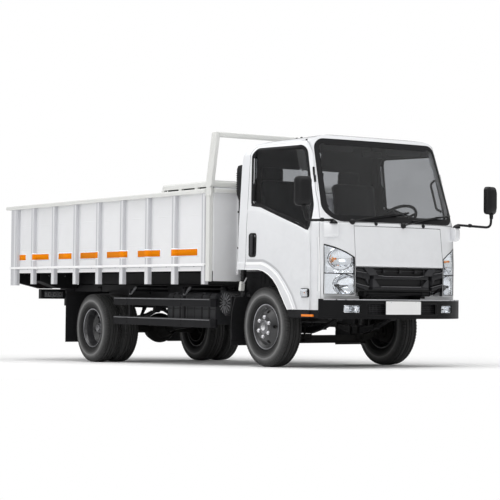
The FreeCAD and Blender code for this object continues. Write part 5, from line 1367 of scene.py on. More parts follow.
def bow(mb):
    """Sets flat-built pieces back along the curve of the bumper face."""
    for p in mb.v:
        p.x += interp(BLINE, min(abs(p.y), 0.836))

# ------------------------------------------------------------------ bumper details
mb = MB()
# recess: dark mesh at the back, rounded frame lip
mb.box(1.098, 1.104, -0.425, 0.425, 0.510, 0.634, 1)
for k in range(-26, 27):
    mb.box(1.104, 1.109, k * 0.0155 - 0.0022, k * 0.0155 + 0.0022, 0.516, 0.628, 2)
for z in (0.535, 0.554, 0.572, 0.590, 0.609):
    mb.box(1.1035, 1.1085, -0.412, 0.412, z - 0.0022, z + 0.0022, 2)
rec = rounded([(-0.418, 0.518), (0.418, 0.518), (0.418, 0.626), (-0.418, 0.626)], 0.018, 6)
P = [Vector((BF - 0.001, y, z)) for y, z in resample(rec, 0.05)]
mb.strip(P, [Vector((1, 0, 0))] * len(P), [(-0.007, -0.010), (-0.007, 0.0005), (-0.004, 0.0035), (0.002, 0.0035), (0.006, 0.0005), (0.006, -0.010)], 0, True)
# raised panels each side of the recess with round holes
for s in (-1, 1):
    for z in (0.6205, 0.5235):
        c = (BF - 0.0005, s * 0.484, z)
        mb.lathe([(0.0, 0.0150), (0.0022, 0.0140), (0.0022, 0.0115), (-0.006, 0.0108), (-0.006, 0.0)], c, "X", 20, 0)
        mb.cyl((BF - 0.0035, s * 0.484, z), "X", 0.0108, 0.004, 18, 3)
    # fog lamp pocket
    fp = rounded([(s * 0.472, 0.535), (s * 0.642, 0.535), (s * 0.642, 0.615), (s * 0.472, 0.615)], 0.016, 6)
    P = [Vector((BF - 0.0005, y, z)) for y, z in resample(fp, 0.05)]
    mb.strip(P, [Vector((1, 0, 0))] * len(P), [(-0.004, -0.012), (-0.004, 0.002), (0.0, 0.003), (0.005, 0.001), (0.005, -0.012)] if s > 0 else [(-0.005, -0.012), (-0.005, 0.001), (0.0, 0.003), (0.004, 0.002), (0.004, -0.012)], 0, True)
# pressed lines along the lower and upper edges
for zz in (0.5015, 0.6505):
    P = [Vector((BF, -0.800 + 0.04 * k, zz)) for k in range(41)]
    mb.strip(P, [Vector((1, 0, 0))] * len(P), [(-0.0022, -0.002), (-0.0012, 0.0014), (0.0012, 0.0014), (0.0022, -0.002)], 0)
bow(mb)
# painted highlights: a light strip along the top edge of the bumper and a softer dark-grey one under it
mt_ = MB()
for zz, wd, mi in ((0.6605, 0.0046, 0), (0.6530, 0.0028, 1)):
    P = [Vector((BF, -0.800 + 0.04 * k, zz)) for k in range(41)]
    mt_.strip(P, [Vector((1, 0, 0))] * len(P), [(-wd, -0.002), (-wd * 0.6, 0.0012), (wd * 0.6, 0.0012), (wd, -0.002)], mi)
bow(mt_)
mt_.obj("bumper_painted_highlight", "chassis", [GREY_SHADE_AND_HIGHLIGHT, GUARD_DARKGREY_AND_HIGHLIGHT], angle=50)
mb.obj("bumper_details", "chassis", [BUMP, TRIM, MESHM, SEAL], bevel=0.0012, seg=1)

# fog lamps: housing, reflector, bulb, lens
for s, side in ((-1, "right"), (1, "left")):
    mb = MB()
    yc, zc = s * 0.557, 0.575
    out = rounded([(yc - 0.078, zc - 0.036), (yc + 0.078, zc - 0.036), (yc + 0.078, zc + 0.036), (yc - 0.078, zc + 0.036)], 0.016, 5)
    k_in = grow(out, -0.006)
    k_bk = grow(out, -0.016)
    mb.loft([[Vector((1.098, y, z)) for y, z in out], [Vector((1.140, y, z)) for y, z in out], [Vector((1.1415, y, z)) for y, z in k_in], [Vector((1.112, y, z)) for y, z in k_bk], [Vector((1.108, yc + (y - yc) * 0.55, zc + (z - zc) * 0.55)) for y, z in k_bk]], 0, True, True)
    mb.lathe([(0.0, 0.0), (0.0, 0.006), (0.010, 0.026), (0.020, 0.0315), (0.021, 0.0335), (0.018, 0.0345)], (1.1095, yc - s * 0.030, zc), "X", 24, 0)
    mb.lathe([(0.0, 0.0), (0.0, 0.0075), (0.012, 0.0070), (0.017, 0.0)], (1.1115, yc - s * 0.030, zc), "X", 14, 1)
    bow(mb)
    mb.obj("foglamp_%s_body" % side, "chassis", [SILVER, DARKCH], angle=40)
    mb = MB()
    mb.loft([[Vector((1.1378, y, z)) for y, z in k_in], [Vector((1.1428, y, z)) for y, z in k_in], [Vector((1.1445, yc + (y - yc) * 0.9, zc + (z - zc) * 0.86)) for y, z in k_in]], 0, True, True)
    bow(mb)
    mb.obj("foglamp_%s_lens" % side, "chassis", [LENS], angle=40)

# blank number plate on its bracket
mb = MB()
mb.box(1.104, 1.150, -0.16, 0.16, 0.545, 0.625, 1)
mb.box(1.1500, 1.1535, -0.214, 0.206, 0.5215, 0.6515, 1)
mb.prism(rounded([(-0.2105, 0.525), (0.2025, 0.525), (0.2025, 0.648), (-0.2105, 0.648)], 0.006, 4), "X", 1.1535, 1.1552, 0)
pl = rounded([(-0.2065, 0.529), (0.1985, 0.529), (0.1985, 0.644), (-0.2065, 0.644)], 0.005, 4)
P = [Vector((1.1552, y, z)) for y, z in resample(pl, 0.05)]
mb.strip(P, [Vector((1, 0, 0))] * len(P), [(-0.0012, -0.0004), (-0.0012, 0.0006), (0.0012, 0.0006), (0.0012, -0.0004)], 0, True)
for y in (-0.150, 0.142):
    mb.lathe([(0.0, 0.0042), (0.0012, 0.0036), (0.0016, 0.0)], (1.1552, y, 0.6375), "X", 12, 2)
mb.obj("plate_blank", "chassis", [PLATEW, TRIM, NUT], bevel=0.0006, seg=1)

# ------------------------------------------------------------------ mirrors
for s, side in ((-1, "right"), (1, "left")):
    # white fairing on the front corner
    mb = MB()
    mb.loft([[Vector(p) for p in ring] for ring in (
        [(0.955, s * 0.688, 1.229), (1.050, s * 0.692, 1.229), (1.030, s * 0.750, 1.229), (0.955, s * 0.790, 1.229)],
        [(0.955, s * 0.686, 1.250), (1.070, s * 0.688, 1.250), (1.052, s * 0.762, 1.250), (0.960, s * 0.795, 1.250)],
        [(0.955, s * 0.686, 1.335), (1.068, s * 0.688, 1.335), (1.052, s * 0.762, 1.335), (0.960, s * 0.795, 1.335)],
        [(0.945, s * 0.688, 1.361), (1.056, s * 0.690, 1.361), (1.040, s * 0.758, 1.361), (0.950, s * 0.790, 1.361)])], 0)
    o = mb.obj("mirror_fairing_" + side, "cab", [CAB], bevel=0.014, seg=5)
    mb = MB()
    # dome foot, bent tube, stem collar
    mb.lathe([(-0.006, 0.0), (-0.006, 0.037), (0.004, 0.037), (0.014, 0.032), (0.024, 0.020), (0.030, 0.012)], (1.036, s * 0.731, 1.361), "Z", 24, 0)
    path = bent([(1.036, s * 0.725, 1.352), (1.037, s * 0.732, 1.388), (1.112, s * 1.098, 1.371), (1.104, s * 1.112, 1.500)], 0.060, 8)
    mb.tube(path, 0.0120, 14, 0)
    mb.lathe([(-0.028, 0.0135), (-0.026, 0.0170), (0.010, 0.0190), (0.014, 0.0240), (0.022, 0.0240)], (1.104, s * 1.112, 1.484), "Z", 20, 0)
    mb.lathe([(-0.012, 0.0), (-0.012, 0.018), (0.012, 0.018), (0.012, 0.0)], (1.062, s * 0.878, 1.385), "Y", 16, 0)
    mb.obj("mirror_arm_" + side, "cab", [TRIM], angle=40)
    # head
    yaw = math.radians(14 * s)
    ca, sa = math.cos(yaw), math.sin(yaw)
    C = Vector((1.098, s * 1.114, 1.636))

    def hp(dx, dy, dz):
        return C + Vector((dx * ca - dy * sa, dx * sa + dy * ca, dz))

    def hring(dx, w, h, r, zoff=0.0, yoff=0.0):
        return [hp(dx, y + yoff, z + zoff) for y, z in rounded([(-w / 2, -h / 2), (w / 2, -h / 2), (w / 2, h / 2), (-w / 2, h / 2)], r, 6)]
    mb = MB()
    mb.loft([hring(-0.022, 0.128, 0.238, 0.028), hring(-0.022, 0.146, 0.256, 0.034), hring(-0.0335, 0.150, 0.260, 0.036), hring(-0.0345, 0.156, 0.266, 0.038), hring(-0.026, 0.160, 0.270, 0.040),
             hring(-0.004, 0.160, 0.270, 0.040), hring(0.012, 0.150, 0.262, 0.044), hring(0.016, 0.132, 0.246, 0.044), hring(0.029, 0.112, 0.222, 0.044), hring(0.0335, 0.088, 0.190, 0.040), hring(0.0345, 0.050, 0.140, 0.024)], 0)
    mb.obj("mirror_head_" + side, "cab", [TRIM], angle=50)
    mb = MB()
    mb.loft([hring(-0.0215, 0.126, 0.236, 0.027), hring(-0.0255, 0.126, 0.236, 0.027), hring(-0.0262, 0.122, 0.232, 0.026)], 0)
    o = mb.obj("mirror_face_" + side, "cab", [MIRRORG], angle=30)
    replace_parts(o, "mirrors")

# ------------------------------------------------------------------ shaped bands on the doors
SWELL = [(-0.254, 1.5200), (-0.06, 1.5050), (0.30, 1.4100), (0.60, 1.3280), (0.868, 1.2360)]
ARCHO = [(-0.404, 1.0175), (0.033, 1.013), (0.100, 0.997), (0.170, 0.972), (0.240, 0.942), (0.308, 0.904), (0.42, 0.805), (0.526, 0.694), (0.605, 0.566)]


def even(pts, n):
    d = [0.0]
    for a, b in zip(pts, pts[1:]):
        d.append(d[-1] + math.hypot(b[0] - a[0], b[1] - a[1]))
    out = []
    for k in range(n + 1):
        t = d[-1] * k / n
        i = 0
        while i < len(d) - 2 and d[i + 1] < t:
            i += 1
        f = (t - d[i]) / max(1e-9, d[i + 1] - d[i])
        out.append((pts[i][0] + (pts[i + 1][0] - pts[i][0]) * f, pts[i][1] + (pts[i + 1][1] - pts[i][1]) * f))
    return out


def wall(x, z, s, tree, last):
    p, n = on_side(x, z, s, tree)
    if p is None or abs(p.y) < 0.60:
        p, n = Vector((x, last[0].y, z)), last[1]
    if n.y * s < 0:
        n = -n
    if abs(n.y) < 0.5:
        n = Vector((0, s, 0))
    return p, n


def shoulder(mb, s, tree):
    """Soft ridge that runs along under the side window, fading out below."""
    S_ = even(SWELL, 44)
    last = (Vector((0, s * 0.84, 1.4)), Vector((0, s, 0)))
    rings = []
    for k, (x, z) in enumerate(S_):
        ring = []
        fade = min(1.0, (len(S_) - 1 - k) / 5.0)
        for dz, lift in ((0.046, 0.0002), (0.030, 0.0022), (0.012, 0.0060), (0.0, 0.0078), (-0.010, 0.0074), (-0.035, 0.0052), (-0.080, 0.0024), (-0.135, 0.0003), (-0.135, -0.003), (0.046, -0.003)):
            last = wall(x, z + dz, s, tree, last)
            ring.append(last[0] + Vector((0, s, 0)) * (lift * fade if lift > 0 else lift))
        rings.append(ring)
    mb.loft(rings, 0)


def flare_painted_lines(mb, s, tree, xa, xb):
    """Painted highlight along the crest of the band and a soft painted shade line just outside it."""
    A, B = even(ARCHL, 60), even(ARCHO, 60)
    last = (Vector((0, s * 0.84, 1.0)), Vector((0, s, 0)))
    for t0, wd, lift, mi in ((0.20, 0.0115, 0.0112, 0), (-0.12, 0.016, 0.0006, 1), (0.93, 0.0050, 0.0132, 0)):
        P = []
        for (ax, az), (bx, bz) in zip(A, B):
            if max(ax, bx) < xa or min(ax, bx) > xb:
                continue
            ax, bx = min(max(ax, xa), xb), min(max(bx, xa), xb)
            x, z = bx + (ax - bx) * t0, bz + (az - bz) * t0
            tq = min(max(t0, 0.0), 0.94)
            last = wall(bx + (ax - bx) * tq, bz + (az - bz) * tq, s, tree, last)
            P.append(Vector((x, last[0].y + s * lift, z)))
        if len(P) > 2:
            mb.strip(P, [Vector((0, s, 0))] * len(P), [(-wd, -0.0006), (-wd * 0.5, 0.0004), (wd * 0.5, 0.0004), (wd, -0.0006)], mi)


def flare(mb, s, tree, xa, xb):
    """Raised band over the wheel arch with a rolled edge."""
    A, B = even(ARCHL, 60), even(ARCHO, 60)
    last = (Vector((0, s * 0.84, 1.0)), Vector((0, s, 0)))
    rings = []
    for (ax, az), (bx, bz) in zip(A, B):
        if not (xa <= min(ax, bx) and max(ax, bx) <= xb):
            if max(ax, bx) < xa or min(ax, bx) > xb:
                continue
            ax, bx = min(max(ax, xa), xb), min(max(bx, xa), xb)
        ring = []
        for t, lift in ((-0.03, 0.0004), (0.06, 0.0050), (0.16, 0.0090), (0.32, 0.0105), (0.70, 0.0095), (0.86, 0.0115), (0.95, 0.0125), (0.995, 0.0100), (1.0, 0.0020), (1.0, -0.004), (-0.03, -0.003)):
            x, z = bx + (ax - bx) * t, bz + (az - bz) * t
            tq = min(max(t, 0.0), 0.94)
            last = wall(bx + (ax - bx) * tq, bz + (az - bz) * tq, s, tree, last)
            ring.append(Vector((x, last[0].y, z)) + Vector((0, s, 0)) * lift)
        rings.append(ring)
    if len(rings) > 1:
        mb.loft(rings, 0)


# ------------------------------------------------------------------ doors
for s, side in ((-1, "right"), (1, "left")):
    body = "door_" + side
    win = rounded(WIN, [0.070, 0.090, 0.200, 0.025, 0.160, 0.030])
    tree = nodes_bvh("door_" + side, "door_glass_" + side)
    mb = MB()
    side_strip(mb, grow(win, 0.010), s, flat_prof(0.030, 0.0030), 0, True, tree)
    side_strip(mb, grow(win, -0.008), s, flat_prof(0.016, 0.0012), 0, True, tree)
    # belt moulding
    side_strip(mb, [(-0.190, 1.568), (-0.034, 1.553), (0.30, 1.464), (0.60, 1.383), (0.785, 1.306)], s, flat_prof(0.018, 0.0055), 0, False, tree)
    o = mb.obj("door_seal_" + side, body, [SEAL], angle=50)
    # shoulder below the window and flare over the wheel arch
    mb = MB()
    shoulder(mb, s, tree)
    flare(mb, s, tree, -0.2585, 2.0)
    mb.obj("door_shoulder_" + side, body, [CAB], angle=50)
    # painted highlight on the flare's crest and a painted shade line beside it
    mb = MB()
    flare_painted_lines(mb, s, tree, -0.2585, 2.0)
    mb.obj("door_flare_lines_" + side, body, [CAB_HIGHLIGHT, CAB_SHADE], angle=50)
    # handle
    mb = MB()
    p, n = on_side(-0.147, 1.18, s, tree)
    yo = abs(p.y)
    base = rounded([(-0.213, 1.060), (-0.081, 1.060), (-0.081, 1.295), (-0.213, 1.295)], 0.034, 7)
    mb.prism(base, "Y", s * (yo - 0.004), s * (yo + 0.0035), 0)
    P = [Vector((x, s * (yo + 0.0030), z)) for x, z in resample(grow(base, -0.006), 0.05)]
    mb.strip(P, [Vector((0, s, 0))] * len(P), [(-0.005, -0.002), (-0.004, 0.003), (0.0, 0.0045), (0.004, 0.003), (0.005, -0.002)], 0, True)
    grip = rounded([(-0.176, 1.078), (-0.126, 1.078), (-0.120, 1.278), (-0.170, 1.278)], 0.022, 6)
    g2 = grow(grip, -0.006)
    mb.loft([[Vector((x, s * (yo + 0.010), z)) for x, z in grip], [Vector((x, s * (yo + 0.018), z)) for x, z in grip], [Vector((x, s * (yo + 0.0235), z)) for x, z in g2]], 1)
    for z in (1.092, 1.262):
        mb.box(-0.164, -0.132, s * (yo + 0.002), s * (yo + 0.014), z - 0.010, z + 0.010, 1)
    mb.cyl((-0.104, s * (yo + 0.0045), 1.262), "Y", 0.0095, 0.004, 18, 2)
    mb.obj("door_handle_" + side, body, [TRIM, WINGG, NUT], angle=40, bevel=0.0010, seg=1)
    # side repeater
    mb = MB()
    p, n = on_side(0.754, 0.718, s, tree)
    q = abs(p.y)
    rp = rounded([(0.690, 0.677), (0.818, 0.677), (0.818, 0.760), (0.690, 0.760)], 0.020, 6)
    P0 = [on_side(x, z, s, tree)[0] for x, z in rp]
    for k, (lift, gr, mi) in enumerate(((0.003, 0.0, 0),)):
        mb.loft([[v - Vector((0, s * 0.006, 0)) for v in P0], [v + Vector((0, s * 0.0095, 0)) for v in P0]], mi)
    rp2 = grow(rp, -0.006)
    P1 = [on_side(x, z, s, tree)[0] for x, z in rp2]
    mb.loft([[v + Vector((0, s * 0.008, 0)) for v in P1], [v + Vector((0, s * 0.0110, 0)) for v in P1]], 1)
    mb.obj("repeater_base_" + side, body, [SEAL, SILVER], angle=40)
    mb = MB()
    cx, cz = 0.754, 0.7185
    P2 = [Vector((cx + (v.x - cx) * 0.86, v.y + s * 0.0190, cz + (v.z - cz) * 0.80)) for v in P1]
    mb.loft([[v + Vector((0, s * 0.0111, 0)) for v in P1], [v + Vector((0, s * 0.0160, 0)) for v in P1], P2], 0)
    mb.obj("repeater_lens_" + side, body, [LENS], angle=50)
    mb = MB()
    p, n = on_side(0.760, 0.725, s, tree)
    mb.lathe([(0.0, 0.0), (0.0, 0.007), (0.005, 0.006), (0.007, 0.0)], (0.760, s * (abs(p.y) + 0.0080), 0.720), "Y", 12, 0, sgn=s)
    mb.obj("repeater_bulb_" + side, body, [AMBER], angle=50)
    # gutter over the door
    mb = MB()
    roofline = [(-0.330, 2.168), (-0.20, 2.176), (0.20, 2.178), (0.45, 2.170), (0.615, 2.163), (0.668, 2.120), (0.715, 2.020), (0.765, 1.860), (0.818, 1.670)]
    side_strip(mb, roofline, s, [(-0.004, -0.003), (-0.004, 0.0035), (0.0, 0.006), (0.004, 0.0035), (0.004, -0.003)], 0, False, PAN)
    mb.obj("gutter_" + side, "cab", [CAB], angle=60)
    # amber marker on the sill
    mb = MB()
    p, n = on_side(0.79, 0.515, s, PAN)
    yq = abs(p.y) if p is not None else 0.83
    mb.box(0.700, 0.880, s * (yq - 0.010), s * (yq + 0.0065), 0.500, 0.521, 0)
    mb.obj("sill_marker_" + side, "cab", [AMBERP], bevel=0.002)
    mb = MB()
    flare(mb, s, WALL, -0.404, -0.2675)
    mb.obj("rear_corner_creases_" + side, "cab", [CAB], angle=60)

# ------------------------------------------------------------------ inside the cab


def pad_block(x0, x1, y0, y1, z0, z1, name, mat, crown=0.02, r=0.045, nx=10, tilt=0.0, channels=(), axis="Z", seg=9):
    """Crowned cushion: a rounded block whose faces swell and whose sides pull in, with sewn channels."""
    cx, cy, cz = (x0 + x1) / 2, (y0 + y1) / 2, (z0 + z1) / 2
    hx, hy, hz = (x1 - x0) / 2, (y1 - y0) / 2, (z1 - z0) / 2
    bm = bmesh.new()
    bmesh.ops.create_cube(bm, size=2.0)
    bmesh.ops.subdivide_edges(bm, edges=bm.edges[:], cuts=seg * 2 + 1, use_grid_fill=True)
    for v in bm.verts:
        a, b, c = v.co
        # superellipsoid corner rounding, then crown
        X, Y, Z = a * hx, b * hy, c * hz
        ex, ey, ez = max(0, abs(X) - (hx - r)), max(0, abs(Y) - (hy - r)), max(0, abs(Z) - (hz - r))
        l = math.sqrt(ex * ex + ey * ey + ez * ez)
        if l > r * 1e-6:
            k = r / max(l, r) if l > r else 1.0
            X = math.copysign(abs(X) - ex + ex * k, X) if ex > 0 else X
            Y = math.copysign(abs(Y) - ey + ey * k, Y) if ey > 0 else Y
            Z = math.copysign(abs(Z) - ez + ez * k, Z) if ez > 0 else Z
        fx, fy, fz = 1 - (X / hx) ** 2, 1 - (Y / hy) ** 2, 1 - (Z / hz) ** 2
        fx, fy, fz = max(fx, 0), max(fy, 0), max(fz, 0)
        if axis == "Z":
            g = crown * (fx * fy) ** 0.5
            gr = 0.0
            for t0 in channels:
                gr += 0.010 * math.exp(-((Y / hy - t0) * hy / 0.008) ** 2)
            Z = Z * (1 - 0.0) + (g - gr - crown) * (1 if c > 0 else 0) * min(1, max(0, c))
            Y -= math.copysign(0.010 * fz * fx, Y) * (abs(b) > 0.98)
            X -= math.copysign(0.010 * fz * fy, X) * (abs(a) > 0.98)
        else:
            g = crown * (fz * fy) ** 0.5
            gr = 0.0
            for t0 in channels:
                gr += 0.010 * math.exp(-((Y / hy - t0) * hy / 0.008) ** 2)
            X = X + (g - gr - crown) * (1 if a > 0 else 0) * min(1, max(0, a))
            Y -= math.copysign(0.010 * fz, Y) * (abs(b) > 0.98)
        v.co = (X, Y, Z)
    T = Matrix.Translation((cx, cy, cz)) @ Matrix.Rotation(math.radians(tilt), 4, "Y")
    me = bpy.data.meshes.new(name)
    bmesh.ops.transform(bm, matrix=MS @ T, verts=bm.verts)
    bmesh.ops.recalc_face_normals(bm, faces=bm.faces)
    bm.to_mesh(me)
    bm.free()
    me.materials.append(mat)
    me.shade_smooth()
    o = bpy.data.objects.new(name, me)
    bpy.context.scene.collection.objects.link(o)
    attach(o, "cab")
    return o


for label, y0, y1, chans in (("driver_seat", 0.170, 0.690, (-0.62, 0.62)), ("passenger_seat", -0.700, 0.060, (-0.75, 0.0, 0.75))):
    ym = (y0 + y1) / 2
    o = pad_block(-0.196, 0.376, y0 + 0.004, y1 - 0.004, 1.134, 1.270, label + "_cushion", CLOTH, 0.018, 0.045, channels=chans)
    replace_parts(o, label)
    # back leans with the CAD back: 8 degrees about Y at (-0.205, 1.240)
    a = math.radians(-8)
    lx, lz = 0.055, 0.295
    bx = -0.205 + lx * math.cos(a) + lz * math.sin(a)
    bz = 1.240 - lx * math.sin(a) + lz * math.cos(a)
    pad_block(bx - 0.052, bx + 0.052, y0 + 0.004, y1 - 0.004, bz - 0.285, bz + 0.285, label + "_back", CLOTH, 0.016, 0.040, tilt=-8, channels=chans, axis="X")
    hy0, hy1 = (ym - 0.130, ym + 0.130) if label == "driver_seat" else (y0 + 0.060, y0 + 0.320)
    pad_block(-0.348, -0.270, hy0 + 0.002, hy1 - 0.002, 1.808, 1.958, label + "_headrest", CLOTH, 0.010, 0.032, axis="X", seg=6)
    mb = MB()
    mb.box(-0.178, 0.328, y0 + 0.042, y1 - 0.042, 0.980, 1.136, 0)
    for dy in (-0.055, 0.055):
        c = (hy0 + hy1) / 2 + dy
        mb.tube([(-0.309, c, 1.775), (-0.309, c, 1.830)], 0.006, 8, 1)
    mb.obj(label + "_base", "cab", [DASH, CHROME], bevel=0.006)

# steering wheel: rim, spokes, pad
c0 = Vector((0.530, 0.395, 1.440))
nrm = Vector((-0.643, 0, 0.766)).normalized()
u = Vector((0, 1, 0))
w = nrm.cross(u)
mb = MB()
ring = [c0 + (u * math.cos(t) + w * math.sin(t)) * 0.205 for t in [2 * math.pi * k / 64 for k in range(64)]]
mb.tube(ring, 0.0145, 12, 0, closed=True)
hub = []
for dz, rr in ((-0.034, 0.030), (-0.034, 0.060), (-0.018, 0.068), (-0.004, 0.066), (0.001, 0.056), (0.003, 0.0)):
    hub.append([c0 + nrm * dz + (u * math.cos(2 * math.pi * k / 32) * rr * 1.05 + w * math.sin(2 * math.pi * k / 32) * rr) for k in range(32)])
mb.loft(hub, 0)
for k in range(3):
    a = math.radians(90 + 120 * k)
    d = u * math.cos(a) + w * math.sin(a)
    e = nrm.cross(d)
    sec = []
    for t, wd, th, off in ((0.045, 0.030, 0.010, -0.016), (0.10, 0.022, 0.008, -0.014), (0.16, 0.018, 0.008, -0.006), (0.198, 0.020, 0.009, -0.001)):
        cc = c0 + d * t + nrm * off
        sec.append([cc + e * (wd * math.cos(q)) + nrm * (th * math.sin(q)) for q in [2 * math.pi * j / 12 for j in range(12)]])
    mb.loft(sec, 0)
o = mb.obj("steering_wheel_rim", "steering_wheel", [DASH], angle=40)
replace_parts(o, "steering_wheel")

# dashboard details
mb = MB()
for yc in (-0.62, -0.22, 0.10, 0.66):
    x = 0.640
    mb.box(x - 0.012, x + 0.004, yc - 0.055, yc + 0.055, 1.225, 1.285, 0)
    for k in range(4):
        mb.box(x - 0.016, x - 0.010, yc - 0.050, yc + 0.050, 1.235 + k * 0.013, 1.239 + k * 0.013, 1)
mb.box(0.632, 0.642, -0.56, -0.26, 1.130, 1.215, 0)
mb.box(0.630, 0.642, -0.10, 0.14, 1.130, 1.215, 1)
for k in range(3):
    mb.cyl((0.628, -0.05 + k * 0.07, 1.165), "X", 0.017, 0.014, 18, 0, ch=0.002)
mb.loft([[Vector((x, y, z)) for x, z in ((0.592, 1.300), (0.600, 1.386), (0.700, 1.398), (0.780, 1.375), (0.800, 1.300))] for y in (0.215, 0.230, 0.580, 0.595)], 0)
mb.box(0.597, 0.604, 0.250, 0.560, 1.296, 1.370, 1)
# demister grille along the top
for k in range(-20, 21):
    mb.box(0.840, 0.872, k * 0.028 - 0.009, k * 0.028 + 0.009, 1.3215, 1.3245, 1)
mb.obj("dash_details", "cab", [DASH, TRIM], bevel=0.003)

# inner mirror, sun visors, grab handles, belts, roof lamp
mb = MB()
mb.loft([[Vector((x, y, z)) for y, z in rounded([(-0.115, 2.020), (0.115, 2.020), (0.115, 2.082), (-0.115, 2.082)], 0.020, 5)] for x in (0.628, 0.648)], 0)
mb.tube([(0.642, 0, 2.075), (0.640, 0, 2.130), (0.630, 0, 2.165)], 0.008, 8, 0)
for y0, y1 in ((-0.62, -0.20), (0.20, 0.62)):
    mb.loft([[Vector((0.600 + dx, y, z)) for y, z in rounded([(y0, 2.060), (y1, 2.060), (y1, 2.190), (y0, 2.190)], 0.030, 5)] for dx in (0.0, 0.014)], 1)
for s in (-1, 1):
    mb.tube(bent([(0.870, s * 0.678, 1.520), (0.815, s * 0.660, 1.545), (0.735, s * 0.650, 1.790), (0.772, s * 0.672, 1.830)], 0.035, 5), 0.0115, 10, 0)
    mb.tube([(-0.30, s * 0.735, 1.96), (-0.31, s * 0.722, 1.60), (-0.30, s * 0.705, 1.36)], 0.018, 8, 0, flat=0.12)
mb.box(-0.02, 0.10, -0.05, 0.05, 2.168, 2.183, 2)
# far-side grab frame on the front pillar, as seen through the windscreen
mb.obj("cab_fittings", "cab", [TRIM, LINER, WHITEP], bevel=0.002, seg=1)
# pedals and gear lever
mb = MB()
for y in (0.445, 0.530, 0.620):
    mb.box(0.800, 0.815, y - 0.028, y + 0.028, 0.690, 0.770, 0)
    mb.tube([(0.815, y, 0.730), (0.870, y, 0.900), (0.880, y, 1.100)], 0.008, 8, 0)
mb.tube([(0.585, 0.110, 1.120), (0.560, 0.120, 1.250), (0.530, 0.125, 1.330)], 0.009, 8, 0)
mb.lathe([(-0.028, 0.0), (-0.022, 0.018), (0.0, 0.024), (0.018, 0.018), (0.026, 0.0)], (0.528, 0.125, 1.345), "Z", 16, 0)
mb.obj("cab_controls", "cab", [TRIM], bevel=0.0015)

# cab tilt tube and arms carry chassis black
mb = MB()
mb.lathe([(-0.392, 0.0), (-0.392, 0.0190), (-0.390, 0.0212), (0.390, 0.0212), (0.392, 0.0190), (0.392, 0.0)], (1.035, 0, 0.722), "Y", 24, 0)
for s in (-1, 1):
    mb.box(0.946, 1.052, s * 0.3665, s * 0.3895, 0.6955, 0.7485, 0)
    mb.lathe([(0.0, 0.028), (0.006, 0.026), (0.008, 0.014), (0.014, 0.012), (0.016, 0.0)], (1.035, s * 0.3895, 0.722), "Y", 20, 0, sgn=s)
mb.obj("cab_tilt_gear", "cab", [FRAME, UNDER], bevel=0.0015, seg=1)
# ------------------------------------------------------------------ load body
BH, FT, BT = 0.905, 1.004, 1.714
STK = [(-5.508, -5.318, 0.779)] + [(-4.944 + 0.5646 * k, -4.820 + 0.5646 * k, 0.795) for k in range(7)] + [(-0.945, -0.855, 0.795)]


def hat(mb, x0, x1, s, z0, z1, flange=0.018, depth=0.045, mi=0, t=0.0035, end=False):
    """Pressed hat section: a crown with slightly spread sides and two welded flanges; open at the bottom. Its crown and
    forward side are given the painted shade paint.
    """
    a, b = x0 + flange, x1 - flange
    sec = [(a, 0.0), (a + 0.005, depth - 0.006), (a + 0.011, depth), (b - 0.011, depth), (b - 0.005, depth - 0.006), (b, 0.0)]
    inn = [(b - t, 0.0), (b - 0.005 - t, depth - 0.008), (b - 0.012, depth - t), (a + 0.012, depth - t), (a + 0.005 + t, depth - 0.008), (a + t, 0.0)]
    ring = [(x, s * (BH + d)) for x, d in sec + inn]
    k = len(mb.m)
    mb.prism(ring, "Z", z0, z1, mi)
    # crown, forward bevel and forward side in the painted shade paint
    for q in (2, 3, 4):
        mb.m[k + q] = 3
    # low pressed rib down the crown
    c = a + (b - a) * 0.64
    mb.prism([(c - 0.013, s * (BH + depth - 0.002)), (c - 0.007, s * (BH + depth + 0.0016)), (c + 0.007, s * (BH + depth + 0.0016)), (c + 0.013, s * (BH + depth - 0.002))], "Z", z0 + 0.004, z1 - 0.004, 0)


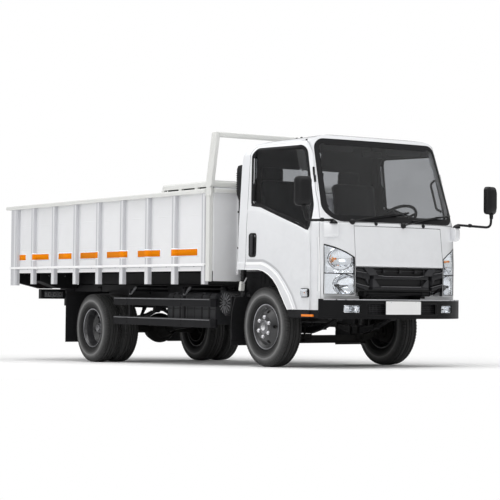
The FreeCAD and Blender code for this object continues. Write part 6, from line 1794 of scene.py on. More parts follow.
for s, side in ((-1, "right"), (1, "left")):
    mb = MB()
    # side sheet with pressed lines
    mb.box(-5.508, -0.776, s * (BH - 0.008), s * BH, 0.930, BT + 0.004, 0)
    for x0, x1, z0 in STK:
        corner = x0 < -5.4
        post = x0 > -1.0
        hat(mb, x0, x1, s, z0, BT, 0.020 if not (corner or post) else 0.006, 0.045)
        if not (corner or post):
            # flanges: the rear one in painted shade, the forward one in lighter painted half shade
            mb.box(x0, x0 + 0.022, s * BH, s * (BH + 0.003), 1.0055, BT, 3)
            mb.box(x1 - 0.022, x1, s * BH, s * (BH + 0.003), 1.0055, BT, 5)
            # weld beads
            for xx in (x0 + 0.0200, x1 - 0.0200):
                mb.tube([(xx, s * (BH + 0.0045), 1.012), (xx, s * (BH + 0.0045), BT - 0.006)], 0.0022, 5, 0)
    # lower band and rub rail, both in the painted highlight paint
    mb.prism([(s * (BH - 0.001), 0.930), (s * (BH + 0.0035), 0.932), (s * (BH + 0.0035), 0.990), (s * (BH - 0.001), 0.992)], "X", -5.506, -0.853, 4)
    # painted shadow line under the rub rail
    mb.box(-5.506, -0.853, s * (BH + 0.0030), s * (BH + 0.0042), 0.9730, 0.9825, 3)
    mb.prism([(s * BH, 0.9925), (s * (BH + 0.052), 0.9925), (s * (BH + 0.052), 0.982), (s * (BH + 0.056), 0.979), (s * (BH + 0.060), 0.982), (s * (BH + 0.060), 1.0015), (s * (BH + 0.056), 1.0055), (s * BH, 1.0055)], "X", -5.518, -0.853, 1)
    # short gussets under the rub rail at every stake
    for x0, x1, z0 in STK[1:-1]:
        for xx in (x0 - 0.012, x1 + 0.006):
            mb.prism([(s * BH, 0.992), (s * (BH + 0.038), 0.992), (s * (BH + 0.004), 0.948), (s * BH, 0.948)], "X", xx, xx + 0.005, 0)
    # drain holes drawn as small black discs in the band, painted shade in place of the holes
    for k in range(8):
        xc = -5.17 + k * 0.5646
        for dx in (0.08, 0.30):
            mb.lathe([(0.0, 0.0), (0.0, 0.007), (0.0015, 0.0065), (0.0015, 0.0)], (xc + dx, s * (BH + 0.0035), 0.978), "Y", 10, 2, sgn=s)
    # lower ends of the stakes in a lighter painted half shade, with two thin pressed lines drawn as painted shade
    for x0, x1, z0 in STK[1:-1]:
        a, b = x0 + 0.020, x1 - 0.020
        mb.box(a + 0.010, b - 0.010, s * (BH + 0.0448), s * (BH + 0.0462), z0 + 0.002, 0.980, 5)
        for t in (0.30, 0.62):
            xx = a + (b - a) * t
            mb.box(xx - 0.0022, xx + 0.0022, s * (BH + 0.0455), s * (BH + 0.0470), z0 + 0.004, 0.980, 3)
    mb.obj("bed_side_%s_body" % side, "bed", [BED, BED_HIGHLIGHT, SEAL, GREY_SHADE_AND_HIGHLIGHT, BED_HIGHLIGHT, BED_HALF_SHADE], bevel=0.0012, seg=1, angle=35)
    # top rail: rounded box section, its open end closed a little inside by a dark plate, painted shade
    mb = MB()
    sec = rounded([(s * 0.875, BT), (s * 0.963, BT), (s * 0.963, BT + 0.046), (s * 0.875, BT + 0.046)] if s > 0 else [(-0.963, BT), (-0.875, BT), (-0.875, BT + 0.046), (-0.963, BT + 0.046)], 0.012, 5)
    inn = grow(sec, -0.004)
    mb.loft([[Vector((x, y, z)) for y, z in sec] for x in (-0.853, -5.626)] + [[Vector((x, y, z)) for y, z in inn] for x in (-5.626, -5.600)], 0)
    mb.box(-5.601, -5.599, s * 0.881, s * 0.957, BT + 0.006, BT + 0.040, 1)
    o = mb.obj("bed_rail_" + side, "bed", [CREAM, UNDER], bevel=0.001, seg=1, angle=40)
    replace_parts(o, "bed_side_" + side)
    # pressed panel lines
    mb = MB()
    xs = [(-5.30, -4.950)] + [(-4.814 + 0.5646 * k, -4.386 + 0.5646 * k) for k in range(7)]
    for x0, x1 in xs:
        x1 = min(x1, -0.955)
        for z in (1.505, 1.215):
            mb.strip([Vector((x0 + (x1 - x0) * t, s * BH, z)) for t in (0, 0.25, 0.5, 0.75, 1)], [Vector((0, s, 0))] * 5, [(-0.006, -0.0008), (-0.0025, 0.0012), (0.0, 0.0016), (0.0025, 0.0012), (0.006, -0.0008)], 0)
    mb.obj("bed_side_seams_" + side, "bed", [BED], angle=60)
    # orange reflective strips with a pale painted highlight edge; they run up and over the stake flanges
    mb = MB()
    strips = [(-5.385, -5.15), (-4.875, -4.508), (-4.245, -3.905), (-3.68, -3.165), (-3.03, -2.552), (-2.32, -1.835), (-1.551, -1.074)]

    def prof_x(xa, xb, extra):
        """(x, out) of the wall and stakes between xa and xb."""
        P = [(xa, extra)]
        for x0, x1, z0 in STK[1:-1]:
            a, b = x0 + 0.020, x1 - 0.020
            for q, d in ((x0 - 0.0012, 0.0), (x0, 0.003), (a - 0.0005, 0.003), (a + 0.004, 0.039), (a + 0.010, 0.045), ((a + b) / 2 - 0.016, 0.045), ((a + b) / 2 - 0.010, 0.0466), ((a + b) / 2 + 0.010, 0.0466), ((a + b) / 2 + 0.016, 0.045), (b - 0.010, 0.045), (b - 0.004, 0.039), (b + 0.0005, 0.003), (x1, 0.003), (x1 + 0.0012, 0.0)):
                P.append((q, d + extra))
        P.append((xb, extra))
        P = [p for p in P if xa <= p[0] <= xb]
        P.sort(key=lambda p: p[0])

        def at_(x):
            best = 0.0
            for x0, x1, z0 in STK[1:-1]:
                a, b = x0 + 0.020, x1 - 0.020
                if a <= x <= b:
                    best = 0.045
                elif x0 <= x <= x1:
                    best = 0.003
            return best + extra
        if P[0][0] > xa + 1e-6 or True:
            P[0] = (xa, at_(xa))
            P[-1] = (xb, at_(xb))
        return P
    for xa, xb in strips:
        for za, zb, ex, mi in ((1.077, 1.169, 0.0012, 1), (1.089, 1.157, 0.0034, 0)):
            P = prof_x(xa - (0.014 if mi else 0), xb + (0.014 if mi else 0), ex)
            mb.loft([[Vector((x, s * (BH + d), za)) for x, d in P], [Vector((x, s * (BH + d), zb)) for x, d in P]], mi, closed_ring=False, caps=False)
    o = mb.obj("bed_strips_" + side, "bed", [ORANGE, STRIPE_HIGHLIGHT], angle=30, fix=False)
    sl_ = o.modifiers.new("thick", "SOLIDIFY")
    sl_.thickness = 0.0006
    sl_.offset = 0.0

# load floor: sheet with wear and seams
mb = MB()
mb.box(-5.500, -0.777, -0.8965, 0.8965, FT, FT + 0.0022, 0)
for k in range(9):
    x = -0.87 - 0.56 * k
    mb.box(x - 0.0015, x + 0.0015, -0.896, 0.896, FT + 0.0020, FT + 0.0026, 1)
mb.box(-5.498, -0.779, -0.0015, 0.0015, FT + 0.0020, FT + 0.0026, 1)
mb.obj("bed_floor_sheet", "bed", [BEDIN, UNDER], bevel=0.0005, seg=1)

# front wall: ribs, top rail
cad_copy("bed_front_wall", "bed", BED, 0.004, 2)
mb = MB()
for z in (1.505, 1.215):
    mb.box(-0.7685, -0.7662, -0.903, 0.903, z - 0.002, z + 0.002, 0)
sec = rounded([(-0.7805, BT - 0.001), (-0.7345, BT - 0.001), (-0.7345, BT + 0.047), (-0.7805, BT + 0.047)], 0.012, 5)
mb.loft([[Vector((x, y, z)) for x, z in sec] for y in (-0.9055, 0.9055)], 1)
mb.obj("bed_front_rail", "bed", [BED, CREAM], angle=40)

cad_copy("tailgate", "tailgate", BED, 0.003, 2)
mb = MB()
# pin washers, a small plate and a chain hook each side
for s in (-1, 1):
    mb.lathe([(0.0, 0.013), (0.0, 0.024), (0.004, 0.024), (0.004, 0.0)], (-5.590, s * 0.9195, 1.737), "Y", 20, 1, sgn=s)
    mb.box(-5.5565, -5.520, s * 0.852, s * 0.858, 1.02, 1.10, 0)
    mb.tube(bent([(-5.560, s * 0.855, 1.055), (-5.585, s * 0.855, 1.055), (-5.585, s * 0.855, 1.105), (-5.572, s * 0.855, 1.112)], 0.010, 4), 0.007, 8, 1)
mb.obj("tailgate_fittings", "tailgate", [BED, NUT], bevel=0.001, seg=1)

# latch hooks on the bed's rear bolster
mb = MB()
for s in (-1, 1):
    mb.box(-5.512, -5.470, s * 0.842, s * 0.868, 0.900, 0.960, 0)
    mb.tube(bent([(-5.470, s * 0.855, 0.905), (-5.505, s * 0.855, 0.905), (-5.512, s * 0.855, 0.940)], 0.012, 4), 0.008, 8, 1)
for y in (-0.60, -0.20, 0.20, 0.60):
    mb.prism([(-5.449, 0.775 + 0.02), (-5.405, 0.795), (-5.405, 0.925), (-5.449, 0.925)], "Y", y - 0.004, y + 0.004, 0)
mb.obj("bed_latches", "bed", [FRAME, NUT], bevel=0.001, seg=1)

# ------------------------------------------------------------------ guard frame and deck plate
mb = MB()
for s in (-1, 1):
    outer = [(-0.853, 0.825), (-0.783, 0.825), (-0.783, 1.770), (-0.753, 1.790), (-0.753, 1.830), (-0.664, 2.270), (-0.664, 2.320), (-0.752, 2.320), (-0.853, 1.850)]
    mb.prism(outer, "Y", s * 0.905, s * 0.950, 0)
o = mb.obj("guard_posts", "bed", [CREAM], bevel=0.009, seg=3)
mb = MB()
sec = rounded([(-0.752, 2.272), (-0.664, 2.272), (-0.664, 2.320), (-0.752, 2.320)], 0.010, 5)
mb.loft([[Vector((x, y, z)) for x, z in sec] for y in (-0.906, 0.906)], 0)
for s in (-1, 1):
    mb.tube([(-0.756, s * 0.9045, 2.268), (-0.662, s * 0.9045, 2.268)], 0.003, 6, 0)
    # clamp plate where the post meets the rail
    mb.box(-0.856, -0.748, s * 0.9495, s * 0.9535, BT - 0.035, BT + 0.050, 0)
    for dz in (-0.020, 0.034):
        for dx in (-0.835, -0.770):
            mb.hexnut((dx, s * 0.9535, BT + dz), "Y", 0.016, 0.008, s, 1)
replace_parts(mb.obj("guard_bar", "bed", [CREAM, CREAM], bevel=0.0012, seg=1, angle=40), "guard_frame")
DR = 1.795
pl = rounded([(-DR, -0.940), (-0.780, -0.940), (-0.780, 0.940), (-DR, 0.940)], [0.070, 0.010, 0.010, 0.070], 8)
mb = MB()
layers = [(-0.004, 1.778), (0.0, 1.786), (0.0, 1.818), (-0.005, 1.831), (-0.014, 1.838), (-0.030, 1.840)]
mb.loft([[Vector((x, y, z)) for x, y in grow(pl, g)] for g, z in layers], 0)
mb.obj("deck_plate", "bed", [CREAM], angle=50)
mb = MB()
for s in (-1, 1):
    for k in range(4):
        x = (-0.815, -1.070, -1.390, -1.745)[k]
        mb.box(x - 0.028, x + 0.028, s * 0.900, s * 0.936, 1.758, 1.782, 0)
        mb.hexnut((x, s * 0.918, 1.7605), "Z", 0.014, 0.010, 1, 1)
    # dark strip behind the feet: painted shade in the gap under the deck plate
    mb.box(-1.70, -0.80, s * 0.886, s * 0.898, 1.7602, 1.779, 1)
mb.obj("deck_feet", "bed", [CREAM, UNDER], bevel=0.003, seg=2)

# ------------------------------------------------------------------ side guards
o = cad_copy("side_guards", "chassis", GUARDM, 0.006, 3)
mb = MB()
for s in (-1, 1):
    for z0, z1 in ((0.568, 0.652), (0.356, 0.444)):
        # painted highlight: light edge on top of the rails
        mb.prism([(s * 0.832, z1 - 0.001), (s * 0.858, z1 - 0.001), (s * 0.856, z1 + 0.0012), (s * 0.834, z1 + 0.0012)], "X", -2.940, -0.882, 0)
        mb.box(-2.946, -2.942, s * 0.830, s * 0.860, z0 + 0.008, z1 - 0.008, 2)
        for x in (-2.640, -1.475):
            for dz in (-0.022, 0.022):
                c = (x, s * 0.862, (z0 + z1) / 2 + dz)
                mb.lathe([(0.0, 0.0085), (0.003, 0.0075), (0.005, 0.004), (0.0055, 0.0)], c, "Y", 12, 1, sgn=s)
    # painted highlight line just under the top edge of each rail face
    for z1 in (0.652, 0.444):
        mb.prism([(s * 0.8605, z1 - 0.016), (s * 0.8628, z1 - 0.013), (s * 0.8628, z1 - 0.007), (s * 0.8600, z1 - 0.003)], "X", -2.935, -0.905, 3)
mb.obj("guard_details", "chassis", [GUARD_DARKGREY_AND_HIGHLIGHT, GUARDM, UNDER, GUARD_GREY_AND_HIGHLIGHT], angle=40)

# struts that lean out over the tank
mb = MB()
for s in (-1, 1):
    for x in (-2.640, -1.475):
        mb.tube(bent([(x + 0.010, s * 0.360, 0.772), (x + 0.010, s * 0.735, 0.772), (x, s * 0.822, 0.675), (x, s * 0.824, 0.600)], 0.03, 5), 0.017, 10, 1, flat=0.7)
        # lighter sleeve over the bend: painted highlight
        mb.tube([(x + 0.012, s * 0.752, 0.764), (x + 0.006, s * 0.826, 0.682)], 0.0182, 10, 0, flat=0.75)
mb.obj("guard_struts", "chassis", [GUARD_GREY_AND_HIGHLIGHT, GUARDM], angle=50)

# ------------------------------------------------------------------ fuel tank
o = cad_copy("fuel_tank", "chassis", TANKM, 0.010, 3)
mb = MB()
tk = [(-0.760, 0.420), (-0.760, 0.676), (-0.735, 0.706), (-0.425, 0.706), (-0.400, 0.676), (-0.400, 0.420), (-0.425, 0.392), (-0.735, 0.392)]
for x in (-1.800, -1.660, -1.220, -1.075):
    ring = rounded(tk, 0.020, 4)
    P = [Vector((x, y, z)) for y, z in resample(ring, 0.03)]
    C = Vector((x, -0.58, 0.549))
    N = []
    for p in P:
        d = p - C
        n = Vector((0, d.y / 0.18, d.z / 0.157))
        N.append(Vector((0, n.y if abs(n.y) > abs(n.z) * 0.9 else 0, n.z if abs(n.z) > abs(n.y) * 0.9 else 0)).normalized())
    mb.strip(P, N, [(-0.019, -0.004), (-0.019, 0.0025), (-0.015, 0.0042), (0.015, 0.0042), (0.019, 0.0025), (0.019, -0.004)], 0, True)
# pressed panel lines on the tank's side
for x in (-1.87, -1.50, -1.36):
    mb.box(x - 0.002, x + 0.002, -0.7618, -0.7596, 0.43, 0.67, 1)
mb.box(-1.895, -0.962, -0.7618, -0.7596, 0.540, 0.5445, 1)
# filler cap with grip ribs
mb.lathe([(0.0, 0.044), (0.004, 0.044), (0.006, 0.040), (0.022, 0.040), (0.030, 0.036), (0.033, 0.026), (0.0335, 0.0)], (-1.040, -0.600, 0.7385), "Z", 28, 2)
for k in range(14):
    a = 2 * math.pi * k / 14
    mb.box(-1.040 + 0.0400 * math.cos(a) - 0.003, -1.040 + 0.0400 * math.cos(a) + 0.003, -0.600 + 0.0400 * math.sin(a) - 0.003, -0.600 + 0.0400 * math.sin(a) + 0.003, 0.744, 0.760, 2)
mb.obj("tank_straps", "chassis", [FRAME, UNDER, TRIM], bevel=0.0010, seg=1, angle=40)

# ------------------------------------------------------------------ battery box
cad_copy("battery_box", "chassis", TRIM, 0.003, 2)
mb = MB()
mb.box(-1.334, -0.926, 0.416, 0.774, 0.664, 0.672, 0)
for x in (-1.25, -1.01):
    mb.box(x - 0.012, x + 0.012, 0.768, 0.777, 0.60, 0.70, 1)
    mb.cyl((x, 0.778, 0.685), "Y", 0.010, 0.010, 12, 1, ch=0.002)
for k in range(5):
    mb.box(-1.29, -0.97, 0.7695, 0.7725, 0.445 + 0.028 * k, 0.451 + 0.028 * k, 0)
mb.obj("battery_box_trim", "chassis", [TRIM, NUT], bevel=0.0015, seg=1)

# ------------------------------------------------------------------ air cleaner and intake duct
mb = MB()
yc = -0.735
c = (-0.800, yc, 0.610)
mb.lathe([(0.0, 0.0), (0.0, 0.030), (0.006, 0.034), (0.006, 0.108), (-0.002, 0.1195), (-0.030, 0.1215), (-0.034, 0.1185), (-0.245, 0.1185), (-0.250, 0.110), (-0.250, 0.0)][::-1], c, "Y", 48, 0, sgn=-1)
for k in range(16):
    a = 2 * math.pi * k / 16
    ca, sa = math.cos(a), math.sin(a)
    P = []
    for r, h in ((0.030, 0.004), (0.036, 0.011), (0.100, 0.013), (0.110, 0.004)):
        P.append((r, h))
    w2 = 0.0028
    lo = [Vector((c[0] + r * ca - w2 * sa, yc - h, c[2] + r * sa + w2 * ca)) for r, h in P] + [Vector((c[0] + r * ca - w2 * sa, yc + 0.002, c[2] + r * sa + w2 * ca)) for r, h in reversed(P)]
    hi = [Vector((c[0] + r * ca + w2 * sa, yc - h, c[2] + r * sa - w2 * ca)) for r, h in P] + [Vector((c[0] + r * ca + w2 * sa, yc + 0.002, c[2] + r * sa - w2 * ca)) for r, h in reversed(P)]
    mb.loft([lo, hi], 1)
mb.lathe([(0.0, 0.0), (0.0, 0.024), (0.010, 0.022), (0.014, 0.012), (0.016, 0.0)], (c[0], yc - 0.005, c[2]), "Y", 20, 2, sgn=-1)
for a in (0.6, 2.7, 4.7):
    mb.box(c[0] + 0.120 * math.cos(a) - 0.010, c[0] + 0.120 * math.cos(a) + 0.010, yc + 0.004, yc + 0.052, c[2] + 0.120 * math.sin(a) - 0.006, c[2] + 0.120 * math.sin(a) + 0.006, 2)
mb.obj("air_cleaner_face", "chassis", [TRIM, GUARD_GREY_AND_HIGHLIGHT, GUARD_DARKGREY_AND_HIGHLIGHT], bevel=0.0008, seg=1, angle=40)
mb = MB()
def duct_ring(x0, x1, y0, y1, z, r):
    return [Vector((x, y, z)) for x, y in rounded([(x0, y0), (x1, y0), (x1, y1), (x0, y1)], r, 5)]


mb.loft([duct_ring(-0.574, -0.496, -0.742, -0.656, 0.975, 0.016), duct_ring(-0.574, -0.496, -0.742, -0.656, 1.630, 0.016),
         duct_ring(-0.580, -0.492, -0.752, -0.652, 1.665, 0.020), duct_ring(-0.590, -0.490, -0.760, -0.650, 1.700, 0.022),
         duct_ring(-0.590, -0.490, -0.760, -0.650, 1.945, 0.024), duct_ring(-0.584, -0.494, -0.752, -0.654, 1.978, 0.026), duct_ring(-0.566, -0.506, -0.730, -0.666, 1.989, 0.020)], 0)
for k in range(9):
    mb.box(-0.584, -0.496, -0.7615, -0.7585, 1.725 + 0.022 * k, 1.733 + 0.022 * k, 1)
for z in (1.16, 1.52):
    mb.box(-0.577, -0.493, -0.745, -0.653, z - 0.010, z + 0.010, 1)
# neck with a bellows joint, elbow to the drum, band stay
mb.loft([duct_ring(-0.588, -0.532, -0.698, -0.652, 0.650, 0.014), duct_ring(-0.588, -0.532, -0.698, -0.652, 0.985, 0.014)], 0)
for k in range(6):
    mb.loft([duct_ring(-0.590, -0.530, -0.700, -0.650, 0.745 + 0.030 * k, 0.016), duct_ring(-0.593, -0.527, -0.703, -0.647, 0.751 + 0.030 * k, 0.016), duct_ring(-0.590, -0.530, -0.700, -0.650, 0.757 + 0.030 * k, 0.016)], 0)
mb.tube(bent([(-0.758, -0.660, 0.668), (-0.560, -0.672, 0.668), (-0.560, -0.675, 0.760)], 0.055, 6), 0.027, 18, 0)
mb.lathe([(0.0, 0.100), (0.0, 0.112), (0.010, 0.114), (0.014, 0.1185), (0.232, 0.1175), (0.240, 0.110), (0.240, 0.0)], (-0.800, -0.490, 0.610), "Y", 40, 0, sgn=-1)
mb.prism([(-0.828, 0.592), (-0.772, 0.592), (-0.772, 0.638), (-0.828, 0.638)], "Y", -0.490, -0.352, 1)
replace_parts(mb.obj("intake_duct_trim", "chassis", [TRIM, GUARDM], bevel=0.001, seg=1, angle=45), "air_intake")

# white reservoir and bracket beside the air cleaner
mb = MB()
mb.loft([[Vector((x, y, z)) for x, z in rounded([(-0.532, 0.735), (-0.486, 0.732), (-0.474, 0.822), (-0.508, 0.832)], 0.014, 4)] for y in (-0.756, -0.712)], 0)
mb.lathe([(0.0, 0.016), (0.012, 0.016), (0.016, 0.012), (0.016, 0.0)], (-0.495, -0.734, 0.828), "Z", 20, 1)
mb.tube(smooth_path([(-0.480, -0.735, 0.800), (-0.445, -0.735, 0.828), (-0.412, -0.735, 0.862)], False, 6), 0.0075, 8, 2)
mb.tube(smooth_path([(-0.500, -0.72, 0.736), (-0.505, -0.70, 0.70), (-0.50, -0.62, 0.64), (-0.52, -0.50, 0.60)], False, 6), 0.009, 8, 1)
mb.box(-0.520, -0.480, -0.7125, -0.700, 0.70, 0.80, 1)
mb.obj("reservoir", "chassis", [WHITEP, TRIM, ALU], bevel=0.004, seg=2)

# ------------------------------------------------------------------ mudguards and flaps
cad_copy("mudguards", "chassis", FLAP, 0.003, 2)
mb = MB()
for s in (-1, 1):
    for k in range(5):
        y = s * (0.53 + 0.06 * k)
        mb.box(-0.578, -0.574, y - 0.006, y + 0.006, 0.20, 0.32, 0)
    for k in range(6):
        y = s * (0.52 + 0.065 * k)
        mb.box(-4.049, -4.045, y - 0.008, y + 0.008, 0.135, 0.640, 0)
        mb.hexnut((-4.0565, y, 0.700), "X", 0.016, 0.007, -1, 1)
    mb.box(-4.051, -4.045, s * 0.480, s * 0.895, 0.655, 0.690, 1)
mb.obj("flap_ribs", "chassis", [FLAP, FRAME], bevel=0.0015, seg=1)

# ------------------------------------------------------------------ tail lamps
mb = MB()
for s in (-1, 1):
    y0, y1 = (0.372, 0.700)
    mb.box(-5.2045, -5.130, s * y0, s * y1, 0.618, 0.738, 0)
    # red, amber and clear cells on the rear face
    for a, b, mi in ((0.385, 0.480, 1), (0.484, 0.585, 2), (0.589, 0.688, 3)):
        mb.box(-5.2065, -5.200, s * a, s * b, 0.632, 0.722, mi)
        for k in range(5):
            mb.box(-5.2078, -5.206, s * (a + 0.006), s * (b - 0.006), 0.640 + 0.017 * k, 0.643 + 0.017 * k, mi)
    # front face of the box with wiring boss, top strip
    mb.box(-5.134, -5.1285, s * (y0 + 0.020), s * (y1 - 0.014), 0.628, 0.708, 4)
    mb.box(-5.1295, -5.1265, s * 0.405, s * 0.655, 0.640, 0.706, 6)
    for k, yy in enumerate((0.445, 0.520, 0.590)):
        mb.lathe([(0.0, 0.011), (0.0, 0.026), (0.006, 0.025), (0.006, 0.012)], (-5.1267, s * yy, 0.673), "X", 18, 5)
    mb.box(-5.1270, -5.1235, s * 0.625, s * 0.648, 0.655, 0.690, 5)
    mb.box(-5.1320, -5.1265, s * (y0 + 0.004), s * (y1 - 0.004), 0.7290, 0.7375, 5)
    mb.box(-5.20, -5.14, s * 0.350, s * 0.3725, 0.640, 0.700, 0)
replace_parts(mb.obj("tail_lamp_boxes", "chassis", [TRIM, REDP, AMBERP, WHITEP, FRAME, ALU, GUARD_GREY_AND_HIGHLIGHT], bevel=0.0015, seg=2), "tail_lamps")

# ------------------------------------------------------------------ silencer, engine, radiator, shaft
mb = MB()
for x in (-2.06, -2.24, -2.44, -1.86):
    mb.lathe([(-0.014, 0.1045), (-0.012, 0.1085), (0.012, 0.1085), (0.014, 0.1045)], (x, 0.560, 0.560), "X", 40, 0)
mb.lathe([(0.0, 0.0305), (0.020, 0.0320), (0.022, 0.0285)], (-2.795, 0.560, 0.560), "X", 24, 1)
mb.obj("silencer_bands", "chassis", [ALU, ALU], angle=40)
mb = MB()
# rocker cover with ribs, oil pan flange, belts and fan, intake pipes, gearbox bell
mb.loft([[Vector((x, y, z)) for y, z in rounded([(-0.120, 0.862), (0.120, 0.862), (0.105, 0.905), (-0.105, 0.905)], 0.014, 4)] for x in (-0.395, 0.445)], 1)
for k in range(9):
    x = -0.34 + 0.092 * k
    mb.box(x - 0.006, x + 0.006, -0.112, 0.112, 0.903, 0.913, 1)
for s in (-1, 1):
    for k in range(7):
        x = -0.36 + 0.14 * k
        mb.box(x - 0.010, x + 0.010, s * 0.224, s * 0.236, 0.60, 0.85, 0)
    mb.tube(bent([(-0.32, s * 0.240, 0.80), (0.44, s * 0.240, 0.80), (0.52, s * 0.180, 0.83)], 0.04, 5), 0.030 if s > 0 else 0.022, 12, 1 if s > 0 else 0)
    mb.box(-0.436, 0.566, s * 0.228, s * 0.234, 0.618, 0.632, 0)
mb.box(-0.30, 0.42, -0.170, 0.170, 0.480, 0.562, 0)
mb.box(-0.32, 0.44, -0.185, 0.185, 0.552, 0.564, 0)
mb.lathe([(0.0, 0.0), (0.0, 0.045), (0.030, 0.048), (0.034, 0.0)], (0.560, 0, 0.760), "X", 24, 1)
for k in range(8):
    a = 2 * math.pi * k / 8
    d = Vector((0, math.cos(a), math.sin(a)))
    e = Vector((0, -math.sin(a), math.cos(a)))
    cc = Vector((0.582, 0, 0.760))
    mb.loft([[cc + d * r + e * wv + Vector((tw, 0, 0)), cc + d * r - e * wv - Vector((tw, 0, 0)), cc + d * r - e * wv - Vector((tw - 0.004, 0, 0)), cc + d * r + e * wv + Vector((tw + 0.004, 0, 0))] for r, wv, tw in ((0.040, 0.018, 0.010), (0.120, 0.040, 0.014), (0.125 + 0.005, 0.042, 0.014))], 2)
# gearbox ribs and rear flange
for k in range(5):
    x = -0.52 - 0.12 * k
    mb.box(x - 0.008, x + 0.008, -0.158, 0.158, 0.432, 0.706, 0)
mb.lathe([(0.0, 0.0), (0.0, 0.060), (-0.020, 0.060), (-0.024, 0.040), (-0.030, 0.0)], (-1.096, 0, 0.520), "X", 24, 0)
mb.obj("engine_details", "chassis", [CAST, ALU, TRIM], bevel=0.004, seg=2)
mb = MB()
for k in range(40):
    z = 0.640 + 0.0066 * k
    mb.box(0.8795, 0.8825, -0.270, 0.270, z, z + 0.0022, 0)
for s in (-1, 1):
    mb.box(0.826, 0.886, s * 0.272, s * 0.289, 0.617, 0.918, 1)
mb.box(0.826, 0.886, -0.289, 0.289, 0.612, 0.634, 1)
mb.box(0.826, 0.886, -0.289, 0.289, 0.902, 0.920, 1)
mb.obj("radiator_fins", "chassis", [MESHM, TRIM], bevel=0.0010, seg=1)
# propeller shaft: joints and flanges at both ends, welded collars
mb = MB()
A, B = Vector((-1.110, 0, 0.520)), Vector((-3.194, 0, 0.305))
D_ = (B - A).normalized()
S1 = Vector((0, 1, 0))
S2 = D_.cross(S1).normalized()


def ring_at(t, r, n=28):
    cc = A + D_ * t
    return [cc + (S1 * math.cos(2 * math.pi * k / n) + S2 * math.sin(2 * math.pi * k / n)) * r for k in range(n)]


Lp = (B - A).length
for t0, dr in ((0.0, 1), (Lp, -1)):
    mb.loft([ring_at(t0 + dr * a, r) for a, r in ((0.004, 0.0), (0.004, 0.056), (0.020, 0.058), (0.026, 0.044), (0.060, 0.042), (0.075, 0.046), (0.110, 0.046), (0.120, 0.0385), (0.150, 0.0385))], 0, caps=False)
    cc = A + D_ * (t0 + dr * 0.045)
    for q in range(4):
        dd = (S1 if q % 2 == 0 else S2) * (1 if q < 2 else -1)
        mb.tube([cc, cc + dd * 0.050], 0.017, 12, 0)
    for q in range(6):
        a = math.pi / 3 * q + 0.4
        pp = A + D_ * (t0 + dr * 0.018) + (S1 * math.cos(a) + S2 * math.sin(a)) * 0.050
        mb.tube([pp, pp + D_ * dr * 0.012], 0.0065, 6, 1)
mb.obj("shaft_joints", "chassis", [CAST, NUT], angle=40)

# ------------------------------------------------------------------ springs, dampers, brackets
mb = MB()
for s in (-1, 1):
    for xc, yc, zs, ze, half, wd, nleaf in ((0.0, 0.320, 0.325, 0.470, 0.560, 0.030, 3), (-3.410, 0.412, 0.372, 0.500, 0.640, 0.033, 6)):
        # leaf lines along both faces
        for f in (-1, 1):
            for j in range(1, nleaf):
                P = []
                for k in range(-8, 9):
                    t = k / 8
                    zz = zs + (ze - zs) * (t * t) * 0.92
                    th = 0.060 * (1 - 0.55 * abs(t))
                    P.append(Vector((xc + t * half * 0.93, s * yc + f * (wd + 0.0005), zz + th * j / nleaf)))
                mb.strip(P, [Vector((0, f, 0))] * len(P), [(-0.0016, -0.001), (-0.0016, 0.0012), (0.0016, 0.0012), (0.0016, -0.001)], 1)
        # clips
        for t in (-0.55, 0.55):
            zz = zs + (ze - zs) * t * t
            mb.box(xc + t * half - 0.014, xc + t * half + 0.014, s * yc - wd - 0.006, s * yc + wd + 0.006, zz - 0.004, zz + 0.052, 0)
        # U-bolts, top plate and nuts
        top = zs + 0.064
        mb.box(xc - 0.085, xc + 0.085, s * yc - wd - 0.014, s * yc + wd + 0.014, top, top + 0.014, 0)
        for dx in (-0.060, 0.060):
            for f in (-1, 1):
                yb = s * yc + f * (wd + 0.008)
                mb.tube([(xc + dx, yb, zs - 0.075), (xc + dx, yb, top + 0.030)], 0.0078, 8, 2)
                mb.hexnut((xc + dx, yb, top + 0.014), "Z", 0.024, 0.014, 1, 2)
        # pin ends
        for e in (-1, 1):
            for f in (-1, 1):
                mb.lathe([(0.0, 0.0), (0.0, 0.020), (0.004, 0.020), (0.006, 0.014), (0.012, 0.014), (0.013, 0.0)], (xc + e * (half + 0.006), s * yc + f * wd, ze + 0.008), "Y", 16, 2, sgn=f)
    # dampers
    for a, b in (((-0.16, s * 0.405, 0.640), (-0.10, s * 0.400, 0.330)), ((-3.16, s * 0.300, 0.640), (-3.34, s * 0.300, 0.400))):
        a, b = Vector(a), Vector(b)
        m = a.lerp(b, 0.52)
        mb.tube([a, m], 0.024, 14, 0)
        mb.tube([m, b], 0.019, 14, 0)
        for q in (a, b):
            mb.lathe([(-0.018, 0.0), (-0.018, 0.020), (0.018, 0.020), (0.018, 0.0)], tuple(q), "Y", 14, 0)
mb.obj("spring_details", "chassis", [FRAME, UNDER, CAST], bevel=0.0008, seg=1, angle=40)

# guide plates inside the sub-frame, rising between the sills of the load body
mb = MB()
for s in (-1, 1):
    mb.prism([(s * 0.2912, 0.750), (s * 0.2912, 0.786), (s * 0.2830, 0.792), (s * 0.2830, 0.818), (s * 0.2760, 0.818), (s * 0.2760, 0.750)], "X", -4.95, -0.870, 0)
    for k in range(14):
        mb.hexnut((-1.02 - 0.29 * k, s * 0.2760, 0.768), "Y", 0.014, 0.005, -s, 1)
mb.obj("body_guides", "chassis", [FRAME, NUT], bevel=0.001, seg=1)

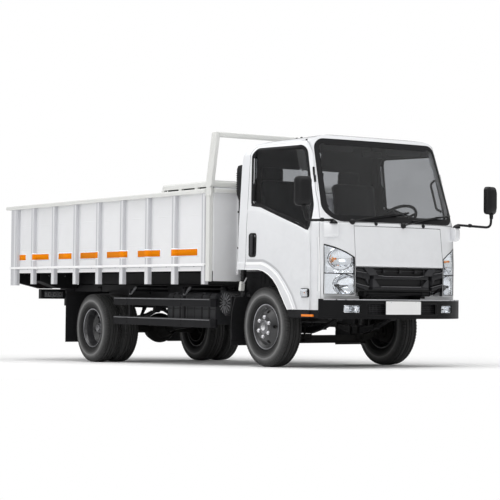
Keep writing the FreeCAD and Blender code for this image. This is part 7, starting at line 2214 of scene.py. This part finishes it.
# gusseted bearers under the back end of the bed
mb = MB()
for s in (-1, 1):
    mb.prism([(s * 0.358, 0.748), (s * 0.620, 0.748), (s * 0.860, 0.832), (s * 0.860, 0.935), (s * 0.358, 0.935)], "X", -5.020, -5.010, 0)
    mb.prism([(s * 0.358, 0.748), (s * 0.620, 0.748), (s * 0.860, 0.832), (s * 0.860, 0.935), (s * 0.358, 0.935)], "X", -4.830, -4.820, 0)
    mb.prism([(s * 0.358, 0.748), (s * 0.620, 0.748), (s * 0.860, 0.832), (s * 0.860, 0.836), (s * 0.620, 0.752), (s * 0.358, 0.752)], "X", -5.020, -4.820, 0)
    for k in range(4):
        mb.hexnut((-4.8195, s * (0.42 + 0.11 * k), 0.90), "X", 0.016, 0.006, 1, 1)
mb.obj("rear_bearers", "bed", [UNDER, NUT], bevel=0.001, seg=1)

# inner wheel housings under the cab
mb = MB()
for s in (-1, 1):
    P = [(-0.395, 0.940), (-0.395, 0.640), (-0.360, 0.660), (-0.300, 0.718), (-0.190, 0.787), (0.190, 0.787), (0.300, 0.718), (0.400, 0.605), (0.455, 0.565), (0.430, 0.610), (0.366, 0.700), (0.300, 0.785), (0.227, 0.850), (0.140, 0.900), (0.060, 0.930), (-0.022, 0.945)]
    mb.prism(P, "Y", s * 0.572, s * 0.566, 0)
    for k in range(5):
        x = -0.33 + 0.085 * k
        mb.box(x - 0.006, x + 0.006, s * 0.571, s * 0.577, 0.800, 0.925, 0)
    mb.tube(smooth_path([(-0.30, s * 0.580, 0.900), (-0.10, s * 0.580, 0.880), (0.02, s * 0.580, 0.840), (0.10, s * 0.580, 0.805)], False, 6), 0.006, 8, 1)
mb.obj("wheel_housings", "cab", [UNDER, HOSE], bevel=0.001, seg=1)
mb = MB()
for s in (-1, 1):
    mb.prism([(-0.402, 0.930), (-0.672, 0.930), (-0.672, 0.760), (-0.600, 0.720), (-0.600, 0.600), (-0.560, 0.560), (-0.470, 0.600), (-0.402, 0.655)], "Y", s * 0.572, s * 0.566, 0)
    for z in (0.70, 0.78, 0.86):
        mb.box(-0.590, -0.412, s * 0.571, s * 0.575, z - 0.005, z + 0.005, 0)
mb.obj("housing_rear", "chassis", [UNDER], bevel=0.001, seg=1)

# frame details: holes with collars, rivets, brake pipes
mb = MB()
for s in (-1, 1):
    for k in range(20):
        x = 0.80 - 0.30 * k
        if x < -5.15:
            continue
        for z in (0.590, 0.660):
            mb.lathe([(0.0, 0.0085), (0.003, 0.0080), (0.0055, 0.004), (0.006, 0.0)], (x, s * 0.350, z), "Y", 10, 0, sgn=s)
    for k in range(9):
        x = -1.30 - 0.42 * k
        mb.lathe([(0.0, 0.022), (0.0015, 0.022), (0.0015, 0.015), (-0.003, 0.015), (-0.003, 0.0)], (x, s * 0.350, 0.625), "Y", 18, 1, sgn=s)
    mb.tube(smooth_path([(0.85, s * 0.342, 0.55), (-1.0, s * 0.342, 0.552), (-3.0, s * 0.342, 0.552), (-3.9, s * 0.342, 0.56)], False, 8), 0.0045, 6, 2)
    # outer fishplates
    mb.box(-2.05, -1.60, s * 0.350, s * 0.356, 0.545, 0.705, 0)
    # subframe clamps
    for x in (-1.25, -2.25, -3.05, -4.25, -4.95):
        mb.box(x - 0.040, x + 0.040, s * 0.350, s * 0.358, 0.690, 0.775, 0)
        for dz in (0.705, 0.760):
            for dx in (-0.022, 0.022):
                mb.hexnut((x + dx, s * 0.358, dz), "Y", 0.018, 0.009, s, 0)
mb.obj("frame_details", "chassis", [FRAME, UNDER, HOSE], bevel=0.0008, seg=1, angle=40)
mb = MB()
# hoist oil tank and pump between the rails, hoses to the ram
mb.box(-1.92, -1.66, -0.24, -0.03, 0.60, 0.775, 0)
mb.lathe([(0.0, 0.0), (0.0, 0.030), (0.014, 0.028), (0.018, 0.0)], (-1.79, -0.13, 0.775), "Z", 16, 1)
mb.tube(smooth_path([(-1.92, -0.10, 0.66), (-2.10, -0.13, 0.62), (-2.28, -0.12, 0.60), (-2.40, -0.09, 0.625)], False, 8), 0.012, 8, 2)
mb.tube(smooth_path([(-1.66, -0.16, 0.64), (-1.40, -0.20, 0.60), (-1.15, -0.18, 0.58), (-1.02, -0.12, 0.60)], False, 8), 0.014, 8, 2)
mb.obj("hoist_pump", "chassis", [FRAME, TRIM, HOSE], bevel=0.008, seg=3)
# hoist ram: gland ring and end cap
F_, E_ = Vector((-2.450, 0, 0.625)), Vector((-4.450, 0, 0.868))
LD = (E_ - F_).length
dn = (E_ - F_).normalized()
T1 = Vector((0, 1, 0))
T2 = dn.cross(T1).normalized()


def ring_h(t, r, n=32):
    cc = F_ + dn * t
    return [cc + (T1 * math.cos(2 * math.pi * k / n) + T2 * math.sin(2 * math.pi * k / n)) * r for k in range(n)]


mb = MB()
mb.loft([ring_h(t, r) for t, r in ((LD - 0.235, 0.0625), (LD - 0.232, 0.0690), (LD - 0.196, 0.0690), (LD - 0.188, 0.0640), (LD - 0.188, 0.0415))], 0, caps=False)
mb.loft([ring_h(t, r) for t, r in ((0.060, 0.0625), (0.062, 0.0660), (0.085, 0.0660), (0.087, 0.0625))], 0, caps=False)
mb.obj("ram_collars", "hoist_barrel", [FRAME], angle=40)

# ------------------------------------------------------------------ axles
mb = MB()
for s in (-1, 1):
    # brake pipes on the rear axle
    mb.tube(smooth_path([(-3.350, s * 0.12, 0.560), (-3.345, s * 0.25, 0.462), (-3.345, s * 0.40, 0.452), (-3.350, s * 0.475, 0.440)], False, 6), 0.005, 6, 1)
# cover bolts and ribs on the axle bowl
for k in range(12):
    a = 2 * math.pi * k / 12
    mb.hexnut((-3.410 - 0.128, 0.118 * math.cos(a), 0.388 + 0.118 * math.sin(a)), "X", 0.018, 0.010, -1, 0)
mb.lathe([(0.0, 0.140), (0.010, 0.140), (0.012, 0.132), (0.040, 0.115), (0.062, 0.080), (0.072, 0.0)], (-3.410 - 0.122, 0, 0.388), "X", 36, 0, sgn=-1)
for k in range(10):
    a = 2 * math.pi * k / 10
    mb.hexnut((-3.410 + 0.120, 0.110 * math.cos(a), 0.388 + 0.110 * math.sin(a)), "X", 0.018, 0.010, 1, 0)
mb.lathe([(0.0, 0.128), (0.014, 0.128), (0.018, 0.112), (0.090, 0.082), (0.150, 0.072)], (-3.410 + 0.108, 0, 0.388), "X", 32, 0)
mb.lathe([(0.0, 0.0), (0.0, 0.058), (0.012, 0.058), (0.014, 0.030), (0.020, 0.0)], (-3.200, 0, 0.388), "X", 24, 0)
mb.obj("rear_axle_details", "chassis", [CAST, HOSE], M=MU, bevel=0.0008, seg=1, angle=40)
mb = MB()
for s in (-1, 1):
    mb.box(-0.075, 0.075, s * 0.320 - 0.040, s * 0.320 + 0.040, 0.240, 0.262, 0)
    mb.lathe([(0.0, 0.0), (0.0, 0.028), (0.010, 0.026), (0.012, 0.0)], (0, s * 0.600, 0.4455), "Z", 16, 0)
    mb.lathe([(0.0, 0.0), (0.0, 0.028), (0.010, 0.026), (0.012, 0.0)], (0, s * 0.600, 0.3305), "Z", 16, 0, sgn=-1)
mb.obj("front_axle_details", "chassis", [CAST], M=MU, bevel=0.002, seg=1, angle=40)
# ------------------------------------------------------------------ studio
def studio():
    sc = bpy.context.scene
    w = bpy.data.worlds.new("studio")
    sc.world = w
    w.use_nodes = True
    bg = w.node_tree.nodes["Background"]
    bg.inputs["Color"].default_value = (1.0, 1.0, 1.0, 1.0)
    bg.inputs["Strength"].default_value = 0.80
    lp = w.node_tree.nodes.new("ShaderNodeLightPath")
    mr = w.node_tree.nodes.new("ShaderNodeMapRange")
    mr.inputs["To Min"].default_value = 0.80
    mr.inputs["To Max"].default_value = 1.0
    mr.inputs["To Min"].default_value = 0.72
    w.node_tree.links.new(lp.outputs["Is Camera Ray"], mr.inputs["Value"])
    # what shiny parts mirror: dark walls near the horizon, bright ceiling
    tcw = w.node_tree.nodes.new("ShaderNodeTexCoord")
    spw = w.node_tree.nodes.new("ShaderNodeSeparateXYZ")
    w.node_tree.links.new(tcw.outputs["Generated"], spw.inputs[0])
    gz = w.node_tree.nodes.new("ShaderNodeMapRange")
    gz.interpolation_type = "SMOOTHSTEP"
    gz.inputs["From Min"].default_value = 0.10
    gz.inputs["From Max"].default_value = 0.75
    gz.inputs["To Min"].default_value = 0.16
    gz.inputs["To Max"].default_value = 1.15
    w.node_tree.links.new(spw.outputs["Z"], gz.inputs["Value"])
    mg = w.node_tree.nodes.new("ShaderNodeMix")
    mg.data_type = "FLOAT"
    inv = w.node_tree.nodes.new("ShaderNodeMath")
    inv.operation = "SUBTRACT"
    inv.inputs[0].default_value = 1.0
    w.node_tree.links.new(lp.outputs["Is Transmission Ray"], inv.inputs[1])
    gl = w.node_tree.nodes.new("ShaderNodeMath")
    gl.operation = "MULTIPLY"
    w.node_tree.links.new(lp.outputs["Is Glossy Ray"], gl.inputs[0])
    w.node_tree.links.new(inv.outputs[0], gl.inputs[1])
    w.node_tree.links.new(gl.outputs[0], mg.inputs["Factor"])
    w.node_tree.links.new(mr.outputs["Result"], mg.inputs["A"])
    w.node_tree.links.new(gz.outputs["Result"], mg.inputs["B"])
    w.node_tree.links.new(mg.outputs["Result"], bg.inputs["Strength"])
    sc.view_settings.view_transform = "Standard"
    sc.view_settings.look = "None"
    # floor
    f = MB()
    f.box(-60, 60, -60, 60, -0.02, -0.0005)
    me = bpy.data.meshes.new("studio_floor")
    R_ = 60.0
    me.from_pydata([(-R_, -R_, 0), (R_, -R_, 0), (R_, R_, 0), (-R_, R_, 0)], [], [(0, 1, 2, 3)])
    m, nt, b = _new("studio_floor_mat")
    b.inputs["Base Color"].default_value = (0.93, 0.93, 0.93, 1)
    b.inputs["Roughness"].default_value = 0.7
    b.inputs["Specular IOR Level"].default_value = 0.1
    tc = nt.nodes.new("ShaderNodeTexCoord")
    mp = nt.nodes.new("ShaderNodeMapping")
    mp.inputs["Scale"].default_value = (0.60, 1.0, 0.0)
    nt.links.new(tc.outputs["Object"], mp.inputs["Vector"])
    ln = nt.nodes.new("ShaderNodeVectorMath")
    ln.operation = "LENGTH"
    nt.links.new(mp.outputs["Vector"], ln.inputs[0])
    rg = nt.nodes.new("ShaderNodeMapRange")
    rg.interpolation_type = "SMOOTHSTEP"
    rg.inputs["From Min"].default_value = 1.9
    rg.inputs["From Max"].default_value = 5.0
    nt.links.new(ln.outputs["Value"], rg.inputs["Value"])
    em = nt.nodes.new("ShaderNodeEmission")
    em.inputs["Color"].default_value = (1, 1, 1, 1)
    em.inputs["Strength"].default_value = 1.0
    mxs = nt.nodes.new("ShaderNodeMixShader")
    outn = [n for n in nt.nodes if n.type == "OUTPUT_MATERIAL"][0]
    nt.links.new(rg.outputs["Result"], mxs.inputs["Fac"])
    nt.links.new(b.outputs[0], mxs.inputs[1])
    nt.links.new(em.outputs[0], mxs.inputs[2])
    nt.links.new(mxs.outputs[0], outn.inputs["Surface"])
    me.materials.append(m)
    o = bpy.data.objects.new("studio_floor", me)
    sc.collection.objects.link(o)
    o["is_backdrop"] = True

    def area(name, loc, look, sx, sy, power, col=(1, 1, 1)):
        L = bpy.data.lights.new(name, "AREA")
        L.shape = "RECTANGLE"
        L.size, L.size_y = sx, sy
        L.energy = power
        L.color = col
        ob = bpy.data.objects.new(name, L)
        ob.location = loc
        d = Vector(look) - Vector(loc)
        ob.rotation_mode = "QUATERNION"
        ob.rotation_quaternion = d.to_track_quat("-Z", "Y")
        sc.collection.objects.link(ob)
        ob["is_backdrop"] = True
        return ob

    area("key_top", (1.5, -2.0, 9.0), (0, 0, 1.0), 9.0, 7.0, 480)
    area("front_left", (11.0, -6.0, 4.5), (1.5, 0, 1.2), 5.0, 4.0, 110)
    area("side_right", (-2.0, -10.0, 5.0), (-0.5, 0, 1.0), 8.0, 3.5, 130)
    cam = bpy.data.cameras.new("cam")
    co = bpy.data.objects.new("cam", cam)
    sc.collection.objects.link(co)
    yaw, pitch, roll = 2.5651, 0.0493, -0.0037
    fwd = Vector((math.cos(yaw) * math.cos(pitch), math.sin(yaw) * math.cos(pitch), math.sin(pitch)))
    right = fwd.cross(Vector((0, 0, 1))).normalized()
    up = right.cross(fwd)
    r2 = right * math.cos(roll) + up * math.sin(roll)
    u2 = -right * math.sin(roll) + up * math.cos(roll)
    M = Matrix((r2, u2, -fwd)).transposed().to_4x4()
    M.translation = Vector((12.9964 + AX, -9.4041, 0.3608))
    co.rotation_mode = "QUATERNION"
    co.matrix_world = M
    cam.sensor_width = 36.0
    cam.lens = 1614.612 / 500 * 36.0
    cam.clip_end = 200
    sc.camera = co
    co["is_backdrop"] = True


studio()
s1 = {"cad_low": list(LO), "cad_high": list(HI)}
lo2, hi2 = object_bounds()
s1["low"], s1["high"] = list(lo2), list(hi2)
